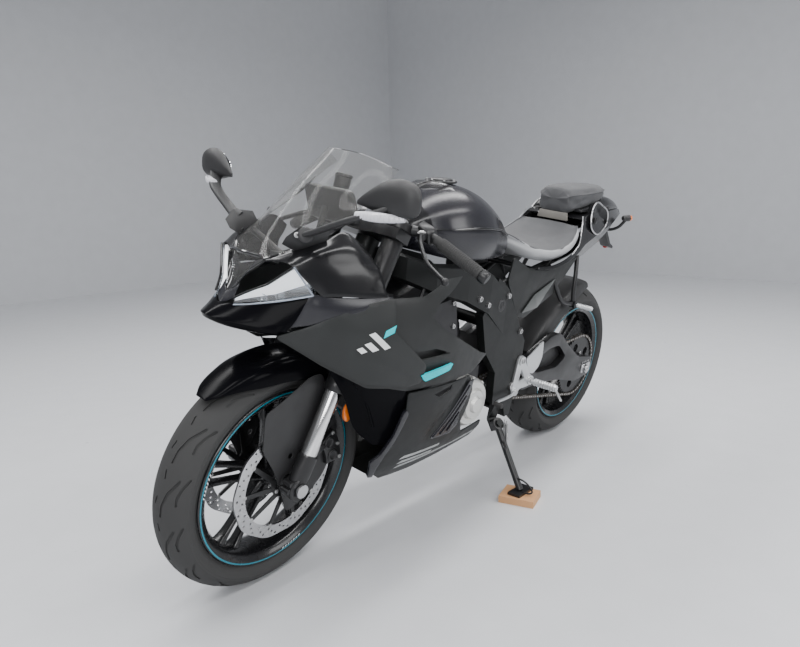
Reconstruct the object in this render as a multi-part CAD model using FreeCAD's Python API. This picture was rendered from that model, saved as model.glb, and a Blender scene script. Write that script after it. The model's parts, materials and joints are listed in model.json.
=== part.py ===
# Full-faired sport bike, parked on its side stand with the foot on a small board.
# Every piece is drawn on the upright bike: x forward from the rear axle, y to the bike's left,
# z up from the ground, in millimetres. The steered pieces are then turned about the steering
# axis, and the whole bike is leaned onto its stand, so that both tyres and the board touch z = 0.
import FreeCAD, Part
import math
import os

from FreeCAD import Vector

# Overall layout
WHEELBASE = 1400.0
RAKE_DEG = 24.5            # steering axis, back from the vertical
TRAIL = 101.0
LEAN_DEG = 9.3             # towards the stand, on the left
STEER_REST_DEG = 4.0       # to the left, as parked
ORIGIN_X = 682.2           # upright x that becomes the origin of the parked bike
ORIGIN_Y = 164.5           # sideways, after the lean

# Tyres and rims
FRONT_R = 300.0
FRONT_HALF = 60.0
FRONT_CROWN = 64.0
REAR_R = 315.0
REAR_HALF = 90.0
REAR_CROWN = 98.0
FRONT_WALL = 68.0          # height of the tyre above the rim's lip
REAR_WALL = 83.0
FRONT_LIP_R = FRONT_R - FRONT_WALL
REAR_LIP_R = REAR_R - REAR_WALL
RIM_SEAT = 14.0            # the tyre's seat, below the lip
RIM_WELL = 29.0            # the rim's well, below the lip
RIM_LIP = 6.0
FRONT_RIM_HALF = 44.0
REAR_RIM_HALF = 70.0
SEAT_GAP = 0.3             # between pieces that rest on each other
SPOKE_PAIRS = 5
AXLE_R = 12.5
AXLE_GAP = 0.05            # a wheel's running fit on its axle
HUB_R = 34.0

# Brakes, sprockets and chain
FRONT_DISC_R = 150.0
REAR_DISC_R = 110.0
DISC_T = 4.5
FRONT_DISC_Y = 62.0
REAR_DISC_Y = -108.0
CHAIN_Y = 104.0
REAR_HUB_HALF = 78.0
CHAIN_PITCH = 15.875
REAR_TEETH = 48
FRONT_TEETH = 16
CHAIN_HEIGHT = 14.0
CHAIN_HALF = 8.5
GEARBOX_X = 640.0
GEARBOX_Z = 372.0

# Fork
FORK_Y = 105.0
INNER_TUBE_R = 20.5
OUTER_TUBE_R = 27.0
FORK_FOOT = 78.0           # along the fork from the axle
FORK_JOIN = 248.0
LOWER_CLAMP = 486.0
UPPER_CLAMP = 640.0
FORK_TOP = UPPER_CLAMP + 50.0
CLAMP_T = 26.0
STEM_R = 17.0
AXLE_END = 126.0           # half of the front axle's length
BAR_R = 11.0
GRIP_R = 16.5

# Swingarm, frame and stand
PIVOT_X = 540.0
PIVOT_Z = 370.0
PIVOT_R = 11.0
ARM_INNER = 119.0
ARM_OUTER = 143.0
FRAME_INNER = 122.0        # inner and outer face of the frame's pivot plates
FRAME_OUTER = 150.0
SHOCK_TOP = Vector(514, 0, 540)
SHOCK_LOW = Vector(444, 0, 412)
SHOCK_EYE_R = 13.0
SHOCK_PIN_R = 6.0
SHOCK_HALF = 15.0          # half of the gap between the ears that hold an eye
STAND_PIVOT = Vector(592, 150, 246)
STAND_FOLDED = Vector(-0.97, 0.17, 0.15)    # the leg's direction when folded
STAND_PIN_R = 7.7
STAND_BORE_R = 8.0
TANK_LOW = 816.0
DECK_TOP = 917.0           # of the tail, which the rear seat rests on
STAND_FOOT = (620.0, 296.0)        # x and sideways place on the floor, after the lean
STAND_LEG_R = 11.0
BOARD = (92.0, 112.0, 22.0)        # length, width, thickness
PANEL_T = 3.5
SHUT_LINE = 0.5            # between neighbouring body panels

# An eight-cornered section with bevelled corners
CORNERS = ((-1, -0.5), (-0.5, -1), (0.5, -1), (1, -0.5), (1, 0.5), (0.5, 1), (-0.5, 1), (-1, 0.5))

# Outer surface of the left side: half-width of the bike at each station and height
SIDE_HEIGHTS = (230, 300, 380, 470, 560, 640, 700, 750, 800, 850)
SIDE_ROWS = (
    # station, then one half-width for each height
    (1510, (50, 54, 58, 66, 76, 84, 90, 86, 76, 60)),
    (1400, (80, 92, 108, 132, 156, 174, 184, 176, 160, 140)),
    (1300, (104, 128, 158, 188, 208, 220, 222, 210, 194, 176)),
    (1200, (122, 164, 198, 222, 236, 244, 244, 232, 212, 190)),
    (1100, (132, 178, 212, 234, 246, 252, 248, 234, 210, 184)),
    (1000, (136, 180, 212, 234, 245, 248, 240, 222, 192, 164)),
    (900, (134, 176, 206, 226, 234, 232, 220, 196, 166, 142)),
    (800, (128, 168, 196, 214, 216, 206, 192, 168, 145, 130)),
    (680, (118, 150, 176, 190, 188, 174, 160, 142, 125, 115)),
)


def xyz(x, y, z):
    return Vector(float(x), float(y), float(z))


def mirrored(shape):
    """The same shape on the bike's right."""
    return shape.mirror(Vector(0, 0, 0), Vector(0, 1, 0))


def both(shape):
    return [shape, mirrored(shape)]


def outline_prism(points, y_low, y_high):
    """A side-view outline of (x, z) points, extruded across the bike."""
    wire = Part.makePolygon([xyz(x, y_low, z) for x, z in points + points[:1]])
    return Part.Face(wire).extrude(xyz(0, y_high - y_low, 0))


def rod(start, end, radius):
    along = end - start
    return Part.makeCylinder(radius, along.Length, start, along)


def bent_rod(points, radius):
    """Straight round runs with a ball at each bend."""
    shape = rod(points[0], points[1], radius)
    for start, end in zip(points[1:], points[2:]):
        shape = shape.fuse([Part.makeSphere(radius, start), rod(start, end, radius)])
    return shape.removeSplitter()


def cross_rod(x, z, y_low, y_high, radius):
    return rod(xyz(x, y_low, z), xyz(x, y_high, z), radius)


def cross_ring(x, z, y_low, y_high, outer, inner):
    return cross_rod(x, z, y_low, y_high, outer).cut(cross_rod(x, z, y_low - 1, y_high + 1, inner))


def solid_of(faces):
    """A closed solid from faces that meet edge to edge."""
    shell = Part.makeShell(faces)
    shell.sewShape()
    solid = Part.makeSolid(Part.Shell(shell.Faces))
    if solid.Volume < 0:
        solid.reverse()
    return solid


def patch(a, b, c, d):
    """A four-cornered face, flat where its corners allow, else ruled."""
    corners = []
    for corner in (a, b, c, d):
        if not any((corner - seen).Length < 1e-6 for seen in corners):
            corners.append(corner)
    if len(corners) < 3:
        return []
    flat = Part.makePolygon(corners + corners[:1])
    if len(corners) == 3:
        return [Part.Face(flat)]
    normal = (corners[1] - corners[0]).cross(corners[2] - corners[0])
    if abs(normal.dot(corners[3] - corners[0])) < 1e-7 * max(normal.Length, 1.0):
        return [Part.Face(flat)]
    return [Part.makeRuledSurface(Part.makeLine(a, b), Part.makeLine(d, c))]


def grid_solid(outer, inner):
    """A closed shell between two grids of points with as many rows and columns."""
    rows, columns = len(outer), len(outer[0])
    faces = []
    for grid in (outer, inner):
        for i in range(rows - 1):
            for j in range(columns - 1):
                faces += patch(grid[i][j], grid[i][j + 1], grid[i + 1][j + 1], grid[i + 1][j])
    for i in range(rows - 1):
        for j in (0, columns - 1):
            faces += patch(outer[i][j], outer[i + 1][j], inner[i + 1][j], inner[i][j])
    for j in range(columns - 1):
        for i in (0, rows - 1):
            faces += patch(outer[i][j], outer[i][j + 1], inner[i][j + 1], inner[i][j])
    return solid_of(faces)


def offset_grid(grid, depth, inside):
    """The grid moved along its own normals by depth, towards the point inside."""
    rows, columns = len(grid), len(grid[0])
    moved = []
    for i in range(rows):
        line = []
        for j in range(columns):
            down = grid[min(i + 1, rows - 1)][j] - grid[max(i - 1, 0)][j]
            across = grid[i][min(j + 1, columns - 1)] - grid[i][max(j - 1, 0)]
            normal = down.cross(across).normalize()
            if normal.dot(inside - grid[i][j]) < 0:
                normal = normal * -1
            line.append(grid[i][j] + normal * depth)
        moved.append(line)
    return moved


def panel(grid, inside, thickness=PANEL_T):
    return grid_solid(grid, offset_grid(grid, thickness, inside))


def cupped(grid, centre, thickness):
    """A thin shell whose inner face is drawn towards one centre."""
    inner = [[p + (centre - p).normalize() * thickness for p in row] for row in grid]
    return grid_solid(grid, inner)


def block_loft(sections):
    """A solid through closed four- or more-cornered sections, with straight sides."""
    faces = []
    for near, far in zip(sections, sections[1:]):
        count = len(near)
        for k in range(count):
            n = (k + 1) % count
            faces += patch(near[k], near[n], far[n], far[k])
    for end in (sections[0], sections[-1]):
        middle = end[0]
        for k in range(1, len(end) - 1):
            faces += patch(middle, end[k], end[k + 1], middle)
    return solid_of(faces)


# Steering geometry
RAKE = math.radians(RAKE_DEG)
LEAN = math.radians(LEAN_DEG)
STEER_UP = Vector(-math.sin(RAKE), 0, math.cos(RAKE))
STEER_FORWARD = Vector(math.cos(RAKE), 0, math.sin(RAKE))
STEER_GROUND = Vector(WHEELBASE + TRAIL, 0, 0)
FRONT_AXLE = Vector(WHEELBASE, 0, FRONT_R)
REAR_AXLE = Vector(0, 0, REAR_R)
FORK_OFFSET = (FRONT_AXLE - STEER_GROUND).dot(STEER_FORWARD)


def fork_point(along, y, ahead=0.0):
    """A point on a fork leg's line, above the axle."""
    return FRONT_AXLE + STEER_UP * along + STEER_FORWARD * ahead + Vector(0, y, 0)


def steered():
    return FreeCAD.Placement(
        Vector(0, 0, 0), FreeCAD.Rotation(STEER_UP, STEER_REST_DEG), STEER_GROUND
    )


def wheel_low(axle, across, radius, crown):
    """Height of a leaning tyre's lowest point."""
    level = math.sqrt(max(0.0, 1.0 - across.z ** 2))
    return axle.z - (radius - crown) * level - crown


def parked():
    """Leans the upright bike so that both tyres touch the floor, and moves it to its origin."""
    lean = FreeCAD.Placement(Vector(0, 0, 0), FreeCAD.Rotation(Vector(1, 0, 0), -LEAN_DEG))
    turn = lean.multiply(steered())
    front = wheel_low(
        turn.multVec(FRONT_AXLE), turn.Rotation.multVec(Vector(0, 1, 0)), FRONT_R, FRONT_CROWN
    )
    rear = wheel_low(
        lean.multVec(REAR_AXLE), lean.Rotation.multVec(Vector(0, 1, 0)), REAR_R, REAR_CROWN
    )
    pitch = math.degrees(math.atan2(front - rear, WHEELBASE))
    level = FreeCAD.Placement(
        Vector(-ORIGIN_X, -ORIGIN_Y, -rear), FreeCAD.Rotation(Vector(0, 1, 0), pitch)
    )
    return level.multiply(lean)


# Wheels

def tyre(axle, radius, half, crown, rim_half, lip_r, wall):
    """A crowned tread in flat bands, sidewalls and two beads, hollow inside."""
    edge = math.asin((half - 2.0) / crown)

    def tread(angle, depth):
        """Sideways place and radius of a point below the tread."""
        return (crown - depth) * math.sin(angle), radius - crown + (crown - depth) * math.cos(angle)

    seat = lip_r - RIM_SEAT + SEAT_GAP
    bead = rim_half - SEAT_GAP
    right = [(bead, lip_r + 4), (bead, seat), (bead - wall, seat)]
    left = [(-y, r) for y, r in reversed(right)]
    outer = [tread(angle, 0.0) for angle in (-edge, -edge * 0.57, -LEAN, LEAN, edge * 0.57, edge)]
    inner = [tread(angle, wall + 2) for angle in (edge * 0.8, 0.0, -edge * 0.8)]
    profile = [Vector(axle.x, y, axle.z + r) for y, r in outer + right + inner + left]
    return Part.Face(Part.makePolygon(profile + profile[:1])).revolve(axle, Vector(0, 1, 0), 360)


def spoke(axle, angle_deg, side, well_r):
    """One arm of a pair, from the hub to the rim's well."""
    angle = math.radians(angle_deg)
    out = Vector(math.cos(angle), 0, math.sin(angle))
    along = Vector(-math.sin(angle), 0, math.cos(angle))
    sections = []
    for reach, aside, width, depth in (
        (HUB_R - 8, 12.0, 9.0, 17.0), (90.0, 17.0, 6.0, 13.0), (well_r - 1, 27.0, 8.0, 15.0),
    ):
        centre = axle + out * reach + along * (side * aside)
        sections.append([
            centre + along * (width * a) + Vector(0, depth * b, 0)
            for a, b in CORNERS
        ])
    return block_loft(sections)


def wheel(axle, lip_r, rim_half, hub_half, first_angle):
    """A cast rim with pairs of thin arms, and a bored hub."""
    seat_r = lip_r - RIM_SEAT
    well_r = lip_r - RIM_WELL
    outside = [
        (rim_half + RIM_LIP, lip_r), (rim_half, lip_r), (rim_half, seat_r),
        (rim_half * 0.62, seat_r - 2), (rim_half * 0.45, well_r + 4),
    ]
    inside = [
        (rim_half + RIM_LIP, lip_r - 8), (rim_half - 2, seat_r - 8), (rim_half * 0.5, well_r - 3),
    ]
    left = outside + [(-y, r) for y, r in reversed(outside)]
    right = [(-y, r) for y, r in inside] + list(reversed(inside))
    profile = [Vector(axle.x, y, axle.z + r) for y, r in left + right]
    shape = Part.Face(Part.makePolygon(profile + profile[:1])).revolve(axle, Vector(0, 1, 0), 360)
    hub = cross_rod(axle.x, axle.z, -hub_half, hub_half, HUB_R)
    arms = []
    for pair in range(SPOKE_PAIRS):
        angle = first_angle + 360.0 * pair / SPOKE_PAIRS
        arms += [spoke(axle, angle, side, well_r) for side in (1, -1)]
    shape = shape.fuse([hub] + arms)
    return shape.cut(cross_rod(axle.x, axle.z, -hub_half - 1, hub_half + 1, AXLE_R + AXLE_GAP))


def disc(axle, radius, y, bolt_r, width):
    """A brake disc on its five-armed carrier."""
    rotor = cross_ring(axle.x, axle.z, y, y + DISC_T, radius, radius - width)
    ring = cross_ring(axle.x, axle.z, y, y + DISC_T, bolt_r + 9, bolt_r - 9)
    arms = []
    for k in range(5):
        arm = Part.makeBox(
            radius - width + 6 - bolt_r, 12, DISC_T, Vector(bolt_r, -6, 0), Vector(0, 0, 1)
        )
        arm.rotate(Vector(0, 0, 0), Vector(1, 0, 0), 90)
        arm.rotate(Vector(0, 0, 0), Vector(0, 1, 0), 72.0 * k + 20)
        arm.translate(Vector(axle.x, y + DISC_T, axle.z))
        arms.append(arm)
    return rotor.fuse([ring] + arms).removeSplitter()


def front_wheel_parts():
    return {
        "front_tyre": [
            tyre(FRONT_AXLE, FRONT_R, FRONT_HALF, FRONT_CROWN, FRONT_RIM_HALF, FRONT_LIP_R, 8)
        ],
        "front_rim": [wheel(FRONT_AXLE, FRONT_LIP_R, FRONT_RIM_HALF, FRONT_DISC_Y, 90)],
        "front_discs": both(disc(FRONT_AXLE, FRONT_DISC_R, FRONT_DISC_Y, 32, 32)),
    }


def rear_sprocket():
    pitch_r = sprocket_r(REAR_TEETH)
    points = []
    for k in range(REAR_TEETH):
        for part, r in ((-0.30, pitch_r - 6), (-0.12, pitch_r + 3), (0.12, pitch_r + 3), (0.30, pitch_r - 6)):
            a = 2 * math.pi * (k + part) / REAR_TEETH
            points.append((r * math.cos(a), REAR_R + r * math.sin(a)))
    shape = outline_prism(points, CHAIN_Y - 3, CHAIN_Y + 3)
    shape = shape.cut(cross_rod(0, REAR_R, CHAIN_Y - 10, CHAIN_Y + 10, 42))
    holes = [
        cross_rod(78 * math.cos(a), REAR_R + 78 * math.sin(a), CHAIN_Y - 10, CHAIN_Y + 10, 17)
        for a in [math.radians(72 * k) for k in range(5)]
    ]
    return shape.cut(holes)


def rear_wheel_parts():
    carrier = cross_ring(0, REAR_R, REAR_HUB_HALF + SEAT_GAP, CHAIN_Y - 3, 56, 30)
    hub_disc = cross_ring(0, REAR_R, REAR_DISC_Y, -REAR_HUB_HALF - SEAT_GAP, 36, 24)
    return {
        "rear_tyre": [tyre(REAR_AXLE, REAR_R, REAR_HALF, REAR_CROWN, REAR_RIM_HALF, REAR_LIP_R, 9)],
        "rear_rim": [wheel(REAR_AXLE, REAR_LIP_R, REAR_RIM_HALF, REAR_HUB_HALF, 60)],
        "rear_sprocket": [rear_sprocket().fuse(carrier).removeSplitter()],
        "rear_disc": [disc(REAR_AXLE, REAR_DISC_R, REAR_DISC_Y, 36, 34).fuse(hub_disc)],
    }



# Steering

def fork_parts():
    """Upside-down legs: a bright inner tube below, a wide outer tube above."""
    leg = rod(fork_point(FORK_FOOT - 30, FORK_Y), fork_point(FORK_JOIN + 20, FORK_Y), INNER_TUBE_R)
    leg = leg.fuse(rod(fork_point(FORK_JOIN, FORK_Y), fork_point(FORK_TOP, FORK_Y), OUTER_TUBE_R))
    foot = block_loft([
        [fork_point(along, FORK_Y + a * half, ahead + b * depth) for a, b in CORNERS]
        for along, half, depth, ahead in (
            (-34, 16, 22, 0), (-14, 20, 30, 0), (20, 20, 30, 0), (60, 22, 26, 0), (FORK_FOOT, 22, 23, 0)
        )
    ])
    ear = block_loft([
        [fork_point(along, FORK_Y + a * 9 - 8, ahead + b * 15) for a, b in CORNERS]
        for along, ahead in ((58, -20), (96, -52))
    ])
    leg = leg.fuse([foot, ear]).cut(
        cross_rod(WHEELBASE, FRONT_R, 60, 140, AXLE_R + AXLE_GAP)
    )
    axle = cross_rod(WHEELBASE, FRONT_R, -AXLE_END, AXLE_END, AXLE_R)
    collars = both(cross_ring(
        WHEELBASE, FRONT_R, FRONT_DISC_Y + 0.4, FORK_Y - 22.3, 16, AXLE_R - 2
    ))
    head = both(cross_rod(WHEELBASE, FRONT_R, AXLE_END, AXLE_END + 6, 17))
    return {
        "fork_legs": both(leg),
        "front_axle": [axle.fuse(collars + head)],
    }


def fork_clamps():
    """Lower and upper clamps round both legs, on the stem."""
    pieces = []
    for along, reach in ((LOWER_CLAMP, 44.0), (UPPER_CLAMP, 38.0)):
        plan = [
            (-reach * 0.55, FORK_Y + 30), (reach, FORK_Y + 34), (reach, 60), (reach * 0.5, 0),
            (reach, -60), (reach, -FORK_Y - 34), (-reach * 0.55, -FORK_Y - 30),
            (-FORK_OFFSET - 34, -40), (-FORK_OFFSET - 34, 40),
        ]
        wire = Part.makePolygon([fork_point(along, y, ahead) for ahead, y in plan + plan[:1]])
        plate = Part.Face(wire).extrude(STEER_UP * CLAMP_T)
        pieces.append(plate.cut(both(
            rod(fork_point(along - 5, FORK_Y), fork_point(along + CLAMP_T + 5, FORK_Y), OUTER_TUBE_R)
        )))
    stem = rod(
        fork_point(LOWER_CLAMP + 2, 0, -FORK_OFFSET),
        fork_point(UPPER_CLAMP + CLAMP_T + 12, 0, -FORK_OFFSET), STEM_R,
    )
    return [pieces[0].fuse([stem, pieces[1]])]


def steered_arch(rows, inner_r, thickness):
    """A guard over the front wheel: (angle, half-width, drop) rows round the axle."""
    outer, inner = [], []
    for angle_deg, half, drop in rows:
        a = math.radians(angle_deg)
        for line, extra in ((outer, thickness), (inner, 0.0)):
            ring = []
            for y, fall in ((-half, drop), (-half * 0.86, drop * 0.35), (-half * 0.4, 0.0),
                            (half * 0.4, 0.0), (half * 0.86, drop * 0.35), (half, drop)):
                r = inner_r + extra - fall
                side = extra if abs(y) > half * 0.9 else 0.0
                ring.append(FRONT_AXLE + Vector(r * math.cos(a), y + math.copysign(side, y), r * math.sin(a)))
            line.append(ring)
    return grid_solid(outer, inner)


FENDER_ROWS = (
    # degrees round the axle, half-width, drop of the side edge
    (52, 26, 6), (62, 52, 22), (74, 66, 44), (90, 70, 58), (106, 71, 62), (122, 71, 60),
    (138, 70, 50), (150, 68, 36),
)
SHROUD = (
    # side view outline, from the front axle
    (-88, 266), (-48, 266), (44, 220), (79, 205), (81, 111), (45, 46), (20, -19), (-1, -85),
    (-70, -62), (-117, -24), (-148, 32), (-160, 100),
)


def front_guards(leg):
    fender = steered_arch(FENDER_ROWS, FRONT_R + 18, PANEL_T)
    tube_inner = FORK_Y - OUTER_TUBE_R - SEAT_GAP
    boss = FRONT_R - 26.0      # up the leg from the axle
    bosses = both(rod(fork_point(boss, 68), fork_point(boss, tube_inner), 8))
    plate = outline_prism([(WHEELBASE + x, FRONT_R + z) for x, z in SHROUD], FORK_Y - 12, FORK_Y - 8)
    return fender.fuse(bosses), plate.cut([leg, cross_rod(WHEELBASE, FRONT_R, 60, 160, 24)])


def caliper(axle, radius, angle_deg, disc_y, half_width, length):
    """A block astride a disc, curved to its rim."""
    arc = math.degrees(length / radius)
    outer = cross_rod(axle.x, axle.z, disc_y - half_width, disc_y + half_width, radius + 20)
    outer = outer.cut(cross_rod(axle.x, axle.z, disc_y - half_width, disc_y + half_width, radius - 34))
    wedge = outline_prism(
        [(axle.x, axle.z)] + [
            (axle.x + 2 * radius * math.cos(math.radians(angle_deg + d)),
             axle.z + 2 * radius * math.sin(math.radians(angle_deg + d)))
            for d in (-arc / 2, 0, arc / 2)
        ], disc_y - half_width, disc_y + half_width,
    )
    body = outer.common(wedge)
    slot = cross_rod(axle.x, axle.z, disc_y - DISC_T / 2 - 3, disc_y + DISC_T / 2 + 3, radius + 6)
    return body.cut(slot)


GRIP_IN = Vector(1082, 190, 900)
GRIP_OUT = Vector(1062, 318, 842)
LEVER = (Vector(1118, 176, 908), Vector(1148, 200, 896), Vector(1196, 262, 866), Vector(1208, 320, 842))


def handlebars():
    ring_low = fork_point(UPPER_CLAMP + CLAMP_T + 1, FORK_Y)
    ring_top = fork_point(FORK_TOP - 2, FORK_Y)
    ring = rod(ring_low, ring_top, OUTER_TUBE_R + 9).cut(
        rod(ring_low - STEER_UP * 5, ring_top + STEER_UP * 5, OUTER_TUBE_R)
    )
    start = (ring_low + ring_top) * 0.5
    along = (GRIP_OUT - GRIP_IN).normalize()
    root = start + (GRIP_IN - start).normalize() * (OUTER_TUBE_R + 4)
    bar = bent_rod([root, GRIP_IN, GRIP_OUT + along * 2], BAR_R)
    end = rod(GRIP_OUT + along * 0.5, GRIP_OUT + along * 22, GRIP_R)
    housing = rod(GRIP_IN - along * 44, GRIP_IN - along * 4, 19)
    perch = bent_rod([GRIP_IN - along * 24, LEVER[0]], 9)
    lever = bent_rod(list(LEVER), 6.5).fuse(Part.makeSphere(9, LEVER[-1]))
    side = ring.fuse([bar, end, housing, perch, lever])
    cup = rod(Vector(1102, -118, 968), Vector(1092, -118, 1012), 22)
    cup_arm = bent_rod([Vector(1100, -139, 921), Vector(1100, -122, 972)], 6)
    right = mirrored(side).fuse([cup_arm, cup])
    grip = rod(GRIP_IN + along * 3, GRIP_OUT, GRIP_R).cut(
        rod(GRIP_IN - along * 5, GRIP_OUT + along * 5, BAR_R + 0.1)
    )
    return [side, right], both(grip)


def steering_parts():
    bars, grips = handlebars()
    parts = fork_parts()
    fender, shroud = front_guards(parts["fork_legs"][0])
    left_caliper = caliper(FRONT_AXLE, FRONT_DISC_R, 158, FRONT_DISC_Y + DISC_T / 2, 27, 92)
    parts.update({
        "fork_clamps": fork_clamps(),
        "fork_shrouds": both(shroud),
        "front_fender": [fender],
        "front_calipers": both(left_caliper),
        "handlebars": bars,
        "grips": grips,
    })
    return parts


def floor_point(x, y, z):
    """The place on the parked bike's floor, in the upright bike's frame."""
    return parked().inverse().multVec(Vector(x - ORIGIN_X, y - ORIGIN_Y, z))


STAND_REST = floor_point(STAND_FOOT[0], STAND_FOOT[1], BOARD[2] + 9)
STAND_AXIS = (STAND_REST - STAND_PIVOT).cross(STAND_FOLDED).normalize()


# Frame and engine

HEAD_LOW = fork_point(LOWER_CLAMP + CLAMP_T + 4, 0, -FORK_OFFSET)
HEAD_TOP = fork_point(UPPER_CLAMP - 4, 0, -FORK_OFFSET)
SPAR_ROWS = (
    # station, inner y, outer y, low z, high z
    (1108, 14, 34, 780, 850), (1060, 78, 100, 764, 838), (980, 118, 140, 730, 812),
    (850, 128, 152, 690, 800), (740, 128, 154, 640, 772), (640, 122, 150, 560, 700),
)
PIVOT_PLATE = (
    (700, 750), (640, 712), (560, 600), (500, 520), (498, 400), (520, 320), (526, 266), (554, 262),
    (568, 300), (580, 300),
    (640, 330), (650, 440), (720, 520), (760, 640),
)


def shock_ears(centre, root):
    """A pair of ears with a pin between them, for an eye of the shock."""
    across = (root - centre).normalize().cross(Vector(0, 1, 0)) * SHOCK_EYE_R
    outline = [centre + across, root + across * 1.4, root - across * 1.4, centre - across]
    ear = outline_prism([(p.x, p.z) for p in outline], SHOCK_HALF, SHOCK_HALF + 8)
    ear = ear.fuse(cross_rod(centre.x, centre.z, SHOCK_HALF, SHOCK_HALF + 8, SHOCK_EYE_R))
    pin = cross_rod(centre.x, centre.z, -SHOCK_HALF - 8, SHOCK_HALF + 8, SHOCK_PIN_R)
    return [ear, mirrored(ear), pin]


def stand_lug():
    """The lug below the left pivot plate, with the pin that the stand turns on."""
    up = (Vector(0, 0, 1) - STAND_AXIS * STAND_AXIS.z).normalize()
    across = up.cross(STAND_AXIS)
    sections = []
    for near, far, rise, half in ((-24, -12.5, -17, 13), (-24, -12.5, 26, 17)):
        middle = STAND_PIVOT + up * rise
        sections.append([
            middle + STAND_AXIS * near - across * half, middle + STAND_AXIS * near + across * half,
            middle + STAND_AXIS * far + across * half, middle + STAND_AXIS * far - across * half,
        ])
    x, z = STAND_PIVOT.x, 318.0
    y_low, y_high = FRAME_INNER + 2, FRAME_OUTER - 6
    top = [(x + 20, y_low), (x - 20, y_low), (x - 20, y_high), (x + 20, y_high)]
    sections.append([Vector(px, y, z) for px, y in top])
    pin = rod(STAND_PIVOT - STAND_AXIS * 24, STAND_PIVOT + STAND_AXIS * 13, STAND_PIN_R)
    nut = rod(STAND_PIVOT + STAND_AXIS * 11.4, STAND_PIVOT + STAND_AXIS * 18, 12)
    return [block_loft(sections), pin, nut]


def frame():
    head = rod(HEAD_LOW, HEAD_TOP, 31)
    pieces = []
    for side in (1, -1):
        spar = block_loft([
            [xyz(x, side * inner, low), xyz(x, side * outer, low + 8), xyz(x, side * outer, high - 8),
             xyz(x, side * inner, high)] for x, inner, outer, low, high in SPAR_ROWS
        ])
        plate = outline_prism(list(PIVOT_PLATE), FRAME_INNER, FRAME_OUTER)
        plate = plate.cut(cross_rod(672, 664, 100, 200, 22))
        plate = plate.cut(cross_rod(PIVOT_X, PIVOT_Z, 100, 200, PIVOT_R + AXLE_GAP))
        tank_pad = rod(xyz(850, 134, 790), xyz(850, 134, TANK_LOW - SEAT_GAP), 6)
        pieces += [spar] + [piece if side > 0 else mirrored(piece) for piece in (plate, tank_pad)]
    cross = cross_rod(560, 560, -130, 130, 20)
    low_cross = cross_rod(540, 274, -130, 130, 11)
    shape = head.fuse(pieces + [cross, low_cross] + shock_ears(SHOCK_TOP, Vector(560, 0, 560)) + stand_lug())
    return [shape.cut(rod(HEAD_LOW - STEER_UP * 5, HEAD_TOP + STEER_UP * 5, STEM_R + 0.3))]


def subframe():
    rails = []
    for side in (1, -1):
        def at(x, y, z):
            return Vector(x, side * y, z)
        top_y, low_y = (FRAME_INNER - SEAT_GAP - r for r in (11, 10))
        rails.append(bent_rod(
            [at(642, top_y, 712), at(420, 92, 738), at(180, 78, 770), at(-190, 40, 850)], 11
        ))
        rails.append(bent_rod([at(560, low_y, 612), at(300, 88, 764)], 10))
    ties = [cross_rod(x, z, -y, y, 9) for x, y, z in ((420, 92, 738), (180, 78, 770), (-150, 45, 841))]
    return [rails[0].fuse(rails[1:] + ties)]


def engine():
    crank = outline_prism(
        [(705, 298), (940, 298), (980, 330), (985, 400), (960, 450), (705, 470)], -124, 124
    )
    gearbox = outline_prism(
        [(578, 330), (610, 298), (710, 298), (710, 500), (600, 520), (578, 480)], -118, 84
    )
    cylinders = outline_prism([(790, 440), (962, 440), (985, 560), (835, 590)], -112, 112)
    head = outline_prism([(832, 584), (986, 556), (1002, 640), (965, 690), (860, 705)], -120, 120)
    fins = outline_prism([(730, 455), (800, 455), (845, 600), (845, 690), (760, 600)], -70, 70)
    return [crank.fuse([gearbox, cylinders, head, fins]).removeSplitter()]


def round_cover(x, z, y_low, depth, radius, side):
    """A round engine cover with a stepped, domed face."""
    steps = [
        (y_low, radius), (y_low + depth * 0.55, radius), (y_low + depth * 0.7, radius - 7),
        (y_low + depth * 0.7, radius * 0.62), (y_low + depth * 0.82, radius * 0.58),
        (y_low + depth * 0.82, radius * 0.3), (y_low + depth, radius * 0.26), (y_low + depth, 0), (y_low, 0),
    ]
    profile = [Vector(x, side * y, z + r) for y, r in steps]
    return Part.Face(Part.makePolygon(profile + profile[:1])).revolve(
        Vector(x, 0, z), Vector(0, 1, 0), 360
    )


def engine_covers():
    generator = round_cover(782, 378, 124.2, 66, 76, 1)
    clutch = round_cover(752, 388, 124.2, 62, 88, -1)
    return [generator, clutch]


def radiator():
    tilt = Vector(76, 0, 276).normalize()
    core = block_loft([
        [Vector(1072, y, 345) + tilt * along + Vector(depth, 0, 0) for y, depth in
         ((-150, 0), (-150, -24), (150, -24), (150, 0))]
        for along in (0, 270)
    ])
    tanks = [
        block_loft([
            [Vector(1072, side * y, 345) + tilt * along + Vector(depth, 0, 0) for y, depth in
             ((150, 3), (150, -28), (172, -24), (172, -2))]
            for along in (6, 264)
        ]) for side in (1, -1)
    ]
    brackets = both(rod(Vector(1122, 152, 590), Vector(1000, 116, 752), 5))
    return [core.fuse(tanks + brackets).cut(frame()[0])]


def exhaust():
    pipes = []
    for y in (-78, 0, 78):
        pipes.append(bent_rod([
            Vector(990, y, 606), Vector(1034, y, 580), Vector(1021, y * 0.9, 330), Vector(980, y * 0.8, 272),
            Vector(860, y * 0.55, 266),
        ], 18))
    box = outline_prism([(870, 248), (870, 286), (590, 286), (556, 276), (560, 250)], -95, 60)
    link = bent_rod([Vector(600, -60, 262), Vector(520, -90, 240), Vector(440, -196, 284)], 24)
    silencer = block_loft([
        [Vector(x, y + a * half, z + b * tall) for a, b in CORNERS]
        for x, y, z, half, tall in (
            (450, -196, 296, 34, 36), (420, -201, 308, 50, 58),
            (250, -210, 372, 50, 60), (205, -212, 388, 42, 50),
        )
    ])
    whole = pipes[0].fuse(pipes[1:] + [box, link, silencer])
    return [whole.cut(engine() + frame())]


# Body

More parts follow.
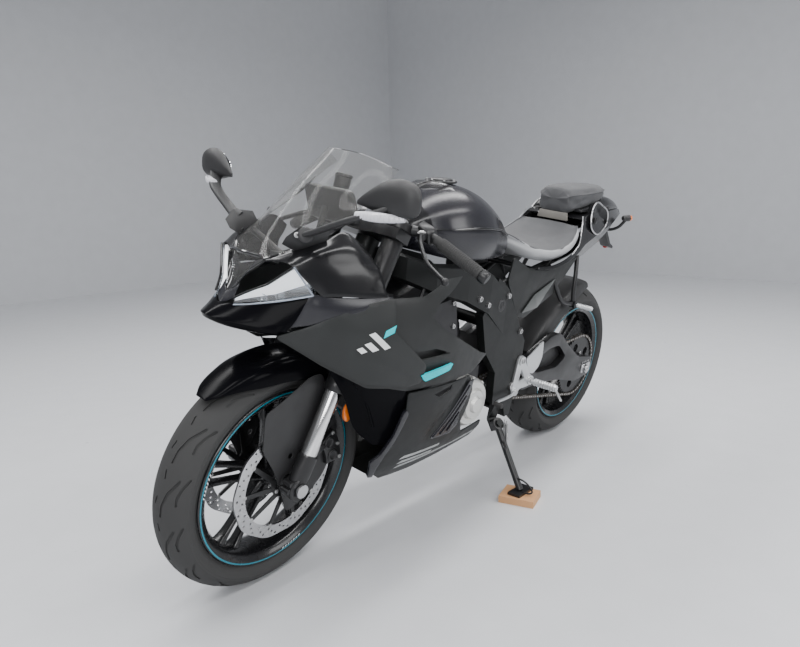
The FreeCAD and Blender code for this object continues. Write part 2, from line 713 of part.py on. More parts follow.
TANK_ROWS = (
    # station, then (half-width, height) from the low edge to the ridge
    (1012, ((78, 846), (92, 880), (88, 912), (46, 930))),
    (950, ((118, 824), (140, 880), (118, 940), (56, 984))),
    (850, ((140, TANK_LOW), (160, 890), (130, 960), (60, 1008))),
    (750, ((136, TANK_LOW), (154, 880), (122, 944), (56, 986))),
    (650, ((104, 812), (116, 862), (92, 916), (44, 948))),
    (580, ((76, 812), (84, 846), (64, 884), (34, 904))),
)
SEAT_ROWS = (
    (572, ((44, 830), (62, 868), (50, 890), (24, 897))),
    (520, ((78, 790), (98, 822), (86, 850), (40, 860))),
    (450, ((118, 766), (134, 790), (118, 816), (50, 824))),
    (370, ((136, 770), (154, 790), (136, 812), (60, 815))),
    (290, ((134, 782), (150, 806), (134, 828), (60, 830))),
    (220, ((122, 812), (137.2, 838), (121, 862), (56, 866))),
    (186, ((104, 836), (114, 856), (104, 876), (50, 882))),
)
PILLION_ROWS = (
    (392, ((34, 950), (52, 972), (50, 994), (26, 1004))),
    (320, ((66, 926), (88, 956), (82, 990), (40, 1006))),
    (200, ((96, DECK_TOP + SEAT_GAP), (114, 950), (104, 984), (50, 1000))),
    (40, ((98, DECK_TOP + SEAT_GAP), (112, 948), (100, 982), (50, 1000))),
    (-110, ((72, DECK_TOP + SEAT_GAP), (86, 948), (78, 984), (40, 1004))),
    (-186, ((42, 926), (56, 950), (48, 984), (24, 1002))),
)


def body_loft(rows):
    """A solid, alike on both sides, through (half-width, height) outlines."""
    sections = []
    for x, half in rows:
        left = [Vector(x, y, z) for y, z in half]
        sections.append(left + [Vector(p.x, -p.y, p.z) for p in reversed(left)])
    return block_loft(sections)


TAIL_SIDE = (
    # station, then (y, z) from the low edge to the top edge
    (478, ((138, 748), (150, 754), (146, 762))),
    (380, ((134, 740), (158, 752), (156, 764))),
    (280, ((112, 742), (156, 772), (154, 792))),
    (190, ((96, 742), (142, 800), (132, 860))),
    (150, ((92, 744), (136, 820), (112, DECK_TOP))),
    (40, ((84, 762), (122, 840), (100, DECK_TOP))),
    (-100, ((68, 802), (98, 866), (80, DECK_TOP))),
    (-220, ((46, 848), (66, 886), (52, DECK_TOP))),
    (-296, ((24, 874), (38, 892), (30, 912))),
)
DECK_ROW = 4               # the station where the deck begins


def tail_fairing():
    """The side strips below the seat and the closed deck behind it, as one shell."""
    outer, inner = [], []
    for x, row in TAIL_SIDE:
        for line, cut in ((outer, 0.0), (inner, PANEL_T)):
            line.append([Vector(x, y - cut, z - (cut if k == 2 else 0)) for k, (y, z) in enumerate(row)])
    strip = grid_solid(outer[:DECK_ROW + 1], inner[:DECK_ROW + 1])

    def whole(line):
        return [row + [Vector(p.x, -p.y, p.z) for p in reversed(row)] for row in line[DECK_ROW:]]

    return [grid_solid(whole(outer), whole(inner)).fuse(both(strip))]


def skin_point(row, k):
    x, halves = row
    return Vector(x, halves[k], SIDE_HEIGHTS[k])


def side_skin():
    """The left side's outer skin, which every side panel is cut from."""
    grid = []
    for row in SIDE_ROWS:
        x, halves = row
        keel = [Vector(x, 6, SIDE_HEIGHTS[0] + 10), Vector(x, halves[0] * 0.7, SIDE_HEIGHTS[0] + 4)]
        grid.append(keel + [skin_point(row, k) for k in range(len(SIDE_HEIGHTS))])
    return panel(grid, Vector(1000, -3000, 1200))


SIDE_PANEL = (
    (1478, 694), (1395, 632), (1288, 566), (1229, 556), (1186, 540), (1130, 520), (1000, 512),
    (900, 462), (800, 440), (735, 436), (735, 536), (860, 600), (1006, 662), (1090, 712),
    (1075, 746), (890, 790), (1010, 792), (1130, 770), (1212, 777.6), (1318, 774.4), (1393, 736),
)
WHEEL_WELL = (
    # side view outline of the space that the steered wheel sweeps between the lower fairings
    (1290, 200), (1290, 640), (1150, 640), (1072, 420), (1072, 200),
)
BLADE_PANEL = (
    (1229, 556 - SHUT_LINE), (1186, 540 - SHUT_LINE), (1130, 520 - SHUT_LINE), (1000, 512 - SHUT_LINE),
    (905, 463 - SHUT_LINE), (870, 380), (860, 330),
    (815, 296), (690, 290), (672, 262), (700, 226), (1010, 226), (1140, 226), (1220, 262),
    (1262, 330), (1232, 400), (1180, 470),
)


def cut_panel(skin, points):
    return skin.common(outline_prism(list(points), -5, 400))


NOSE_SIDE = (
    # across the cowl from the screen to the side panel, one row for each place from the tip back
    ((1524, 6, 776), (1524, 16, 768), (1526, 26, 758)),
    ((1484, 52, 848), (1474, 84, 852), (1452, 114, 846)),
    ((1366, 130, 896), (1392, 156, 850), (1404, 170, 794)),
    ((1306, 128, 920), (1316, 176, 850), (1320, 200, 776)),
    ((1256, 140, 850), (1240, 176, 830), (1210, 208, 780)),
)
BEAK = (
    ((1548, 1, 750), (1526, 30, 754.7), (1400, 166, 786.7)),
    ((1577, 1, 732), (1556, 48, 724), (1458, 132, 712)),
    ((1480, 1, 700), (1462, 50, 694), (1392, 118, 684)),
)
SCREEN = (
    ((1519, 0, 778), (1502, 26, 812), (1484, 50, 851.2)),
    ((1455, 0, 864), (1442, 56, 870), (1414, 102, 879.2)),
    ((1392, 0, 938), (1374, 70, 930), (1338, 124, 914)),
    ((1332, 0, 1004), (1304, 74, 990), (1240, 126, 966)),
    ((1274, 0, 1054), (1238, 72, 1044), (1176, 122, 1016)),
    ((1240, 0, 1086), (1206, 64, 1078), (1130, 112, 1050)),
)


def whole_rows(rows):
    """Rows of left-hand points from the centre out, made whole on both sides."""
    return [
        [Vector(x, -y, z) for x, y, z in reversed(row[1:])] + [Vector(*p) for p in row] for row in rows
    ]


LAMP = ((1520, 38, 757), (1404, 156, 788), (1442, 108, 824), (1474, 64, 822))


def headlight():
    front = [Vector(*p) for p in LAMP]
    back = [p + Vector(-46, -22 * p.y / 160.0, -4) for p in front]
    return block_loft([front, back])


def mirror():
    base = Vector(1420, 128, 912)
    elbow = Vector(1404, 246, 962)
    head = Vector(1352, 322, 1012)
    arm = bent_rod([base, elbow, head + Vector(10, -20, -14)], 9)
    foot = rod(base + Vector(0, -17, -30.8), base + Vector(0, 2, 4), 17)
    shell = block_loft([
        [head + Vector(depth + b * thick, y, rise + a * tall) for a, b in CORNERS]
        for y, depth, rise, tall, thick in (
            (-62, 6, -10, 20, 10), (-44, 2, -6, 38, 18), (0, 0, 0, 46, 22), (40, -4, 4, 40, 18),
            (51, -6, 6, 26, 10),
        )
    ])
    return shell.fuse([arm, foot])


def fairing_stay():
    """The bracket from the steering head that carries the nose, dash and mirrors."""
    root = HEAD_LOW + (HEAD_TOP - HEAD_LOW) * 0.5 + STEER_FORWARD * 31
    spine = outline_prism(
        [(root.x - 2, root.z - 22), (root.x - 2, root.z + 20), (1300, 842), (1400, 850), (1400, 826),
         (1300, 806)], -16, 16,
    )
    cross = bent_rod([Vector(1380, -113.2, 881.2), Vector(1380, 0, 842), Vector(1380, 113.2, 881.2)], 8)
    dash = bent_rod([Vector(1290, 0, 830), Vector(1258.9, 0, 950)], 8)
    return [spine.fuse([cross, dash]).cut(frame()[0])]


def dashboard():
    face = Vector(1228, 0, 958)
    return [block_loft([
        [face + Vector(out + 0.35 * h, y, h) for y, h in ((-84, -44), (84, -44), (78, 38), (-78, 38))]
        for out in (0, 26)
    ])]


# Rear end

def swingarm():
    """Two deep arms outside the chain, joined through its loop to the pivot tube."""
    axle_end = [
        (x, REAR_R + rise) for x, rise in
        ((150, 115), (60, 57), (-48, 37), (-66, 1), (-48, -35), (60, -43), (200, -5))
    ]
    arm = outline_prism(
        [(468, 330), (468, 402), (430, 450), (300, 496), (240, 500)] + axle_end + [(330, 330)],
        ARM_INNER, ARM_OUTER,
    )
    arm = arm.cut(cross_rod(0, REAR_R, 100, 200, AXLE_R + AXLE_GAP))
    window = [(410, 420), (300, 452), (235, 452), (170, 396), (230, 366), (380, 376)]
    arm = arm.cut(outline_prism(window, 100, 200))
    yoke = outline_prism([(468, 335), (468, 395), (400, 388), (388, 350), (400, 335)], -ARM_OUTER, ARM_OUTER)
    neck = outline_prism([(560, 345), (560, 395), (460, 395), (460, 335)], -88, 88)
    tube = cross_rod(PIVOT_X, PIVOT_Z, -88, 88, 28)
    ears = shock_ears(SHOCK_LOW, Vector(442, 0, 386))
    whole = arm.fuse([mirrored(arm), yoke, neck, tube] + ears)
    return [whole.cut(cross_rod(PIVOT_X, PIVOT_Z, -200, 200, PIVOT_R + AXLE_GAP))]


def pivot_pin():
    pin = cross_rod(PIVOT_X, PIVOT_Z, -150.2, 150.2, PIVOT_R)
    spacers = both(cross_ring(PIVOT_X, PIVOT_Z, 88.4, 121.6, 17, PIVOT_R - 1))
    return [pin.fuse(spacers)]


def sprocket_r(teeth):
    return CHAIN_PITCH / (2 * math.sin(math.pi / teeth))


def chain_tangent():
    """The slope of the line between both sprockets, and the runs' lean from its normal."""
    span = Vector(GEARBOX_X, 0, GEARBOX_Z) - REAR_AXLE
    lean = math.acos((sprocket_r(REAR_TEETH) - sprocket_r(FRONT_TEETH)) / span.Length)
    return math.atan2(span.z, span.x), lean


def chain_outline(offset):
    """The loop through the pins round both sprockets, widened by offset."""
    slope, lean = chain_tangent()
    points = []
    for x, z, teeth, start, end in (
        (0, REAR_R, REAR_TEETH, slope + lean, slope + 2 * math.pi - lean),
        (GEARBOX_X, GEARBOX_Z, FRONT_TEETH, slope - lean, slope + lean),
    ):
        step = 2 * math.pi / teeth
        r = sprocket_r(teeth) + offset
        pins = [step * (k + 0.5) for k in range(-teeth, 2 * teeth) if start < step * (k + 0.5) < end]
        for angle in [start] + pins + [end]:
            points.append((x + r * math.cos(angle), z + r * math.sin(angle)))
    return points


def chain():
    """Two side plates round the whole loop, on a row of rollers along each straight run."""
    half = CHAIN_HEIGHT / 2
    plates = []
    for low, high in ((-CHAIN_HALF, 3 - CHAIN_HALF), (CHAIN_HALF - 3, CHAIN_HALF)):
        outside = outline_prism(chain_outline(half), CHAIN_Y + low, CHAIN_Y + high)
        plates.append(outside.cut(outline_prism(chain_outline(-half), CHAIN_Y + low, CHAIN_Y + high)))
    slope, lean = chain_tangent()
    rollers = []
    for angle in (slope + lean, slope - lean):
        out = Vector(math.cos(angle), 0, math.sin(angle))
        rear = REAR_AXLE + out * sprocket_r(REAR_TEETH)
        front = Vector(GEARBOX_X, 0, GEARBOX_Z) + out * sprocket_r(FRONT_TEETH)
        clear = (front - rear).normalize() * (6 * CHAIN_PITCH)
        corners = [
            rear + clear - out * 4, front - clear - out * 4, front - clear + out * 4, rear + clear + out * 4,
        ]
        rollers.append(outline_prism(
            [(p.x, p.z) for p in corners], CHAIN_Y - CHAIN_HALF + 1, CHAIN_Y + CHAIN_HALF - 1
        ))
    return [plates[0].fuse([plates[1]] + rollers)]


def rear_axle():
    shaft = cross_rod(0, REAR_R, -152, 152, AXLE_R)
    left = cross_ring(0, REAR_R, 110, 118.7, 20, AXLE_R - 1)
    right = cross_ring(0, REAR_R, -118.7, -112, 20, AXLE_R - 1)
    nuts = [cross_rod(0, REAR_R, 146.3, 158, 18), cross_rod(0, REAR_R, -158, -146.3, 18)]
    return [shaft.fuse([left, right] + nuts)]


def rear_shock():
    """The damper between the eyes on the frame and the swingarm, with its coils."""
    along = (SHOCK_LOW - SHOCK_TOP).normalize()
    body = rod(SHOCK_TOP + along * 9, SHOCK_LOW - along * 9, 11)
    cup = rod(SHOCK_TOP + along * 20, SHOCK_LOW - along * 30, 17)
    coils = [rod(SHOCK_TOP + along * (26 + 17 * k), SHOCK_TOP + along * (36 + 17 * k), 30) for k in range(5)]
    ends = (SHOCK_TOP, SHOCK_LOW)
    half = SHOCK_HALF - SEAT_GAP
    eyes = [cross_rod(p.x, p.z, -half, half, SHOCK_EYE_R) for p in ends]
    bores = [cross_rod(p.x, p.z, -half - 9, half + 9, SHOCK_PIN_R + SEAT_GAP) for p in ends]
    return [body.fuse([cup] + coils + eyes).cut(bores)]


def rear_hugger():
    """A short guard over the tyre, carried by the swingarm."""
    outer, inner = [], []
    for angle_deg, half, drop in ((18, 74, 26), (34, 96, 44), (56, 102, 52), (80, 98, 44), (98, 80, 24)):
        a = math.radians(angle_deg)
        for line, extra in ((outer, 3.5), (inner, 0.0)):
            ring = []
            for share, fall in ((-1, drop), (-0.8, drop * 0.3), (0, 0), (0.8, drop * 0.3), (1, drop)):
                r = REAR_R + 16 + extra - fall
                y = half * share + (extra * share if abs(share) == 1 else 0)
                ring.append(REAR_AXLE + Vector(r * math.cos(a), y, r * math.sin(a)))
            line.append(ring)
    turn = math.radians(34)
    bracket_r = REAR_R - 15.0
    x, z = bracket_r * math.cos(turn), REAR_R + bracket_r * math.sin(turn)
    brackets = both(cross_rod(x, z, 88, ARM_INNER - SEAT_GAP, 6))
    return [grid_solid(outer, inner).fuse(brackets)]


def rear_caliper():
    """The caliper on its hanger, which stands on the right arm."""
    body = caliper(REAR_AXLE, REAR_DISC_R, 92, REAR_DISC_Y + DISC_T / 2, 22, 74)
    foot = REAR_R + 43.3 + SEAT_GAP
    top = REAR_R + 86
    hanger = outline_prism([(-16, foot), (20, foot + 6.7), (24, top), (-24, top)], -127, -120.5)
    return [body.fuse(hanger)]


def peg(root, tip, radius):
    along = (tip - root).normalize()
    grip = rod(root + along * 14, tip, radius)
    rings = [rod(root + along * d, root + along * (d + 4), radius + 2.5) for d in (20, 36, 52)]
    return rod(root, root + along * 20, radius * 0.7).fuse([grip] + rings)


def rearset(side):
    plate = outline_prism(
        [(556, 486), (500, 500), (470, 470), (500, 410), (508, 362), (548, 340), (572, 370)], 150.5, 162
    )
    heel = outline_prism([(520, 500), (470, 470), (400, 492), (404, 520), (430, 526)], 152, 157)
    foot = peg(Vector(520, 160, 424), Vector(500, 262, 402), 9)
    feeler = rod(Vector(500, 250, 402), Vector(494, 256, 356), 4)
    pedal = bent_rod([Vector(560, 168, 372), Vector(660, 176, 352), Vector(672, 206, 352)], 5)
    hub = cross_rod(560, 372, 161, 174, 10)
    pieces = [plate, heel, foot, feeler, pedal, hub]
    whole = pieces[0].fuse(pieces[1:])
    return [whole if side > 0 else mirrored(whole)]


def pillion_pegs():
    bracket = bent_rod([Vector(330, 100, 744), Vector(230, 118, 610), Vector(150, 124, 590)], 8)
    back = bent_rod([Vector(112, 86, 776), Vector(150, 116, 640), Vector(150, 124, 590)], 8)
    foot = peg(Vector(150, 130, 590), Vector(88, 172, 574), 8)
    return both(bracket.fuse([back, foot]).cut(subframe() + tail_fairing()))


def undertray():
    tray = outline_prism([(160, 752), (150, 744), (-60, 780), (-190, 826), (-184, 834), (-50, 790)], -34, 34)
    tray = tray.fuse([
        rod(Vector(-150, 0, 818), Vector(-150, 0, 832 - SEAT_GAP), 8),
        rod(Vector(150, 0, 748), Vector(164, 0, 761 - 3), 6),
    ]).cut(subframe())
    tail = outline_prism(
        [(-190.3, 826), (-190.3, 838), (-236, 842), (-306, 766), (-336, 752), (-336, 742), (-300, 752),
         (-224, 826)], -20, 20,
    )
    arms = both(bent_rod([Vector(-232, 14, 830), Vector(-232, 60, 832), Vector(-232, 96, 878)], 6))
    lamps = both(rod(Vector(-212, 92, 886), Vector(-254, 108, 888), 13))
    return [tray, tail.fuse(arms + lamps)]


def tail_lamp():
    return [block_loft([
        [Vector(x, half * share, z) for share, z in
         ((-1, 892), (-0.8, 878), (0.8, 878), (1, 892), (0.8, 906), (-0.8, 906))]
        for x, half in ((-296.3, 36), (-310, 30))
    ])]


def air_ducts():
    """The dark inner panels between the fairing's leading edge and the radiator."""
    grid = [
        [Vector(x, y, z) for x, y, z in row] for row in (
            ((1340, 128, 600), (1300, 170, 578), (1236, 196, 560)),
            ((1270, 170, 520), (1190, 184, 500), (1124, 178, 500)),
            ((1176, 172, 420), (1120, 174, 410), (1086, 176.2, 410)),
        )
    ]
    return both(panel(grid, Vector(1000, 0, 500)))


# Side stand

def side_stand():
    """The leg with its eye, foot pad and tang, as it stands on the board."""
    along = (STAND_REST - STAND_PIVOT).normalize()
    leg = rod(STAND_PIVOT + along * 4, STAND_REST, STAND_LEG_R)
    eye = rod(STAND_PIVOT - STAND_AXIS * 11, STAND_PIVOT + STAND_AXIS * 11, 20)
    pad = Part.makeBox(84, 44, 8, Vector(-46, -22, -8.8))
    pad.Placement = FreeCAD.Placement(STAND_REST, parked().Rotation.inverted())
    knee = STAND_PIVOT + along * 60
    tang = bent_rod([knee, knee + Vector(40, 34, 6)], 5)
    bore = rod(STAND_PIVOT - STAND_AXIS * 20, STAND_PIVOT + STAND_AXIS * 20, STAND_BORE_R)
    return [leg.fuse([eye, pad, tang]).cut(bore)]


def stand_board():
    length, width, thick = BOARD
    board = Part.makeBox(length, width, thick, Vector(-length / 2, -width / 2, 0))
    board.Placement = FreeCAD.Placement(
        floor_point(STAND_FOOT[0] + 4, STAND_FOOT[1] + 2, 0),
        parked().Rotation.inverted().multiply(FreeCAD.Rotation(Vector(0, 0, 1), 16)),
    )
    return [board]


def chassis_parts():
    skin = side_skin()
    left_side = cut_panel(skin, SIDE_PANEL)
    left_low = cut_panel(skin, BLADE_PANEL).cut(outline_prism(list(WHEEL_WELL), -10, 160))
    nose = panel([[Vector(*p) for p in row] for row in NOSE_SIDE], Vector(1300, 0, 780))
    beak = panel(whole_rows(BEAK), Vector(1300, 0, 740))
    half = cupped([[Vector(*p) for p in row] for row in SCREEN], Vector(1230, 0, 830), 4.5)
    screen = half.fuse(mirrored(half))
    return {
        "frame": frame(),
        "subframe": subframe(),
        "engine": engine(),
        "engine_covers": engine_covers(),
        "radiator": radiator(),
        "exhaust": exhaust(),
        "fuel_tank": [body_loft(TANK_ROWS)],
        "rider_seat": [body_loft(SEAT_ROWS)],
        "pillion_seat": [body_loft(PILLION_ROWS)],
        "tail_fairing": tail_fairing(),
        "tail_lamp": tail_lamp(),
        "undertray": undertray(),
        "nose_fairing": both(nose),
        "nose_beak": [beak],
        "windscreen": [screen],
        "headlights": both(headlight()),
        "mirrors": both(mirror()),
        "fairing_stay": fairing_stay(),
        "dashboard": dashboard(),
        "side_fairings": both(left_side),
        "lower_fairings": both(left_low),
        "air_ducts": air_ducts(),
        "swingarm": swingarm(),
        "swingarm_pivot": pivot_pin(),
        "rear_axle": rear_axle(),
        "rear_shock": rear_shock(),
        "chain": chain(),
        "rear_hugger": rear_hugger(),
        "rear_caliper": rear_caliper(),
        "rearset_left": rearset(1),
        "rearset_right": rearset(-1),
        "pillion_pegs": pillion_pegs(),
    }


def main():
    os.makedirs("parts", exist_ok=True)
    at_rest = parked()
    turned = at_rest.multiply(steered())
    groups = (
        (chassis_parts(), at_rest),
        (rear_wheel_parts(), at_rest),
        (steering_parts(), turned),
        (front_wheel_parts(), turned),
        ({"side_stand": side_stand(), "stand_board": stand_board()}, at_rest),
    )
    for parts, placement in groups:
        for name, solids in parts.items():
            shape = solids[0] if len(solids) == 1 else Part.makeCompound(solids)
            shape = shape.copy()
            shape.Placement = placement.multiply(shape.Placement)
            shape.exportStep(f"parts/{name}.step")
            print(name, len(shape.Solids), round(shape.Volume / 1000, 1), shape.isValid())


main()
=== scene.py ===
"""Dresses the parked sport bike: smooth panels, tyres, lamps, padded seats and small parts."""

import json
import logging
import math
from dataclasses import dataclass, field
from enum import Enum
from typing import Callable, Iterable, Sequence

import bmesh
import bpy
from mathutils import Matrix, Quaternion, Vector
from mathutils.geometry import delaunay_2d_cdt

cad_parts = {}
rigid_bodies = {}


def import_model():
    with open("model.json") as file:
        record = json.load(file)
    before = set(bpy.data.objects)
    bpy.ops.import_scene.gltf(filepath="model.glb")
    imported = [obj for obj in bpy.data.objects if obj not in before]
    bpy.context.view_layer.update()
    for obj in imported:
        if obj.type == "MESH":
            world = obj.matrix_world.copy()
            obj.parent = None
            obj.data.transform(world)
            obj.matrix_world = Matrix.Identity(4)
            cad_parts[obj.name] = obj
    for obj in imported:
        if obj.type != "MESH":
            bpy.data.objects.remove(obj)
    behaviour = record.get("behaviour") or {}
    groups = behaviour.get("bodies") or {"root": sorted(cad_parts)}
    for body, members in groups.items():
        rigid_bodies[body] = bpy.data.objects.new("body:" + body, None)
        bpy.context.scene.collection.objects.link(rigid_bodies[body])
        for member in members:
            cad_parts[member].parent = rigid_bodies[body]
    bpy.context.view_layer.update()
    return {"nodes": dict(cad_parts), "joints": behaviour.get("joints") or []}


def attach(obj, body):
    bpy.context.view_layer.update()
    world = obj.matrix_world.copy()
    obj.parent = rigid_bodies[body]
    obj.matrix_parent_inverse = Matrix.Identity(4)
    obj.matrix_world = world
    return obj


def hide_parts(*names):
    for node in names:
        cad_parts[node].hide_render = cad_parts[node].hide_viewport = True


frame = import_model()

LOG = logging.getLogger("sport_bike")
Face = tuple[int, ...]
Pair = tuple[float, float]
Triple = tuple[float, float, float]
Place = Vector | Triple

# Upright bike, millimetres: x forward from the rear axle, y to the left, z up from the ground
WHEELBASE = 1400.0
RAKE = math.radians(24.5)
TRAIL = 101.0
STEER_REST = math.radians(4.0)
FRONT_R = 300.0
REAR_R = 315.0
FORK_Y = 105.0
STEER_UP = Vector((-math.sin(RAKE), 0.0, math.cos(RAKE)))
STEER_FORWARD = Vector((math.cos(RAKE), 0.0, math.sin(RAKE)))
FRONT_AXLE = Vector((WHEELBASE, 0.0, FRONT_R))
REAR_AXLE = Vector((0.0, 0.0, REAR_R))
STEER_GROUND = Vector((WHEELBASE + TRAIL, 0.0, 0.0))
ACROSS = Vector((0.0, 1.0, 0.0))
# A millimetre in the frame's metres
MM = 0.001
# Thickness of a moulded panel
SHELL = 3.0
# Radius that stands for the axis of a turned form
CORE = 0.01


def around(steps: int, shift: float = 0.0) -> list[float]:
    """Evenly spaced directions of a full turn, the first one shifted by a share of a step."""
    return [2 * math.pi * (k + shift) / steps for k in range(steps)]


def eased(value: float, power: float) -> float:
    """A value whose size is raised to a power, with its sign kept."""
    return math.copysign(abs(value) ** power, value)


def on_circle(angle: float, radius: float, y: float = 0.0) -> Vector:
    """A step from an axle: outward at an angle in side view, and across the bike."""
    return Vector((radius * math.cos(angle), y, radius * math.sin(angle)))


def fork_point(along: float, y: float, ahead: float = 0.0) -> Vector:
    """A point beside a fork leg.

    Args:
        along: distance up the leg from the axle.
        y: distance to the bike's left.
        ahead: distance in front of the leg's line.

    Returns:
        The point on the upright bike.
    """
    return FRONT_AXLE + STEER_UP * along + STEER_FORWARD * ahead + ACROSS * y


class Body(Enum):
    """The moving bodies that a piece can ride on."""

    CHASSIS = "chassis"
    STEERING = "steering"
    FRONT_WHEEL = "front_wheel"
    REAR_WHEEL = "rear_wheel"
    STAND = "side_stand"

    @property
    def turned(self) -> bool:
        """Whether the body is drawn straight ahead and then turned with the bars."""
        return self in (Body.STEERING, Body.FRONT_WHEEL)


@dataclass(frozen=True)
class Posture:
    """Where the parked bike stands, from upright millimetres to the frame's metres.

    Attributes:
        upright: places what is fixed to the chassis.
        steered: places what turns with the bars.
    """

    upright: Matrix
    steered: Matrix

    @classmethod
    def from_joints(cls, joints: Sequence[dict]) -> "Posture":
        """Works the placement out from the joints' axes.

        Args:
            joints: the joints of the loaded frame.

        Returns:
            The posture of the bike at rest.
        """
        by_name = {joint["name"]: joint for joint in joints}
        spin = by_name["rear_wheel_spin"]
        across = Vector(spin["axis"]).normalized()
        up = Vector(by_name["steering_turn"]["axis"]).normalized()
        forward = across.cross(up).normalized()
        x_axis = forward * math.cos(RAKE) - up * math.sin(RAKE)
        z_axis = x_axis.cross(across)
        origin = Vector(spin["pos_m"]) - z_axis * REAR_R * MM
        turn = Matrix((x_axis, across, z_axis)).transposed().to_4x4()
        upright = Matrix.Translation(origin) @ turn @ Matrix.Scale(MM, 4)
        bars = Matrix.Translation(STEER_GROUND) @ Matrix.Rotation(STEER_REST, 4, STEER_UP)
        return cls(upright, upright @ bars @ Matrix.Translation(-STEER_GROUND))

    def of(self, body: Body) -> Matrix:
        """The placement of what rides on a body."""
        return self.steered if body.turned else self.upright


class Grain(Enum):
    """The fine surface of a finish."""

    SMOOTH = "smooth"
    MOULDED = "moulded"
    CAST = "cast"
    BRUSHED = "brushed"
    LEATHER = "leather"
    HATCHED = "hatched"
    WOOD = "wood"
    FLAKE = "flake"


# Values of the shaders: noise scales in repeats per metre, the others without a unit
PLAIN: Triple = (1.0, 1.0, 1.0)
COAT_ROUGH = 0.04
NOISE_DETAIL = 4.0
TONE_SCALE = 9.0
WOOD_TONE_SCALE = 14.0
SMUDGE_SCALE = 35.0
TONE_LIMITS = (0.3, 0.7)
BUMP_STRENGTH = 0.6


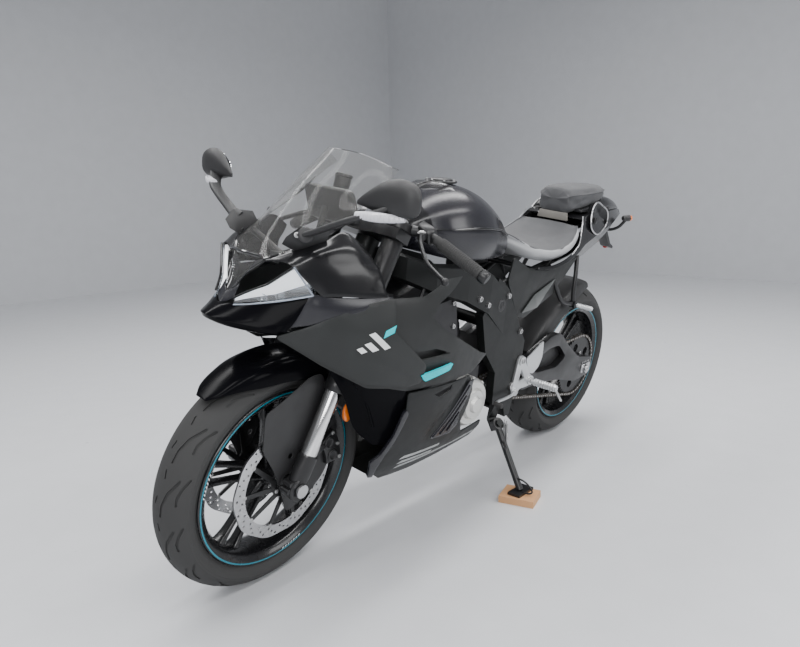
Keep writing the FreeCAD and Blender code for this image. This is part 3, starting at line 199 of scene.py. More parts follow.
@dataclass(frozen=True)
class Finish:
    """One finish, made of a shader and a grain.

    Attributes:
        name: what the finish is called.
        colour: base colour, linear.
        rough: mean roughness.
        metal: 0 for paint, plastic and rubber, 1 for bare metal.
        coat: strength of a clear coat.
        sheen: strength of a cloth-like sheen.
        clear: share of light that passes through.
        glow: strength of emitted light.
        grain: kind of fine surface.
        scale: grain size, in repeats per metre.
        depth: grain depth, in metres.
        vary: share by which the colour varies.
        specular: specular level.
        ior: index of refraction.
    """

    name: str
    colour: Triple
    rough: float = 0.4
    metal: float = 0.0
    coat: float = 0.0
    sheen: float = 0.0
    clear: float = 0.0
    glow: float = 0.0
    grain: Grain = Grain.SMOOTH
    scale: float = 120.0
    depth: float = 0.0002
    vary: float = 0.12
    specular: float = 0.5
    ior: float = 1.5

    def material(self) -> bpy.types.Material:
        """Builds the material, or returns the one already built.

        Returns:
            The material.
        """
        made = bpy.data.materials.get(self.name)
        if made is not None:
            return made
        made = bpy.data.materials.new(self.name)
        made.use_nodes = True
        shader = made.node_tree.nodes["Principled BSDF"]
        sockets = {
            "Metallic": self.metal, "Coat Weight": self.coat, "Coat Roughness": COAT_ROUGH,
            "Sheen Weight": self.sheen, "Specular IOR Level": self.specular,
            "Transmission Weight": self.clear, "IOR": self.ior,
        }
        for socket, value in sockets.items():
            shader.inputs[socket].default_value = value
        if self.glow > 0.0:
            shader.inputs["Emission Color"].default_value = (*self.colour, 1.0)
            shader.inputs["Emission Strength"].default_value = self.glow
        self._colour(made.node_tree, shader)
        self._surface(made.node_tree, shader)
        return made

    @staticmethod
    def _noise(tree: bpy.types.NodeTree, scale: float, stretch: Triple = PLAIN) -> bpy.types.Node:
        """A noise texture in the piece's own space.

        Args:
            tree: the material's nodes.
            scale: repeats per metre.
            stretch: extra repeats along each axis.

        Returns:
            The noise node.
        """
        where = tree.nodes.new("ShaderNodeTexCoord")
        turn = tree.nodes.new("ShaderNodeMapping")
        turn.inputs["Scale"].default_value = stretch
        noise = tree.nodes.new("ShaderNodeTexNoise")
        noise.inputs["Scale"].default_value = scale
        noise.inputs["Detail"].default_value = NOISE_DETAIL
        tree.links.new(where.outputs["Object"], turn.inputs["Vector"])
        tree.links.new(turn.outputs["Vector"], noise.inputs["Vector"])
        return noise

    def _colour(self, tree: bpy.types.NodeTree, shader: bpy.types.Node) -> None:
        """Links a slightly uneven base colour and roughness.

        Args:
            tree: the material's nodes.
            shader: its shader.
        """
        if self.grain is Grain.WOOD:
            noise = self._noise(tree, WOOD_TONE_SCALE, (1.0, 12.0, 12.0))
        else:
            noise = self._noise(tree, TONE_SCALE)
        ramp = tree.nodes.new("ShaderNodeValToRGB")
        shares = (1.0 - self.vary, 1.0 + self.vary)
        for element, position, share in zip(ramp.color_ramp.elements, TONE_LIMITS, shares):
            element.position = position
            element.color = (*(min(1.0, c * share) for c in self.colour), 1.0)
        tree.links.new(noise.outputs["Fac"], ramp.inputs["Fac"])
        tree.links.new(ramp.outputs["Color"], shader.inputs["Base Color"])
        smudge = self._noise(tree, SMUDGE_SCALE)
        spread = tree.nodes.new("ShaderNodeMapRange")
        spread.inputs["To Min"].default_value = max(0.0, self.rough * 0.8)
        spread.inputs["To Max"].default_value = min(1.0, self.rough * 1.25)
        tree.links.new(smudge.outputs["Fac"], spread.inputs["Value"])
        tree.links.new(spread.outputs["Result"], shader.inputs["Roughness"])

    def _texture(self, tree: bpy.types.NodeTree, kind: str) -> bpy.types.Node:
        """A texture of the grain's size in the piece's own space.

        Args:
            tree: the material's nodes.
            kind: the texture's node type.

        Returns:
            The texture node.
        """
        where = tree.nodes.new("ShaderNodeTexCoord")
        source = tree.nodes.new(kind)
        source.inputs["Scale"].default_value = self.scale
        tree.links.new(where.outputs["Object"], source.inputs["Vector"])
        return source

    def _surface(self, tree: bpy.types.NodeTree, shader: bpy.types.Node) -> None:
        """Links the grain as a bump.

        Args:
            tree: the material's nodes.
            shader: its shader.
        """
        if self.grain is Grain.SMOOTH:
            return
        if self.grain in (Grain.LEATHER, Grain.FLAKE):
            height = self._texture(tree, "ShaderNodeTexVoronoi").outputs["Distance"]
        elif self.grain is Grain.HATCHED:
            source = self._texture(tree, "ShaderNodeTexWave")
            source.bands_direction = "DIAGONAL"
            height = source.outputs["Fac"]
        else:
            stretches = {Grain.BRUSHED: (1.0, 30.0, 1.0), Grain.WOOD: (1.0, 20.0, 20.0)}
            height = self._noise(tree, self.scale, stretches.get(self.grain, PLAIN)).outputs["Fac"]
        bump = tree.nodes.new("ShaderNodeBump")
        bump.inputs["Strength"].default_value = BUMP_STRENGTH
        bump.inputs["Distance"].default_value = self.depth
        tree.links.new(height, bump.inputs["Height"])
        tree.links.new(bump.outputs["Normal"], shader.inputs["Normal"])


GLOSS_BLACK = Finish("gloss_black", (0.003, 0.003, 0.004), rough=0.12, coat=0.05, vary=0.1, specular=0.12)
DEEP_BLACK = Finish("deep_black", (0.003, 0.003, 0.004), rough=0.16, vary=0.1, specular=0.04)
PIANO_BLACK = Finish("smoked_black", (0.008, 0.008, 0.009), rough=0.2, coat=0.1, specular=0.3)
STEP_GREY = Finish("seat_step_grey", (0.17, 0.16, 0.145), rough=0.5)
FACET_GREY = Finish("facet_grey", (0.05, 0.056, 0.053), rough=0.3, coat=0.2)
MATTE_GREY = Finish(
    "matte_grey_panel", (0.014, 0.0155, 0.0155), rough=0.42, grain=Grain.MOULDED,
    scale=900.0, depth=0.00004, specular=0.35,
)
# Painted shade: a darker copy of the matte grey for the lower blades, which face down and lie in shadow
SHADED_LOWER_GREY = Finish(
    "matte_grey_lower_painted_shade", (0.006, 0.0068, 0.007), rough=0.42, grain=Grain.MOULDED,
    scale=900.0, depth=0.00004, specular=0.25,
)
REAR_GREY = Finish(
    "matte_grey_rear", (0.012, 0.013, 0.013), rough=0.46, grain=Grain.MOULDED,
    scale=900.0, depth=0.00004, specular=0.35,
)
BLACK_PLASTIC = Finish("black_moulding", (0.018, 0.018, 0.019), rough=0.5, grain=Grain.MOULDED, scale=500.0)
SATIN_FRAME = Finish(
    "satin_frame", (0.009, 0.010, 0.010), rough=0.42, metal=0.2, grain=Grain.CAST, scale=300.0, specular=0.3,
)
SATIN_BLACK = Finish("satin_black_metal", (0.011, 0.011, 0.012), rough=0.38, metal=0.2, coat=0.1)
RIM_BLACK = Finish("rim_black", (0.007, 0.007, 0.008), rough=0.26, coat=0.25, specular=0.4)
CAST_SILVER = Finish(
    "cast_silver", (0.56, 0.57, 0.57), rough=0.36, metal=1.0, grain=Grain.CAST, scale=420.0,
)
COVER_SILVER = Finish(
    "cover_silver", (0.60, 0.60, 0.58), rough=0.42, metal=0.75, grain=Grain.CAST, scale=380.0,
)
STEEL = Finish("drilled_steel", (0.55, 0.55, 0.56), rough=0.28, metal=1.0, grain=Grain.BRUSHED, scale=260.0)
CHROME = Finish(
    "bright_tube", (0.72, 0.72, 0.72), rough=0.12, metal=1.0, grain=Grain.HATCHED, scale=240.0, depth=0.00006,
)
BOLT_STEEL = Finish("bolt_steel", (0.5, 0.5, 0.5), rough=0.3, metal=1.0)
TYRE_RUBBER = Finish(
    "tyre_rubber", (0.021, 0.021, 0.022), rough=0.62, grain=Grain.MOULDED, scale=700.0, depth=0.0001,
)
GRIP_RUBBER = Finish(
    "grip_rubber", (0.05, 0.052, 0.055), rough=0.7, grain=Grain.LEATHER, scale=420.0, depth=0.0003,
)
SEAT_GREY = Finish(
    "seat_cover_dark", (0.055, 0.056, 0.06), rough=0.62, sheen=0.1, grain=Grain.LEATHER, scale=520.0,
)
SEAT_LIGHT = Finish(
    "seat_cover_light", (0.32, 0.325, 0.335), rough=0.6, sheen=0.1, grain=Grain.LEATHER, scale=520.0,
)
# Painted glow: the teal badge and accent are marks on the panels, not lamps, yet they give off a faint light
PAINTED_GLOW_TEAL = Finish("teal_accent_painted_glow", (0.0, 0.46, 0.52), rough=0.5, specular=0.2, glow=0.22)
RING_TEAL = Finish("teal_ring", (0.0, 0.17, 0.24), rough=0.4, coat=0.1)
STRIPE_GREY = Finish("stripe_grey", (0.36, 0.37, 0.37), rough=0.4)
WHITE_TICK = Finish("tick_white", (0.75, 0.76, 0.76), rough=0.4)
AMBER = Finish(
    "amber_reflector", (0.75, 0.16, 0.01), rough=0.15, coat=1.0, grain=Grain.HATCHED, scale=300.0,
)
RED_LENS = Finish("red_lens", (0.35, 0.01, 0.01), rough=0.12, coat=1.0)
LENS = Finish("clear_lens", (0.92, 0.94, 0.96), rough=0.03, clear=0.95, vary=0.0)
LENS_RIB = Finish("ribbed_lens", (0.62, 0.62, 0.66), rough=0.18, coat=0.6)
DRL_WHITE = Finish("lamp_white", (0.86, 0.88, 0.9), rough=0.25, glow=1.1)
REFLECTOR = Finish(
    "lamp_reflector", (0.4, 0.42, 0.44), rough=0.14, metal=1.0, grain=Grain.FLAKE, scale=260.0, depth=0.001,
)
SCREEN_TINT = Finish(
    "screen_tint", (0.82, 0.82, 0.81), rough=0.05, clear=0.97, vary=0.02, specular=0.5, ior=1.13,
)
SCREEN_BORDER = Finish("screen_border", (0.01, 0.01, 0.011), rough=0.12, coat=0.5)
MIRROR_GLASS = Finish("mirror_glass", (0.8, 0.82, 0.84), rough=0.02, metal=1.0)
DISPLAY = Finish("display_glass", (0.01, 0.012, 0.014), rough=0.06, coat=1.0)
BOARD_WOOD = Finish(
    "board_wood", (0.52, 0.24, 0.09), rough=0.6, grain=Grain.WOOD, scale=60.0, depth=0.0006, vary=0.3,
)
ENGINE_BLACK = Finish(
    "engine_black", (0.02, 0.02, 0.022), rough=0.45, metal=0.3, grain=Grain.CAST, scale=260.0,
)
EXHAUST_STEEL = Finish(
    "exhaust_steel", (0.3, 0.28, 0.26), rough=0.32, metal=1.0, grain=Grain.BRUSHED, scale=200.0,
)
CHAIN_STEEL = Finish("chain_steel", (0.1, 0.088, 0.075), rough=0.42, metal=0.9)
SPROCKET_DARK = Finish("sprocket_dark", (0.035, 0.035, 0.036), rough=0.4, metal=0.8)
TRIM_BLUE = Finish("lamp_trim", (0.32, 0.36, 0.42), rough=0.25, metal=0.6)


@dataclass
class Form:
    """A mesh in upright millimetres, before it is placed.

    Attributes:
        points: the corners.
        faces: the corners' numbers of each face.
        tones: the number of each face's finish.
    """

    points: list[Vector] = field(default_factory=list)
    faces: list[Face] = field(default_factory=list)
    tones: list[int] = field(default_factory=list)

    def add(self, other: "Form", tone: int | None = None) -> "Form":
        """Joins another form to this one.

        Args:
            other: the form to join.
            tone: the finish number for its faces, or None to keep theirs.

        Returns:
            This form.
        """
        start = len(self.points)
        self.points += [p.copy() for p in other.points]
        self.faces += [tuple(start + k for k in face) for face in other.faces]
        tones = other.tones or [0] * len(other.faces)
        self.tones += tones if tone is None else [tone] * len(other.faces)
        return self

    def mirrored(self) -> "Form":
        """The same form on the bike's right."""
        points = [Vector((p.x, -p.y, p.z)) for p in self.points]
        return Form(points, [tuple(reversed(face)) for face in self.faces], list(self.tones))

    def both(self) -> "Form":
        """This form with its mirror image."""
        return Form().add(self).add(self.mirrored())

    def moved(self, move: Matrix) -> "Form":
        """This form under a transform."""
        return Form([move @ p for p in self.points], list(self.faces), list(self.tones))

    def facing_from(self, inside: Place) -> "Form":
        """Turns all faces over if they mostly face a point inside.

        Args:
            inside: a point behind the faces.

        Returns:
            This form.
        """
        inside = Vector(inside)
        total = 0.0
        for face in self.faces:
            a, b, c = (self.points[k] for k in face[:3])
            total += (b - a).cross(c - a).dot(a - inside)
        if total < 0.0:
            self.faces = [tuple(reversed(face)) for face in self.faces]
        return self

    def thickened(self, depth: float) -> "Form":
        """Gives an open sheet a back, the given depth behind its faces, and closed edges.

        Args:
            depth: the thickness.

        Returns:
            The closed form.
        """
        normals = [Vector() for _ in self.points]
        edges: dict[tuple[int, int], tuple[int, int, int]] = {}
        for number, face in enumerate(self.faces):
            a, b, c = (self.points[k] for k in face[:3])
            normal = (b - a).cross(c - a)
            for k, corner in enumerate(face):
                normals[corner] += normal
                following = face[(k + 1) % len(face)]
                key = (min(corner, following), max(corner, following))
                edges[key] = (-1, -1, -1) if key in edges else (corner, following, number)
        count = len(self.points)
        back = [
            p - (n.normalized() if n.length > 0.0 else Vector((0.0, 0.0, 1.0))) * depth
            for p, n in zip(self.points, normals)
        ]
        tones = self.tones or [0] * len(self.faces)
        made = Form(self.points + back, list(self.faces), list(tones))
        made.faces += [tuple(count + k for k in reversed(face)) for face in self.faces]
        made.tones += tones
        for start, end, number in edges.values():
            if start >= 0:
                made.faces.append((end, start, start + count, end + count))
                made.tones.append(tones[number])
        return made


def flow(points: Sequence[Place], per_span: int, corners: Iterable[int] = ()) -> list[Vector]:
    """A smooth line through points.

    Args:
        points: the points that the line passes through.
        per_span: steps between one point and the next.
        corners: numbers of the points where the line turns sharply.

    Returns:
        The points of the line.
    """
    points = [Vector(p) for p in points]
    sharp = set(corners)
    last = len(points) - 1
    made = [points[0].copy()]
    for k in range(last):
        a, b = points[k], points[k + 1]
        before = points[k - 1] if k > 0 and k not in sharp else a - (b - a)
        after = points[k + 2] if k + 2 <= last and k + 1 not in sharp else b + (b - a)
        for step in range(1, per_span + 1):
            t = step / per_span
            made.append(0.5 * (
                2 * a + (b - before) * t + (2 * before - 5 * a + 4 * b - after) * t ** 2
                + (3 * a - before - 3 * b + after) * t ** 3
            ))
    return made


def smooth_rows(
    rows: Sequence[Sequence[Place]], along: int, across: int,
    row_corners: Iterable[int] = (), column_corners: Iterable[int] = (),
) -> list[list[Vector]]:
    """A fine grid of points through a coarse one.

    Args:
        rows: the coarse grid.
        along: steps from one row to the next.
        across: steps from one column to the next.
        row_corners: rows where the surface is creased.
        column_corners: columns where it is creased.

    Returns:
        The fine grid.
    """
    fine = [flow(row, across, column_corners) for row in rows]
    columns = [flow([row[k] for row in fine], along, row_corners) for k in range(len(fine[0]))]
    return [[column[k] for column in columns] for k in range(len(columns[0]))]


def grid_form(rows: Sequence[Sequence[Place]], closed: bool = False) -> Form:
    """A sheet over a grid of points, or a tube where each row is a closed ring.

    Args:
        rows: the points, row by row.
        closed: whether each row is a closed ring.

    Returns:
        The open sheet or tube.
    """
    form = Form([Vector(p) for row in rows for p in row])
    width = len(rows[0])
    spans = width if closed else width - 1
    for i in range(len(rows) - 1):
        for j in range(spans):
            n = (j + 1) % width
            form.faces.append((i * width + j, i * width + n, (i + 1) * width + n, (i + 1) * width + j))
    form.tones = [0] * len(form.faces)
    return form


def capped(form: Form, width: int) -> Form:
    """Closes both ends of a tube whose rings have width points.

    Args:
        form: the tube.
        width: number of points in a ring.

    Returns:
        The same form, closed.
    """
    last = len(form.points) - width
    form.faces.append(tuple(reversed(range(width))))
    form.faces.append(tuple(range(last, last + width)))
    form.tones += [0, 0]
    return form


def lofted(rings: Sequence[Sequence[Place]]) -> Form:
    """A closed solid through rings of as many points."""
    return capped(grid_form(rings, closed=True), len(rings[0]))


def directions(line: Sequence[Vector]) -> list[Vector]:
    """The direction of a line of points at each of them."""
    last = len(line) - 1
    return [(line[min(k + 1, last)] - line[max(k - 1, 0)]).normalized() for k in range(last + 1)]


def oval_ring(
    centre: Vector, wide: Vector, tall: Vector, steps: int, powers: Pair = (1.0, 1.0), shift: float = 0.0,
) -> list[Vector]:
    """A ring of points, from an ellipse to a softened rectangle.

    Args:
        centre: its middle.
        wide: half of its width, as a step from the middle.
        tall: half of its height.
        steps: number of points.
        powers: 1 for round and near 0 for square, along the width and the height.
        shift: share of a step by which the first point is turned.

    Returns:
        The points in order.
    """
    return [
        centre + wide * eased(math.cos(a), powers[0]) + tall * eased(math.sin(a), powers[1])
        for a in around(steps, shift)
    ]


def lathed(
    profile: Sequence[Pair], centre: Place, axis: Place, steps: int, closed: bool = False,
) -> Form:
    """A turned form.

    Args:
        profile: (offset along the axis, radius) pairs.
        centre: a point on the axis.
        axis: direction of the axis.
        steps: number of facets round it.
        closed: whether the profile's last point joins its first.

    Returns:
        The form, with its ends closed where the profile starts or ends on the axis.
    """
    way = Vector(axis).normalized()
    side = way.orthogonal().normalized()
    up = way.cross(side)
    line = list(profile) + (list(profile[:1]) if closed else [])
    rings = []
    for offset, radius in line:
        middle = Vector(centre) + way * offset
        rings.append([middle + (side * math.cos(a) + up * math.sin(a)) * radius for a in around(steps)])
    return grid_form(rings, closed=True)


def turned(profile: Sequence[Pair], start: Place, end: Place, steps: int = 32) -> Form:
    """A turned solid between two points.

    Args:
        profile: (share of the length, radius) pairs.
        start: one end of the axis.
        end: the other end.
        steps: number of facets round it.

    Returns:
        The solid.
    """
    axis = Vector(end) - Vector(start)
    line = [(share * axis.length, radius) for share, radius in profile]
    line = [(line[0][0], CORE)] + line + [(line[-1][0], CORE)]
    return lathed(line, start, axis, steps)


def rod(start: Place, end: Place, radius: float, steps: int = 24, edge: float = 0.8) -> Form:
    """A round bar with softened ends.

    Args:
        start: the middle of one end.
        end: the middle of the other end.
        radius: its radius.
        steps: number of facets round it.
        edge: width of the softened rims.

    Returns:
        The bar.
    """
    length = max((Vector(end) - Vector(start)).length, 1e-6)
    cut = min(edge, radius * 0.4, length * 0.3) / length
    profile = [(0.0, radius - cut * length), (cut, radius), (1.0 - cut, radius), (1.0, radius - cut * length)]
    return turned(profile, start, end, steps)


def piped(path: Sequence[Place], radius: float, sides: int = 14) -> Form:
    """A closed round tube along a line of points.

    Args:
        path: the points of its middle line.
        radius: its radius.
        sides: number of facets round it.

    Returns:
        The tube.
    """
    line = [Vector(p) for p in path]
    ways = directions(line)
    side = ways[0].orthogonal().normalized()
    rings = []
    for point, way in zip(line, ways):
        side = (side - way * side.dot(way)).normalized()
        up = way.cross(side)
        rings.append([point + (side * math.cos(a) + up * math.sin(a)) * radius for a in around(sides)])
    return lofted(rings)


def bolt(place: Place, way: Place, radius: float, height: float) -> Form:
    """A cap screw with a hexagon socket, seated at place and facing way.

    Args:
        place: the middle of its seat.
        way: where its head faces.
        radius: radius of the head.
        height: height of the head.

    Returns:
        The screw.
    """
    rim = ((0.0, radius), (height - 0.8, radius), (height, radius - 0.8), (height, radius * 0.55))
    socket = ((height, radius * 0.55), (height * 0.35, radius * 0.5), (height * 0.35, CORE))
    return lathed(rim, place, way, 20).add(lathed(socket, place, way, 6))


def flat_fill(
    outline: Sequence[Pair], holes: Sequence[Sequence[Pair]], spacing: float,
) -> tuple[list[Pair], list[Face]]:
    """Fills an outline with triangles.

    Args:
        outline: its corners, in order.
        holes: outlines that are left open.
        spacing: distance between inner points, or 0 for none.

    Returns:
        The points and the triangles.
    """
    loops = [list(outline)] + [list(hole) for hole in holes]
    points: list[Pair] = []
    edges: list[tuple[int, int]] = []
    for loop in loops:
        start = len(points)
        points += loop
        edges += [(start + k, start + (k + 1) % len(loop)) for k in range(len(loop))]
    if spacing > 0.0:
        low_u, high_u = min(p[0] for p in outline), max(p[0] for p in outline)
        low_v, high_v = min(p[1] for p in outline), max(p[1] for p in outline)
        rim = [Vector(p) for p in points]
        row = 0
        v = low_v + spacing * 0.5
        while v < high_v:
            u = low_u + (spacing * 0.5 if row % 2 else spacing)
            while u < high_u:
                here = Vector((u, v))
                if inside_loop(here, outline) and not any(inside_loop(here, hole) for hole in holes):
                    if all((here - p).length > spacing * 0.45 for p in rim):
                        points.append((u, v))
                u += spacing
            v += spacing * 0.87
            row += 1
    made = delaunay_2d_cdt([Vector(p) for p in points], edges, [], 0, 1e-4)
    corners = [(p.x, p.y) for p in made[0]]
    faces = []
    for face in made[2]:
        middle = sum((Vector(corners[k]) for k in face), Vector((0.0, 0.0))) / len(face)
        if inside_loop(middle, outline) and not any(inside_loop(middle, hole) for hole in holes):
            faces.append(tuple(face))
    return corners, faces


def inside_loop(point: Vector, loop: Sequence[Pair]) -> bool:
    """Whether a flat point lies within a closed outline.

    Args:
        point: the point.
        loop: the outline's corners.

    Returns:
        True where it lies within.
    """
    within = False
    for (u1, v1), (u2, v2) in zip(loop, list(loop[1:]) + [loop[0]]):
        if (v1 > point.y) != (v2 > point.y) and point.x < (u2 - u1) * (point.y - v1) / (v2 - v1) + u1:
            within = not within
    return within


def stepped(outline: Sequence[Pair], step: float) -> list[Pair]:
    """An outline with points added along its sides.

    Args:
        outline: its corners.
        step: the greatest distance.

    Returns:
        The new outline.
    """
    made: list[Pair] = []
    for (u1, v1), (u2, v2) in zip(outline, list(outline[1:]) + [outline[0]]):
        count = max(1, int(math.hypot(u2 - u1, v2 - v1) / step))
        made += [(u1 + (u2 - u1) * k / count, v1 + (v2 - v1) * k / count) for k in range(count)]
    return made


def rounded(outline: Sequence[Pair], radius: float, steps: int = 4) -> list[Pair]:
    """An outline with its corners rounded.

    Args:
        outline: its corners.
        radius: length taken off each side at a corner, limited by the side.
        steps: points on each rounded corner, less one.

    Returns:
        The new outline.
    """
    made: list[Pair] = []
    count = len(outline)
    for k in range(count):
        corner = Vector(outline[k])
        before = Vector(outline[k - 1]) - corner
        after = Vector(outline[(k + 1) % count]) - corner
        reach = min(radius, before.length * 0.45, after.length * 0.45)
        start = corner + before.normalized() * reach
        end = corner + after.normalized() * reach
        for step in range(steps + 1):
            t = step / steps
            p = start * (1 - t) ** 2 + corner * 2 * t * (1 - t) + end * t ** 2
            made.append((p.x, p.y))
    return made


def circle(u: float, v: float, radius: float, steps: int) -> list[Pair]:
    """A round outline."""
    return [(u + radius * math.cos(a), v + radius * math.sin(a)) for a in around(steps)]


def slab(
    outline: Sequence[Pair], low: float, high: float, holes: Sequence[Sequence[Pair]] = (),
    bend: Callable[[float, float], float] | None = None,
) -> Form:
    """A side-view outline of (x, z) points, extruded across the bike.

    Args:
        outline: its corners.
        low: the nearer y.
        high: the farther y.
        holes: outlines that are left open.
        bend: a shift of y for each place, or None for a flat slab.

    Returns:
        The solid.
    """
    corners, faces = flat_fill(outline, holes, 0.0)

    def shift(u: float, v: float) -> float:
        """The slab's own bend at a place."""
        return bend(u, v) if bend else 0.0

    front = Form([Vector((u, high + shift(u, v), v)) for u, v in corners], faces, [0] * len(faces))
    return front.facing_from((corners[0][0], low - 1000.0, corners[0][1])).thickened(high - low)


# Edges whose faces meet at a sharper angle are softened
SOFTENED_ABOVE = math.radians(48.0)
# Metres within which corners are joined, and below which an edge is dropped
WELD_WITHIN = 2e-5
EMPTY_BELOW = 1e-6


class Workshop:
    """Places forms in the frame and dresses them."""

    def __init__(self, posture: Posture) -> None:
        """Keeps the posture that all pieces are placed by."""
        self.posture = posture

    def fit(
        self, name: str, form: Form, finishes: Sequence[Finish], body: Body,
        replaces: Sequence[str] = (), edge: float = 0.0, smooth: float = 38.0,
    ) -> bpy.types.Object:
        """Makes a piece from a form.

        Args:
            name: the piece's name.
            form: its shape in upright millimetres.
            finishes: its finishes, by the form's tone numbers.
            body: the body that it rides on.
            replaces: the solids that it stands for.
            edge: width of softened edges, in millimetres.
            smooth: sharpest angle that is shaded smooth, in degrees.

        Returns:
            The piece.
        """
        place = self.posture.of(body)
        mesh = bpy.data.meshes.new(name)
        mesh.from_pydata([place @ p for p in form.points], [], form.faces)
        for finish in finishes:
            mesh.materials.append(finish.material())
        if len(form.tones) == len(mesh.polygons):
            mesh.polygons.foreach_set("material_index", form.tones)
        self._weld(mesh)
        piece = bpy.data.objects.new(name, mesh)
        bpy.context.scene.collection.objects.link(piece)
        if edge > 0.0:
            self._soften(piece, edge)
        self._shade(piece.data, smooth)
        if replaces:
            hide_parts(*replaces)
        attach(piece, body.value)
        LOG.info("%s: %d faces on %s", name, len(piece.data.polygons), body.value)
        return piece

    @staticmethod
    def _weld(mesh: bpy.types.Mesh) -> None:
        """Joins corners that fall together and drops empty faces.

        Args:
            mesh: the mesh to clean.
        """
        work = bmesh.new()
        work.from_mesh(mesh)
        bmesh.ops.remove_doubles(work, verts=work.verts, dist=WELD_WITHIN)
        bmesh.ops.dissolve_degenerate(work, edges=work.edges, dist=EMPTY_BELOW)
        work.to_mesh(mesh)
        work.free()

    @staticmethod
    def _soften(piece: bpy.types.Object, edge: float) -> None:
        """Rounds a piece's sharp edges.

        Args:
            piece: the piece.
            edge: width of the rounding, in millimetres.
        """
        bevel = piece.modifiers.new("edge", "BEVEL")
        bevel.width = edge * MM
        bevel.segments = 2
        bevel.limit_method = "ANGLE"
        bevel.angle_limit = SOFTENED_ABOVE
        bevel.harden_normals = False
        bpy.context.view_layer.update()
        graph = bpy.context.evaluated_depsgraph_get()
        made = bpy.data.meshes.new_from_object(piece.evaluated_get(graph))
        piece.modifiers.clear()
        piece.data = made

    @staticmethod
    def _shade(mesh: bpy.types.Mesh, smooth: float) -> None:
        """Shades a mesh smooth, with edges kept above an angle.

        Args:
            mesh: the mesh.
            smooth: sharpest angle that is shaded smooth, in degrees.
        """
        mesh.polygons.foreach_set("use_smooth", [True] * len(mesh.polygons))
        mesh.set_sharp_from_angle(angle=math.radians(smooth))
        mesh.update()

    @staticmethod
    def dress(node: str, finish: Finish) -> None:
        """Gives a carried-over node its finish.

        Args:
            node: the node's name.
            finish: its finish.
        """
        solid = frame["nodes"][node]
        if not solid.material_slots:
            solid.data.materials.append(finish.material())
        for slot in solid.material_slots:
            slot.material = finish.material()


NODE_FINISHES = {
    "air_ducts": GLOSS_BLACK, "chain": CHAIN_STEEL, "dashboard": BLACK_PLASTIC, "engine": ENGINE_BLACK,
    "engine_covers": COVER_SILVER, "exhaust": EXHAUST_STEEL, "fairing_stay": SATIN_BLACK,
    "fork_clamps": SATIN_BLACK, "fork_legs": SATIN_BLACK, "fork_shrouds": BLACK_PLASTIC,
    "frame": SATIN_FRAME, "front_axle": STEEL, "front_calipers": SATIN_BLACK, "front_discs": STEEL,
    "front_fender": GLOSS_BLACK, "front_rim": RIM_BLACK, "front_tyre": TYRE_RUBBER,
    "fuel_tank": GLOSS_BLACK, "grips": GRIP_RUBBER, "handlebars": SATIN_BLACK, "headlights": LENS,
    "lower_fairings": MATTE_GREY, "mirrors": BLACK_PLASTIC, "nose_beak": GLOSS_BLACK,
    "nose_fairing": GLOSS_BLACK, "pillion_pegs": SATIN_BLACK, "pillion_seat": SEAT_GREY,
    "radiator": SATIN_BLACK, "rear_axle": STEEL, "rear_caliper": SATIN_BLACK, "rear_disc": STEEL,
    "rear_hugger": BLACK_PLASTIC, "rear_rim": RIM_BLACK, "rear_shock": SATIN_BLACK,
    "rear_sprocket": SPROCKET_DARK, "rear_tyre": TYRE_RUBBER, "rearset_left": CAST_SILVER,
    "rearset_right": CAST_SILVER, "rider_seat": SEAT_GREY, "side_fairings": MATTE_GREY,
    "side_stand": SATIN_BLACK, "stand_board": BOARD_WOOD, "subframe": SATIN_BLACK,
    "swingarm": SATIN_BLACK, "swingarm_pivot": STEEL, "tail_fairing": PIANO_BLACK,
    "tail_lamp": RED_LENS, "undertray": BLACK_PLASTIC, "windscreen": SCREEN_TINT,
}


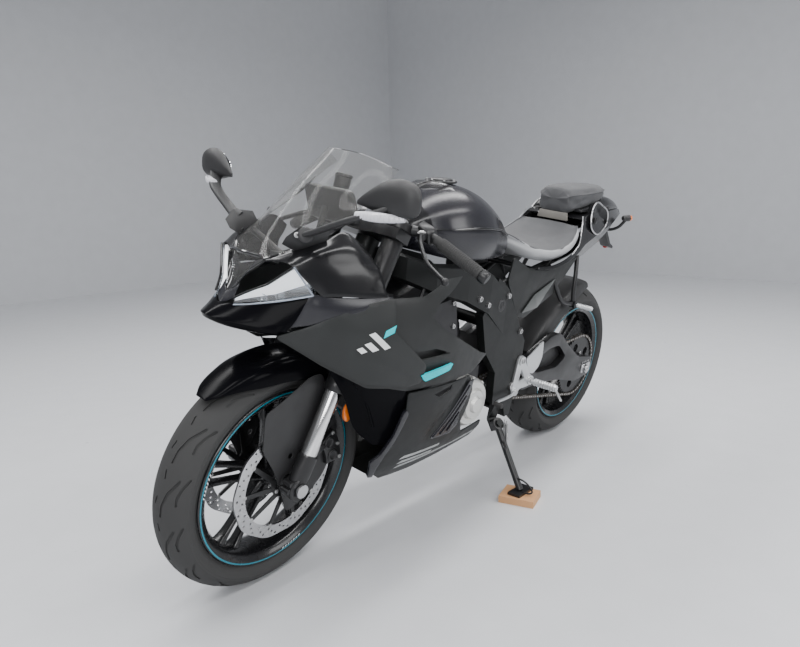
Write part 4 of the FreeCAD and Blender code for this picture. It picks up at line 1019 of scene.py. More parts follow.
@dataclass
class Studio:
    """The floor, the light and the camera.

    Attributes:
        eye: the camera's place, in the frame's metres.
        lens: its focal length for a 36 mm wide picture.
        turn: its rotation as a rotation vector, in radians.
        floor_half: half of the floor's width.
        wall_high: height of the walls.
        room: colour of the pale surroundings.
        strips: how far to the left each overhead strip hangs.
    """

    eye: Triple = (1.5792, 1.1541, 0.9397)
    lens: float = 28.616
    turn: Triple = (0.652148117, 1.54917173, 1.84982548)
    floor_half: float = 14.0
    wall_high: float = 4.2
    room: Triple = (0.62, 0.63, 0.66)
    strips: Triple = (-2.2, 0.2, 2.6)

    def build(self) -> None:
        """Makes everything round the object."""
        self._floor()
        self._walls()
        self._lights()
        self._camera()

    def _flat(self, name: str, corners: Sequence[Triple], finish: Finish) -> None:
        """Makes one flat stage piece.

        Args:
            name: the piece's name.
            corners: its four corners, in metres.
            finish: its finish.
        """
        mesh = bpy.data.meshes.new(name)
        mesh.from_pydata(list(corners), [], [(0, 1, 2, 3)])
        mesh.materials.append(finish.material())
        piece = bpy.data.objects.new(name, mesh)
        bpy.context.scene.collection.objects.link(piece)

    def _floor(self) -> None:
        """Makes the pale, slightly glossy floor."""
        h = self.floor_half
        floor = Finish("studio_floor", (0.60, 0.61, 0.63), rough=0.3, vary=0.02, specular=0.4)
        self._flat("floor", ((-h, -h, 0.0), (h, -h, 0.0), (h, h, 0.0), (-h, h, 0.0)), floor)

    def _walls(self) -> None:
        """Makes pale walls behind the object, for it to mirror."""
        h = self.floor_half * 0.45
        top = self.wall_high
        wall = Finish("studio_wall", (0.50, 0.51, 0.53), rough=0.8, vary=0.02)
        self._flat("wall_far", ((-h, -h, 0.0), (-h, h, 0.0), (-h, h, top), (-h, -h, top)), wall)
        self._flat("wall_right", ((-h, -h, 0.0), (h, -h, 0.0), (h, -h, top), (-h, -h, top)), wall)

    def _lamp(self, name: str, place: Triple, target: Triple, size: Pair, power: float) -> None:
        """Makes one soft rectangular lamp.

        Args:
            name: the lamp's name.
            place: where it hangs, in metres.
            target: where it points.
            size: its width and height.
            power: its power, in watts.
        """
        data = bpy.data.lights.new(name, "AREA")
        data.shape = "RECTANGLE"
        data.size, data.size_y = size
        data.energy = power
        lamp = bpy.data.objects.new(name, data)
        lamp.location = Vector(place)
        lamp.rotation_mode = "QUATERNION"
        lamp.rotation_quaternion = (Vector(target) - Vector(place)).to_track_quat("-Z", "Y")
        bpy.context.scene.collection.objects.link(lamp)

    def _lights(self) -> None:
        """Makes the overhead strips, the side fill and the pale surroundings."""
        for k, y in enumerate(self.strips):
            self._lamp(f"strip_{k}", (0.2, y, 3.6), (0.2, y * 0.8, 0.0), (7.0, 0.45), 150.0)
        self._lamp("front_fill", (4.2, 3.4, 2.4), (0.2, 0.0, 0.6), (2.6, 2.0), 120.0)
        self._lamp("left_fill", (-1.6, 4.4, 2.2), (0.0, 0.0, 0.5), (3.0, 1.6), 80.0)
        world = bpy.data.worlds.new("pale_room")
        world.use_nodes = True
        background = world.node_tree.nodes["Background"]
        background.inputs["Color"].default_value = (*self.room, 1.0)
        background.inputs["Strength"].default_value = 0.62
        bpy.context.scene.world = world

    def _camera(self) -> None:
        """Makes the camera at the photograph's viewpoint."""
        data = bpy.data.cameras.new("camera")
        data.sensor_width = 36.0
        data.lens = self.lens
        data.clip_start = 0.05
        data.clip_end = 60.0
        camera = bpy.data.objects.new("camera", data)
        turn = Vector(self.turn)
        camera.rotation_mode = "QUATERNION"
        camera.rotation_quaternion = Quaternion(turn.normalized(), turn.length)
        camera.location = Vector(self.eye)
        bpy.context.scene.collection.objects.link(camera)
        bpy.context.scene.camera = camera


@dataclass
class SideSkin:
    """The smooth outer surface of the bike's left side.

    Attributes:
        heights: where the half-widths are given.
        rows: station along the bike, then the half-width at each height.
    """

    heights: tuple[float, ...] = (230, 300, 380, 470, 560, 640, 700, 750, 800, 850)
    rows: tuple[tuple[float, tuple[float, ...]], ...] = (
        (1510, (50, 54, 58, 66, 76, 84, 90, 86, 76, 60)),
        (1400, (80, 92, 108, 132, 156, 174, 184, 176, 160, 140)),
        (1300, (104, 128, 158, 188, 208, 220, 222, 210, 194, 176)),
        (1200, (122, 164, 198, 222, 236, 244, 244, 232, 212, 190)),
        (1100, (132, 178, 212, 234, 246, 252, 248, 234, 210, 184)),
        (1000, (136, 180, 212, 234, 245, 248, 240, 222, 192, 164)),
        (900, (134, 176, 206, 226, 234, 232, 220, 196, 166, 142)),
        (800, (128, 168, 196, 214, 216, 206, 192, 168, 145, 130)),
        (680, (118, 150, 176, 190, 188, 174, 160, 142, 125, 115)),
    )

    @staticmethod
    def _between(places: Sequence[float], values: Sequence[float], at: float) -> float:
        """A smooth value between given ones, level with the last slope outside them.

        Args:
            places: where the values are given, in rising order.
            values: the values.
            at: the place asked for.

        Returns:
            The value there.
        """
        last = len(places) - 1
        k = max(0, min(last - 1, sum(1 for p in places if p <= at) - 1))
        gap = places[k + 1] - places[k]

        def slope(n: int) -> float:
            """The slope at a given place."""
            low, high = max(0, n - 1), min(last, n + 1)
            return (values[high] - values[low]) / (places[high] - places[low])

        t = (at - places[k]) / gap
        if t < 0.0:
            return values[0] + slope(0) * (at - places[0])
        if t > 1.0:
            return values[last] + slope(last) * (at - places[last])
        return (
            values[k] * (2 * t ** 3 - 3 * t ** 2 + 1) + slope(k) * gap * (t ** 3 - 2 * t ** 2 + t)
            + values[k + 1] * (3 * t ** 2 - 2 * t ** 3) + slope(k + 1) * gap * (t ** 3 - t ** 2)
        )

    def half_width(self, x: float, z: float) -> float:
        """The skin's distance from the bike's middle plane.

        Args:
            x: the station.
            z: the height.

        Returns:
            The distance.
        """
        rows = sorted(self.rows)
        widths = [self._between(self.heights, row[1], z) for row in rows]
        return self._between([row[0] for row in rows], widths, x)

    def panel(
        self, outline: Sequence[Pair], lift: float = 0.0, thickness: float = 3.5,
        holes: Sequence[Sequence[Pair]] = (), spacing: float = 15.0,
        sink: Callable[[float, float], float] | None = None, round_by: float = 8.0,
    ) -> Form:
        """A panel on the skin.

        Args:
            outline: its (x, z) corners in side view.
            lift: how far its face stands off the skin.
            thickness: its thickness.
            holes: outlines that are left open.
            spacing: distance between inner points.
            sink: extra depth at a place, or None.
            round_by: length taken off each side at a corner.

        Returns:
            The left panel.
        """
        rim = stepped(rounded(outline, round_by, 3), 10.0)
        corners, faces = flat_fill(rim, [stepped(hole, 8.0) for hole in holes], spacing)
        points = [
            Vector((x, self.half_width(x, z) + lift - (sink(x, z) if sink else 0.0), z))
            for x, z in corners
        ]
        form = Form(points, faces, [0] * len(faces))
        return form.facing_from((1000.0, -4000.0, 600.0)).thickened(thickness)


SKIN = SideSkin()


def near_line(x: float, z: float, line: Sequence[Pair]) -> float:
    """Distance from a place to a line of points.

    Args:
        x: the place's station.
        z: its height.
        line: (x, z) points of the line.

    Returns:
        The distance.
    """
    best = 1e9
    here = Vector((x, z))
    for start, end in zip(line, line[1:]):
        a, b = Vector(start), Vector(end)
        along = b - a
        t = max(0.0, min(1.0, (here - a).dot(along) / along.length_squared))
        best = min(best, (here - a - along * t).length)
    return best


@dataclass
class SideFairings:
    """The matte side panels, the blades below them and the gloss ducts between.

    Attributes:
        main: outline of the panel behind, in side view.
        facet: outline of the raised front panel.
        blade: outline of the lower panel.
        crease: the soft groove along the front panel.
    """

    main: tuple[Pair, ...] = (
        (1478, 694), (1395, 632), (1288, 566), (1229, 556), (1166, 536), (1074, 531), (900, 525),
        (818, 560), (866, 577), (968, 630), (1069, 684), (1106, 716), (1075, 746), (920, 786),
        (1010, 792), (1131, 768), (1220, 772), (1310, 762), (1393, 736),
    )
    facet: tuple[Pair, ...] = (
        (1481, 697), (1412, 650), (1300, 580), (1222, 563), (1176, 552), (1132, 556), (1124, 600),
        (1238, 702), (1226, 776), (1312, 766), (1395, 740),
    )
    blade: tuple[Pair, ...] = (
        (1166, 532), (1074, 526), (902, 518), (872, 468), (868, 420), (872, 356), (828, 300), (690, 290),
        (672, 262), (700, 228), (1010, 226), (1130, 236), (1175, 273), (1208, 330), (1190, 345),
        (1172, 407), (1158, 472),
    )
    crease: tuple[Pair, ...] = ((1327, 660), (1250, 616), (1175, 574))

    def build(self, shop: Workshop) -> None:
        """Makes both sides.

        Args:
            shop: the workshop.
        """
        self._upper(shop)
        self._lower(shop)
        self._marks(shop)

    def _upper(self, shop: Workshop) -> None:
        """Makes the two layers of the matte panel.

        Args:
            shop: the workshop.
        """
        vent = ((1162, 636), (1140, 612), (1026, 612), (1086, 634))

        def behind(x: float, z: float) -> float:
            """Sinks the rear panel towards the front panel's trailing edge."""
            reach = near_line(x, z, ((1238, 702), (1124, 600)))
            return 9.0 * max(0.0, 1.0 - reach / 120.0)

        def groove(x: float, z: float) -> float:
            """The soft groove of the front panel."""
            reach = near_line(x, z, self.crease)
            return 3.2 * math.exp(-(reach / 9.0) ** 2)

        rear = SKIN.panel(self.main, lift=-2.0, holes=[vent], sink=behind)
        front = SKIN.panel(self.facet, lift=2.5, thickness=6.0, sink=groove, spacing=11.0)
        pocket = SKIN.panel(
            ((1176, 650), (1150, 600), (1010, 600), (1080, 648)), lift=-26.0, thickness=2.0, spacing=20.0
        )
        whole = Form().add(rear, 1).add(front, 0).add(pocket, 2).both()
        shop.fit(
            "side_fairing_panels", whole, (MATTE_GREY, REAR_GREY, BLACK_PLASTIC), Body.CHASSIS,
            replaces=("side_fairings",), edge=1.4, smooth=30.0,
        )

    def _lower(self, shop: Workshop) -> None:
        """Makes the blades with their gloss leading edges and the inner recess.

        Args:
            shop: the workshop.
        """
        window = ((1066, 505), (992, 515), (998, 500), (1040, 490))

        def belly(x: float, z: float) -> float:
            """Presses in the long recess in front of the generator cover."""
            reach = near_line(x, z, ((1030, 372), (905, 508)))
            return 5.0 * math.exp(-(reach / 10.0) ** 2)

        blade = SKIN.panel(self.blade, lift=0.0, sink=belly, holes=[window], spacing=14.0)
        rim = (
            (1160, 484), (1150, 470), (1164, 407), (1180, 345), (1182, 300), (1172, 262),
            (1192, 268), (1214, 330), (1196, 350), (1178, 408), (1168, 474),
        )
        edge = SKIN.panel(rim, lift=3.0, thickness=8.0, spacing=9.0, round_by=5.0)
        keel = [
            [(x, y * w, z) for y, z in ((0.0, 222.0), (0.5, 224.0), (0.86, 228.0), (1.0, 244.0))]
            for x, w in ((1128, 116), (1010, 130), (860, 130), (700, 118))
        ]
        under = grid_form(smooth_rows(keel, 4, 3)).facing_from((900, 0, 900)).thickened(SHELL)
        whole = Form().add(blade, 0).add(edge, 1).add(under, 2).add(self._scoop(), 1).both()
        # The blades take the darker copy of the matte grey: painted shade on their downward-facing sides
        shop.fit(
            "lower_fairing_blades", whole, (SHADED_LOWER_GREY, GLOSS_BLACK, REAR_GREY), Body.CHASSIS,
            replaces=("lower_fairings",), edge=1.2, smooth=30.0,
        )

    @staticmethod
    def _scoop() -> Form:
        """The gloss triangle with three folds in front of the generator cover.

        Returns:
            The left triangle.
        """
        triangle = (
            (878, 500), (904, 498), (1012, 350), (1004, 342), (908, 328), (886, 352), (902, 396), (884, 452),
        )
        made = SKIN.panel(triangle, lift=1.6, thickness=3.0, spacing=12.0, round_by=4.0)
        folds = (((892, 484), (1000, 346)), ((896, 452), (966, 344)), ((908, 402), (934, 344)))
        for top, low in folds:
            fold = (top, (top[0] + 5, top[1] + 3), (low[0] + 5, low[1] + 3), low)
            made.add(SKIN.panel(fold, lift=4.6, thickness=3.0, spacing=12.0, round_by=1.0))
        return made

    def _marks(self, shop: Workshop) -> None:
        """Makes the teal badge, the slanted bars and the stripes along the belly.

        Args:
            shop: the workshop.
        """
        badge = SKIN.panel(
            ((1140, 576), (1122, 557), (1030, 568), (1019, 585)), lift=6.0, thickness=7.0, spacing=12.0,
            round_by=5.0,
        )
        whole = Form().add(badge, 0)
        bars = (
            # x and z of the lower front corner, shift to the upper corner, width along the bike
            (1262, 662, 42.0, 40.0, 15.0), (1292, 660, 22.0, 20.0, 15.0), (1318, 658, 13.0, 12.0, 13.0),
        )
        for x, z, back, rise, width in bars:
            strip = ((x, z), (x - width, z + 4), (x - width + back, z + rise + 4), (x + back, z + rise))
            whole.add(SKIN.panel(strip, lift=3.0, thickness=0.8, spacing=12.0, round_by=0.5), 1)
        accent = ((1262, 707), (1233, 717), (1240, 700), (1268, 690))
        whole.add(SKIN.panel(accent, lift=3.1, thickness=0.8, spacing=12.0, round_by=0.5), 0)
        for lines in self._belly_lines():
            whole.add(SKIN.panel(lines, lift=0.7, thickness=0.8, spacing=16.0, round_by=1.0), 2)
        # The teal badge and accent take a faint painted glow
        shop.fit(
            "fairing_accents", whole.both(), (PAINTED_GLOW_TEAL, WHITE_TICK, STRIPE_GREY), Body.CHASSIS, smooth=30.0
        )

    @staticmethod
    def _belly_lines() -> list[tuple[Pair, ...]]:
        """The outlines of the parallel stripes along the belly.

        Returns:
            Their (x, z) corners.
        """
        table = ((1108, 930, 306.0, 18.0), (1104, 952, 286.0, 16.0), (1100, 700, 266.0, 24.0))
        return [
            ((front, high), (front - 14, high + 9), (rear, high + 9 - drop), (rear, high - drop))
            for front, rear, high, drop in table
        ]


@dataclass
class DuctPanels:
    """The gloss inner panels that show in front of the blades.

    Attributes:
        rows: the left panel from top to bottom, each row from front to rear.
    """

    rows: tuple[tuple[Triple, ...], ...] = (
        ((1340, 128, 604), (1308, 168, 584), (1276, 196, 566), (1170, 232, 536)),
        ((1290, 142, 520), (1262, 168, 505), (1232, 186, 494), (1150, 216, 480)),
        ((1240, 134, 420), (1216, 156, 412), (1192, 174, 408), (1154, 200, 404)),
        ((1198, 162, 372), (1182, 172, 370), (1166, 184, 372), (1148, 198, 374)),
    )

    def build(self, shop: Workshop) -> None:
        """Makes both sides.

        Args:
            shop: the workshop.
        """
        sheet = grid_form(smooth_rows(self.rows, 5, 5)).facing_from((900, 0, 420)).thickened(2.5)
        ribs = Form()
        for y in (150.0, 164.0, 178.0):
            ribs.add(piped(flow([
                (1300 - (y - 150) * 0.8, y, 560), (1262 - (y - 150) * 0.6, y, 500),
                (1222 - (y - 150) * 0.4, y - 6, 430),
            ], 5), 4.0, 8))
        whole = Form().add(sheet, 0).add(ribs, 0)
        shop.fit(
            "duct_panels", whole.both(), (DEEP_BLACK,), Body.CHASSIS, replaces=("air_ducts",),
            smooth=34.0,
        )


def whole_rows(rows: Sequence[Sequence[Triple]]) -> list[list[Triple]]:
    """Rows given from the middle out, made whole on both sides."""
    return [[(x, -y, z) for x, y, z in reversed(row[1:])] + list(row) for row in rows]


@dataclass
class Nose:
    """The cowl round the lamps, the beak and the tinted screen.

    Attributes:
        cowl: rows from the screen to the side panel, from the tip back.
        strip: the gloss strip below the cowl, above the matte panel.
        beak: rows of the beak from the middle out, top to bottom.
        screen: rows of the screen from the middle out, bottom to top.
    """

    cowl: tuple[tuple[Triple, ...], ...] = (
        ((1476, 62, 850), (1458, 104, 856), (1450, 131, 848), (1428, 152, 818), (1398, 172, 786)),
        ((1420, 104, 878), (1418, 134, 872), (1410, 152, 856), (1398, 166, 828), (1384, 180, 788)),
        ((1362, 128, 900), (1366, 152, 884), (1360, 166, 862), (1354, 180, 834), (1346, 194, 786)),
        ((1312, 132, 914), (1308, 160, 886), (1306, 176, 860), (1304, 188, 834), (1300, 204, 780)),
        ((1262, 138, 884), (1254, 160, 862), (1252, 176, 846), (1248, 190, 830), (1240, 211, 776)),
    )
    strip: tuple[tuple[Triple, ...], ...] = (
        ((1419, 157, 793), (1430, 152, 772), (1440, 144, 744), (1452, 132, 716)),
        ((1380, 178, 786), (1392, 180, 768), (1396, 181, 750), (1400, 180, 732)),
        ((1300, 201, 780), (1308, 204, 772), (1312, 207, 762), (1316, 208, 752)),
        ((1226, 210, 776), (1224, 212, 773), (1222, 214, 770), (1220, 214, 765)),
    )
    beak: tuple[tuple[Triple, ...], ...] = (
        ((1538, 1, 752), (1524, 34, 757), (1474, 92, 770), (1408, 160, 786)),
        ((1577, 1, 733), (1558, 44, 726), (1508, 96, 716), (1462, 132, 708)),
        ((1560, 1, 716), (1540, 44, 708), (1496, 90, 700), (1446, 128, 694)),
        ((1470, 1, 696), (1456, 44, 692), (1426, 84, 688), (1390, 118, 684)),
    )
    screen: tuple[tuple[Triple, ...], ...] = (
        ((1519, 0, 776), (1506, 22, 802), (1484, 50, 850)),
        ((1460, 0, 856), (1446, 54, 866), (1416, 101, 880)),
        ((1392, 0, 938), (1374, 70, 930), (1338, 124, 914)),
        ((1332, 0, 1004), (1304, 74, 990), (1240, 126, 966)),
        ((1274, 0, 1054), (1240, 72, 1044), (1178, 120, 1016)),
        ((1242, 0, 1084), (1208, 62, 1077), (1134, 110, 1048)),
    )

    def build(self, shop: Workshop) -> None:
        """Makes the nose from the tip back.

        Args:
            shop: the workshop.
        """
        self._cowl(shop)
        self._beak(shop)
        self._screen(shop)

    def _cowl(self, shop: Workshop) -> None:
        """Makes the upper cowl with the strip under it, on both sides.

        Args:
            shop: the workshop.
        """
        inside = (1300, 0, 780)
        cowl = grid_form(smooth_rows(self.cowl, 6, 5)).facing_from(inside).thickened(SHELL)
        strip = grid_form(smooth_rows(self.strip, 6, 4)).facing_from(inside).thickened(SHELL)
        centre = (
            ((1540, 0, 752), (1532, 16, 758), (1526, 28, 766)),
            ((1524, 0, 776), (1517, 14, 784), (1508, 26, 796)),
        )
        peak = grid_form(smooth_rows(centre, 4, 4)).facing_from(inside).thickened(SHELL)
        whole = Form().add(cowl, 0).add(strip, 1).add(peak, 1).both()
        shop.fit(
            "nose_cowl", whole, (PIANO_BLACK, GLOSS_BLACK), Body.CHASSIS, replaces=("nose_fairing",),
            edge=1.0, smooth=40.0,
        )

    def _beak(self, shop: Workshop) -> None:
        """Makes the beak with its fold along the tip.

        Args:
            shop: the workshop.
        """
        rows = smooth_rows(whole_rows(self.beak), 5, 5, row_corners=(1,))
        beak = grid_form(rows).facing_from((1300, 0, 740)).thickened(SHELL)
        shop.fit(
            "nose_beak_panel", beak, (DEEP_BLACK,), Body.CHASSIS, replaces=("nose_beak",),
            edge=1.0, smooth=30.0,
        )

    def _screen(self, shop: Workshop) -> None:
        """Makes the tinted screen with its black base and the vent slot.

        Args:
            shop: the workshop.
        """
        rows = smooth_rows(whole_rows(self.screen), 8, 8)
        sheet = grid_form(rows)
        width = len(rows[0])
        for number in range(len(sheet.faces)):
            row, column = divmod(number, width - 1)
            rim = min(column, width - 2 - column)
            low = row < 2 + (3 if rim < 5 else 0)
            lip = rim < 1 and row < 30
            sheet.tones[number] = 1 if low or lip else 0
        glass = sheet.facing_from((1230, 0, 830)).thickened(3.2)
        shop.fit(
            "tinted_screen", glass, (SCREEN_TINT, SCREEN_BORDER), Body.CHASSIS,
            replaces=("windscreen",), smooth=50.0,
        )
        slot = [Vector((1489, y, 857.0 - 0.012 * abs(y) ** 1.3)) for y in (-58, -36, 0, 36, 58)]
        slot = [Vector((p.x - abs(p.y) * 0.22, p.y, p.z + 2)) for p in slot]
        vent = piped(flow(slot, 6), 4.0, 8)
        shop.fit("screen_vent", vent, (SCREEN_BORDER,), Body.CHASSIS, smooth=40.0)
        screws = Form()
        for place in ((1424, 92, 884), (1330, 122, 926), (1236, 123, 972)):
            screws.add(bolt(place, (0.55, 0.8, 0.35), 6.0, 3.0))
        shop.fit("screen_screws", screws.both(), (SATIN_BLACK,), Body.CHASSIS)


@dataclass
class Headlights:
    """The pair of slanted lamps: a white arrow over a dark reflector, behind a clear lens.

    Attributes:
        low: the left lens's lower edge, from the middle out.
        high: its upper edge.
        inside: a point behind it.
    """

    low: tuple[Triple, ...] = ((1526, 34, 757), (1500, 62, 762), (1460, 106, 774), (1414, 157, 792))
    high: tuple[Triple, ...] = ((1526, 34, 766), (1500, 60, 786), (1482, 84, 800), (1450, 133, 846))
    inside: Triple = (1300, 60, 760)

    def build(self, shop: Workshop) -> None:
        """Makes the lens, the white arrow, the reflector and the trim of both lamps.

        Args:
            shop: the workshop.
        """
        low = flow(self.low, 6)
        high = flow(self.high, 6, corners=(2,))
        rows = [[a.lerp(b, t) for t in (0.0, 0.25, 0.5, 0.75, 1.0)] for a, b in zip(low, high)]
        lens = grid_form(rows).facing_from(self.inside).thickened(2.0)
        bowl = [[p + Vector((-24, -8, 2)) for p in row] for row in rows]
        back = grid_form(bowl).facing_from(self.inside).thickened(2.0)
        whole = Form().add(lens, 0).add(back, 1)
        whole.add(self._arrow(rows), 2).add(self._cells(rows), 1)
        line = [row[0] + Vector((3, 2, -3)) for row in rows]
        whole.add(piped(line, 2.2, 8), 3)
        shifts = ((2, 3, -3), (2, 4, 0), (2, 3, 3))
        side = [point + Vector(shift) for point, shift in zip(rows[-1][::2], shifts)]
        whole.add(piped(flow(side, 4), 2.2, 8), 3)
        top = [row[-1] + Vector((1, 1, 3)) for row in rows]
        whole.add(piped(top, 2.4, 8), 4)
        shop.fit(
            "headlight_units", whole.both(), (LENS, REFLECTOR, DRL_WHITE, TRIM_BLUE, PIANO_BLACK),
            Body.CHASSIS, replaces=("headlights",), smooth=40.0,
        )

    def _arrow(self, rows: Sequence[Sequence[Vector]]) -> Form:
        """The white band that runs out and turns up, as an arrow head.

        Args:
            rows: the lens's points, from the lower to the upper edge.

        Returns:
            The band.
        """
        inner, outer = [], []
        behind = Vector((-5, -2, 0))
        for k, row in enumerate(rows):
            share = k / (len(rows) - 1)
            inner.append(row[0].lerp(row[-1], 0.42 - 0.05 * share) + behind)
            outer.append(row[0].lerp(row[-1], 0.96) + behind)
        return grid_form([inner, outer]).facing_from(self.inside).thickened(7.0)

    @staticmethod
    def _cells(rows: Sequence[Sequence[Vector]]) -> Form:
        """The projector rings in the dark lower part.

        Args:
            rows: the lens's points, from the lower to the upper edge.

        Returns:
            The rings.
        """
        made = Form()
        for k in (8, 12):
            centre = rows[k][0].lerp(rows[k][-1], 0.2) + Vector((-14, -4, 0))
            made.add(lathed([(0, 11), (9, 11), (9, 9), (3, 7), (1, CORE)], centre, (0.86, 0.5, 0.05), 20))
        return made


@dataclass
class Mirrors:
    """Mirrors on long flat arms, with ribbed indicator lenses in front.

    Attributes:
        base: where the arm's foot stands on the cowl.
        path: the arm's middle line from the cowl to the head.
        head: the middle of the head.
        plate: corners of the foot plate's outer face.
    """

    base: Triple = (1420, 128, 912)
    path: tuple[Triple, ...] = (
        (1418, 130, 914), (1414, 160, 926), (1408, 210, 948), (1398, 250, 966), (1374, 288, 984),
        (1352, 312, 1004),
    )
    head: Triple = (1352, 322, 1012)
    plate: tuple[Triple, ...] = (
        (1457, 112, 908), (1430, 122, 929), (1364, 140, 920), (1364, 134, 900), (1409, 122, 889),
        (1425, 118, 891),
    )

    def build(self, shop: Workshop) -> None:
        """Makes both mirrors.

        Args:
            shop: the workshop.
        """
        form = Form()
        form.add(self._arm(), 0)
        form.add(self._shell(), 0)
        form.add(self._glass(), 1)
        form.add(self._indicator(), 2)
        foot = [(-12, CORE), (-12, 15), (2, 18), (8, 16), (10, 12), (10, CORE)]
        form.add(lathed(foot, self.base, (0.5, 0.8, 0.3), 24), 0)
        outer = [Vector(p) for p in self.plate]
        inner = [p + Vector((-2, -16, -18)) for p in outer]
        form.add(lofted([inner, outer]), 0)
        form.add(bolt((1437, 121, 912), (0.4, 0.85, 0.3), 6.0, 4.0), 3)
        shop.fit(
            "mirror_units", form.both(), (BLACK_PLASTIC, MIRROR_GLASS, LENS_RIB, BOLT_STEEL),
            Body.CHASSIS, replaces=("mirrors",), smooth=46.0,
        )

    def _arm(self) -> Form:
        """The flat arm, wide from above and thin from ahead.

        Returns:
            The left arm.
        """
        line = flow(self.path, 5)
        rings = []
        for k, (point, way) in enumerate(zip(line, directions(line))):
            flat = way.cross(Vector((0, 0, 1))).normalized()
            share = k / (len(line) - 1)
            half = 15.0 - 3.0 * math.sin(math.pi * share) + 3.0 * share
            rings.append(oval_ring(point, flat * half, flat.cross(way) * 6.5, 16, (0.6, 0.8)))
        return lofted(rings)

    def _shell(self) -> Form:
        """The rounded housing.

        Returns:
            The left housing.
        """
        head = Vector(self.head)
        rings = []
        table = (
            # across, depth, rise, half height, half thickness
            (-98, 12, -18, 5, 4), (-84, 10, -13, 12, 8), (-64, 7, -8, 21, 13), (-40, 3, -3, 31, 18),
            (-14, 0, 0, 37, 22), (12, -2, 1, 37, 23), (34, -4, 0, 31, 20), (45, -6, -2, 22, 13),
            (50, -7, -3, 10, 5),
        )
        for y, depth, rise, tall, thick in table:
            rings.append([
                head + Vector((
                    depth + thick * max(-0.35, math.sin(a)) + 4, y, rise + tall * eased(math.cos(a), 0.75),
                ))
                for a in around(24)
            ])
        return lofted(smooth_rows(rings, 3, 1))

    def _glass(self) -> Form:
        """The reflecting face, at the back.

        Returns:
            The left glass.
        """
        head = Vector(self.head)
        outline = (
            (-60, -18), (-30, -30), (20, -34), (42, -20), (42, 18), (20, 35), (-30, 27), (-60, 4),
        )
        points, faces = flat_fill(rounded(outline, 14, 4), [], 0.0)
        sheet = Form([head + Vector((-7.0, u, v)) for u, v in points], faces, [0] * len(faces))
        return sheet.facing_from(head + Vector((100, 0, 0))).thickened(2.0)

    def _indicator(self) -> Form:
        """The white ribbed lens along the front edge.

        Returns:
            The lens with its ribs.
        """
        made = Form()
        inner, outer = Vector((1400, 252, 974)), Vector((1356, 342, 980))
        rings = []
        last = 12
        for k in range(last + 1):
            share = k / last
            middle = inner.lerp(outer, share) + Vector((8 * math.sin(math.pi * share), 0, -4 * share))
            tall = 4.0 + 6.0 * math.sin(math.pi * min(1.0, share * 0.8 + 0.12))
            rings.append(oval_ring(middle, Vector((7, 3, 0)), Vector((0, 0, tall)), 16))
            if 0 < k < last:
                front = middle + Vector((6.6, 2.8, 0))
                half = Vector((0, 0, tall * 0.6))
                made.add(rod(front - half, front + half, 1.7, 8, 0.4))
        return made.add(lofted(rings))


@dataclass
class FrontFender:
    """The long gloss guard over the front wheel, with its side plates on the legs.

    Attributes:
        rows: degrees round the axle, half-width, drop of the side edge, lift of the ridge.
        plate: outline of the side plate, in side view.
        gap: how far the guard's face stands off the tyre.
        section: share of the half-width, share of the side edge's drop.
    """

    gap: float = 21.0
    section: tuple[Pair, ...] = (
        (-1.0, 1.0), (-0.9, 0.42), (-0.62, 0.08), (0.0, -0.02), (0.62, 0.08), (0.9, 0.42), (1.0, 1.0),
    )
    rows: tuple[tuple[float, float, float, float], ...] = (
        (52, 18, 2, 0), (57, 40, 9, 0), (64, 54, 24, 1), (74, 66, 44, 2), (90, 70, 58, 2),
        (106, 71, 62, 1), (122, 71, 60, 0), (138, 70, 50, 0), (150, 66, 36, 0),
    )
    plate: tuple[Pair, ...] = (
        (1312, 566), (1352, 566), (1444, 520), (1479, 505), (1481, 411), (1445, 346), (1420, 281),
        (1399, 215), (1330, 238), (1283, 276), (1252, 332), (1240, 400),
    )

    def build(self, shop: Workshop) -> None:
        """Makes the guard and both plates.

        Args:
            shop: the workshop.
        """
        rows = []
        for angle, half, drop, lift in self.rows:
            a = math.radians(angle)
            rows.append([
                FRONT_AXLE + on_circle(a, FRONT_R + self.gap + lift - drop * fall, half * side)
                for side, fall in self.section
            ])
        guard = grid_form(smooth_rows(rows, 5, 4)).facing_from(FRONT_AXLE).thickened(SHELL)
        shop.fit(
            "front_guard", guard, (DEEP_BLACK,), Body.STEERING, replaces=("front_fender",),
            edge=1.0, smooth=44.0,
        )
        self._plates(shop)

    def _plates(self, shop: Workshop) -> None:
        """Makes the plates behind the legs, with a folded front and four holes.

        Args:
            shop: the workshop.
        """
        holes = [circle(x, z, 7.5, 18) for x, z in ((1398, 372), (1384, 318), (1302, 372), (1330, 300))]
        leg_gap = circle(FRONT_AXLE.x, FRONT_AXLE.z, 24.0, 28)

        def fold(u: float, v: float) -> float:
            """Bends the front and rear of the plate inwards."""
            mid = 1345.0 + (v - 300.0) * 0.12
            return -0.0012 * max(0.0, abs(u - mid) - 30.0) ** 1.75

        rim = stepped(rounded(self.plate, 14.0, 4), 9.0)
        corners, faces = flat_fill(rim, [stepped(leg_gap, 8.0)] + holes, 16.0)
        front = Form(
            [Vector((u, FORK_Y - 26.0 + fold(u, v), v)) for u, v in corners], faces, [0] * len(faces)
        )
        plate = front.facing_from((1345, -2000, 400)).thickened(SHELL)
        shop.fit(
            "fork_plates", plate.both(), (BLACK_PLASTIC,), Body.STEERING, replaces=("fork_shrouds",),
            edge=1.0, smooth=34.0,
        )


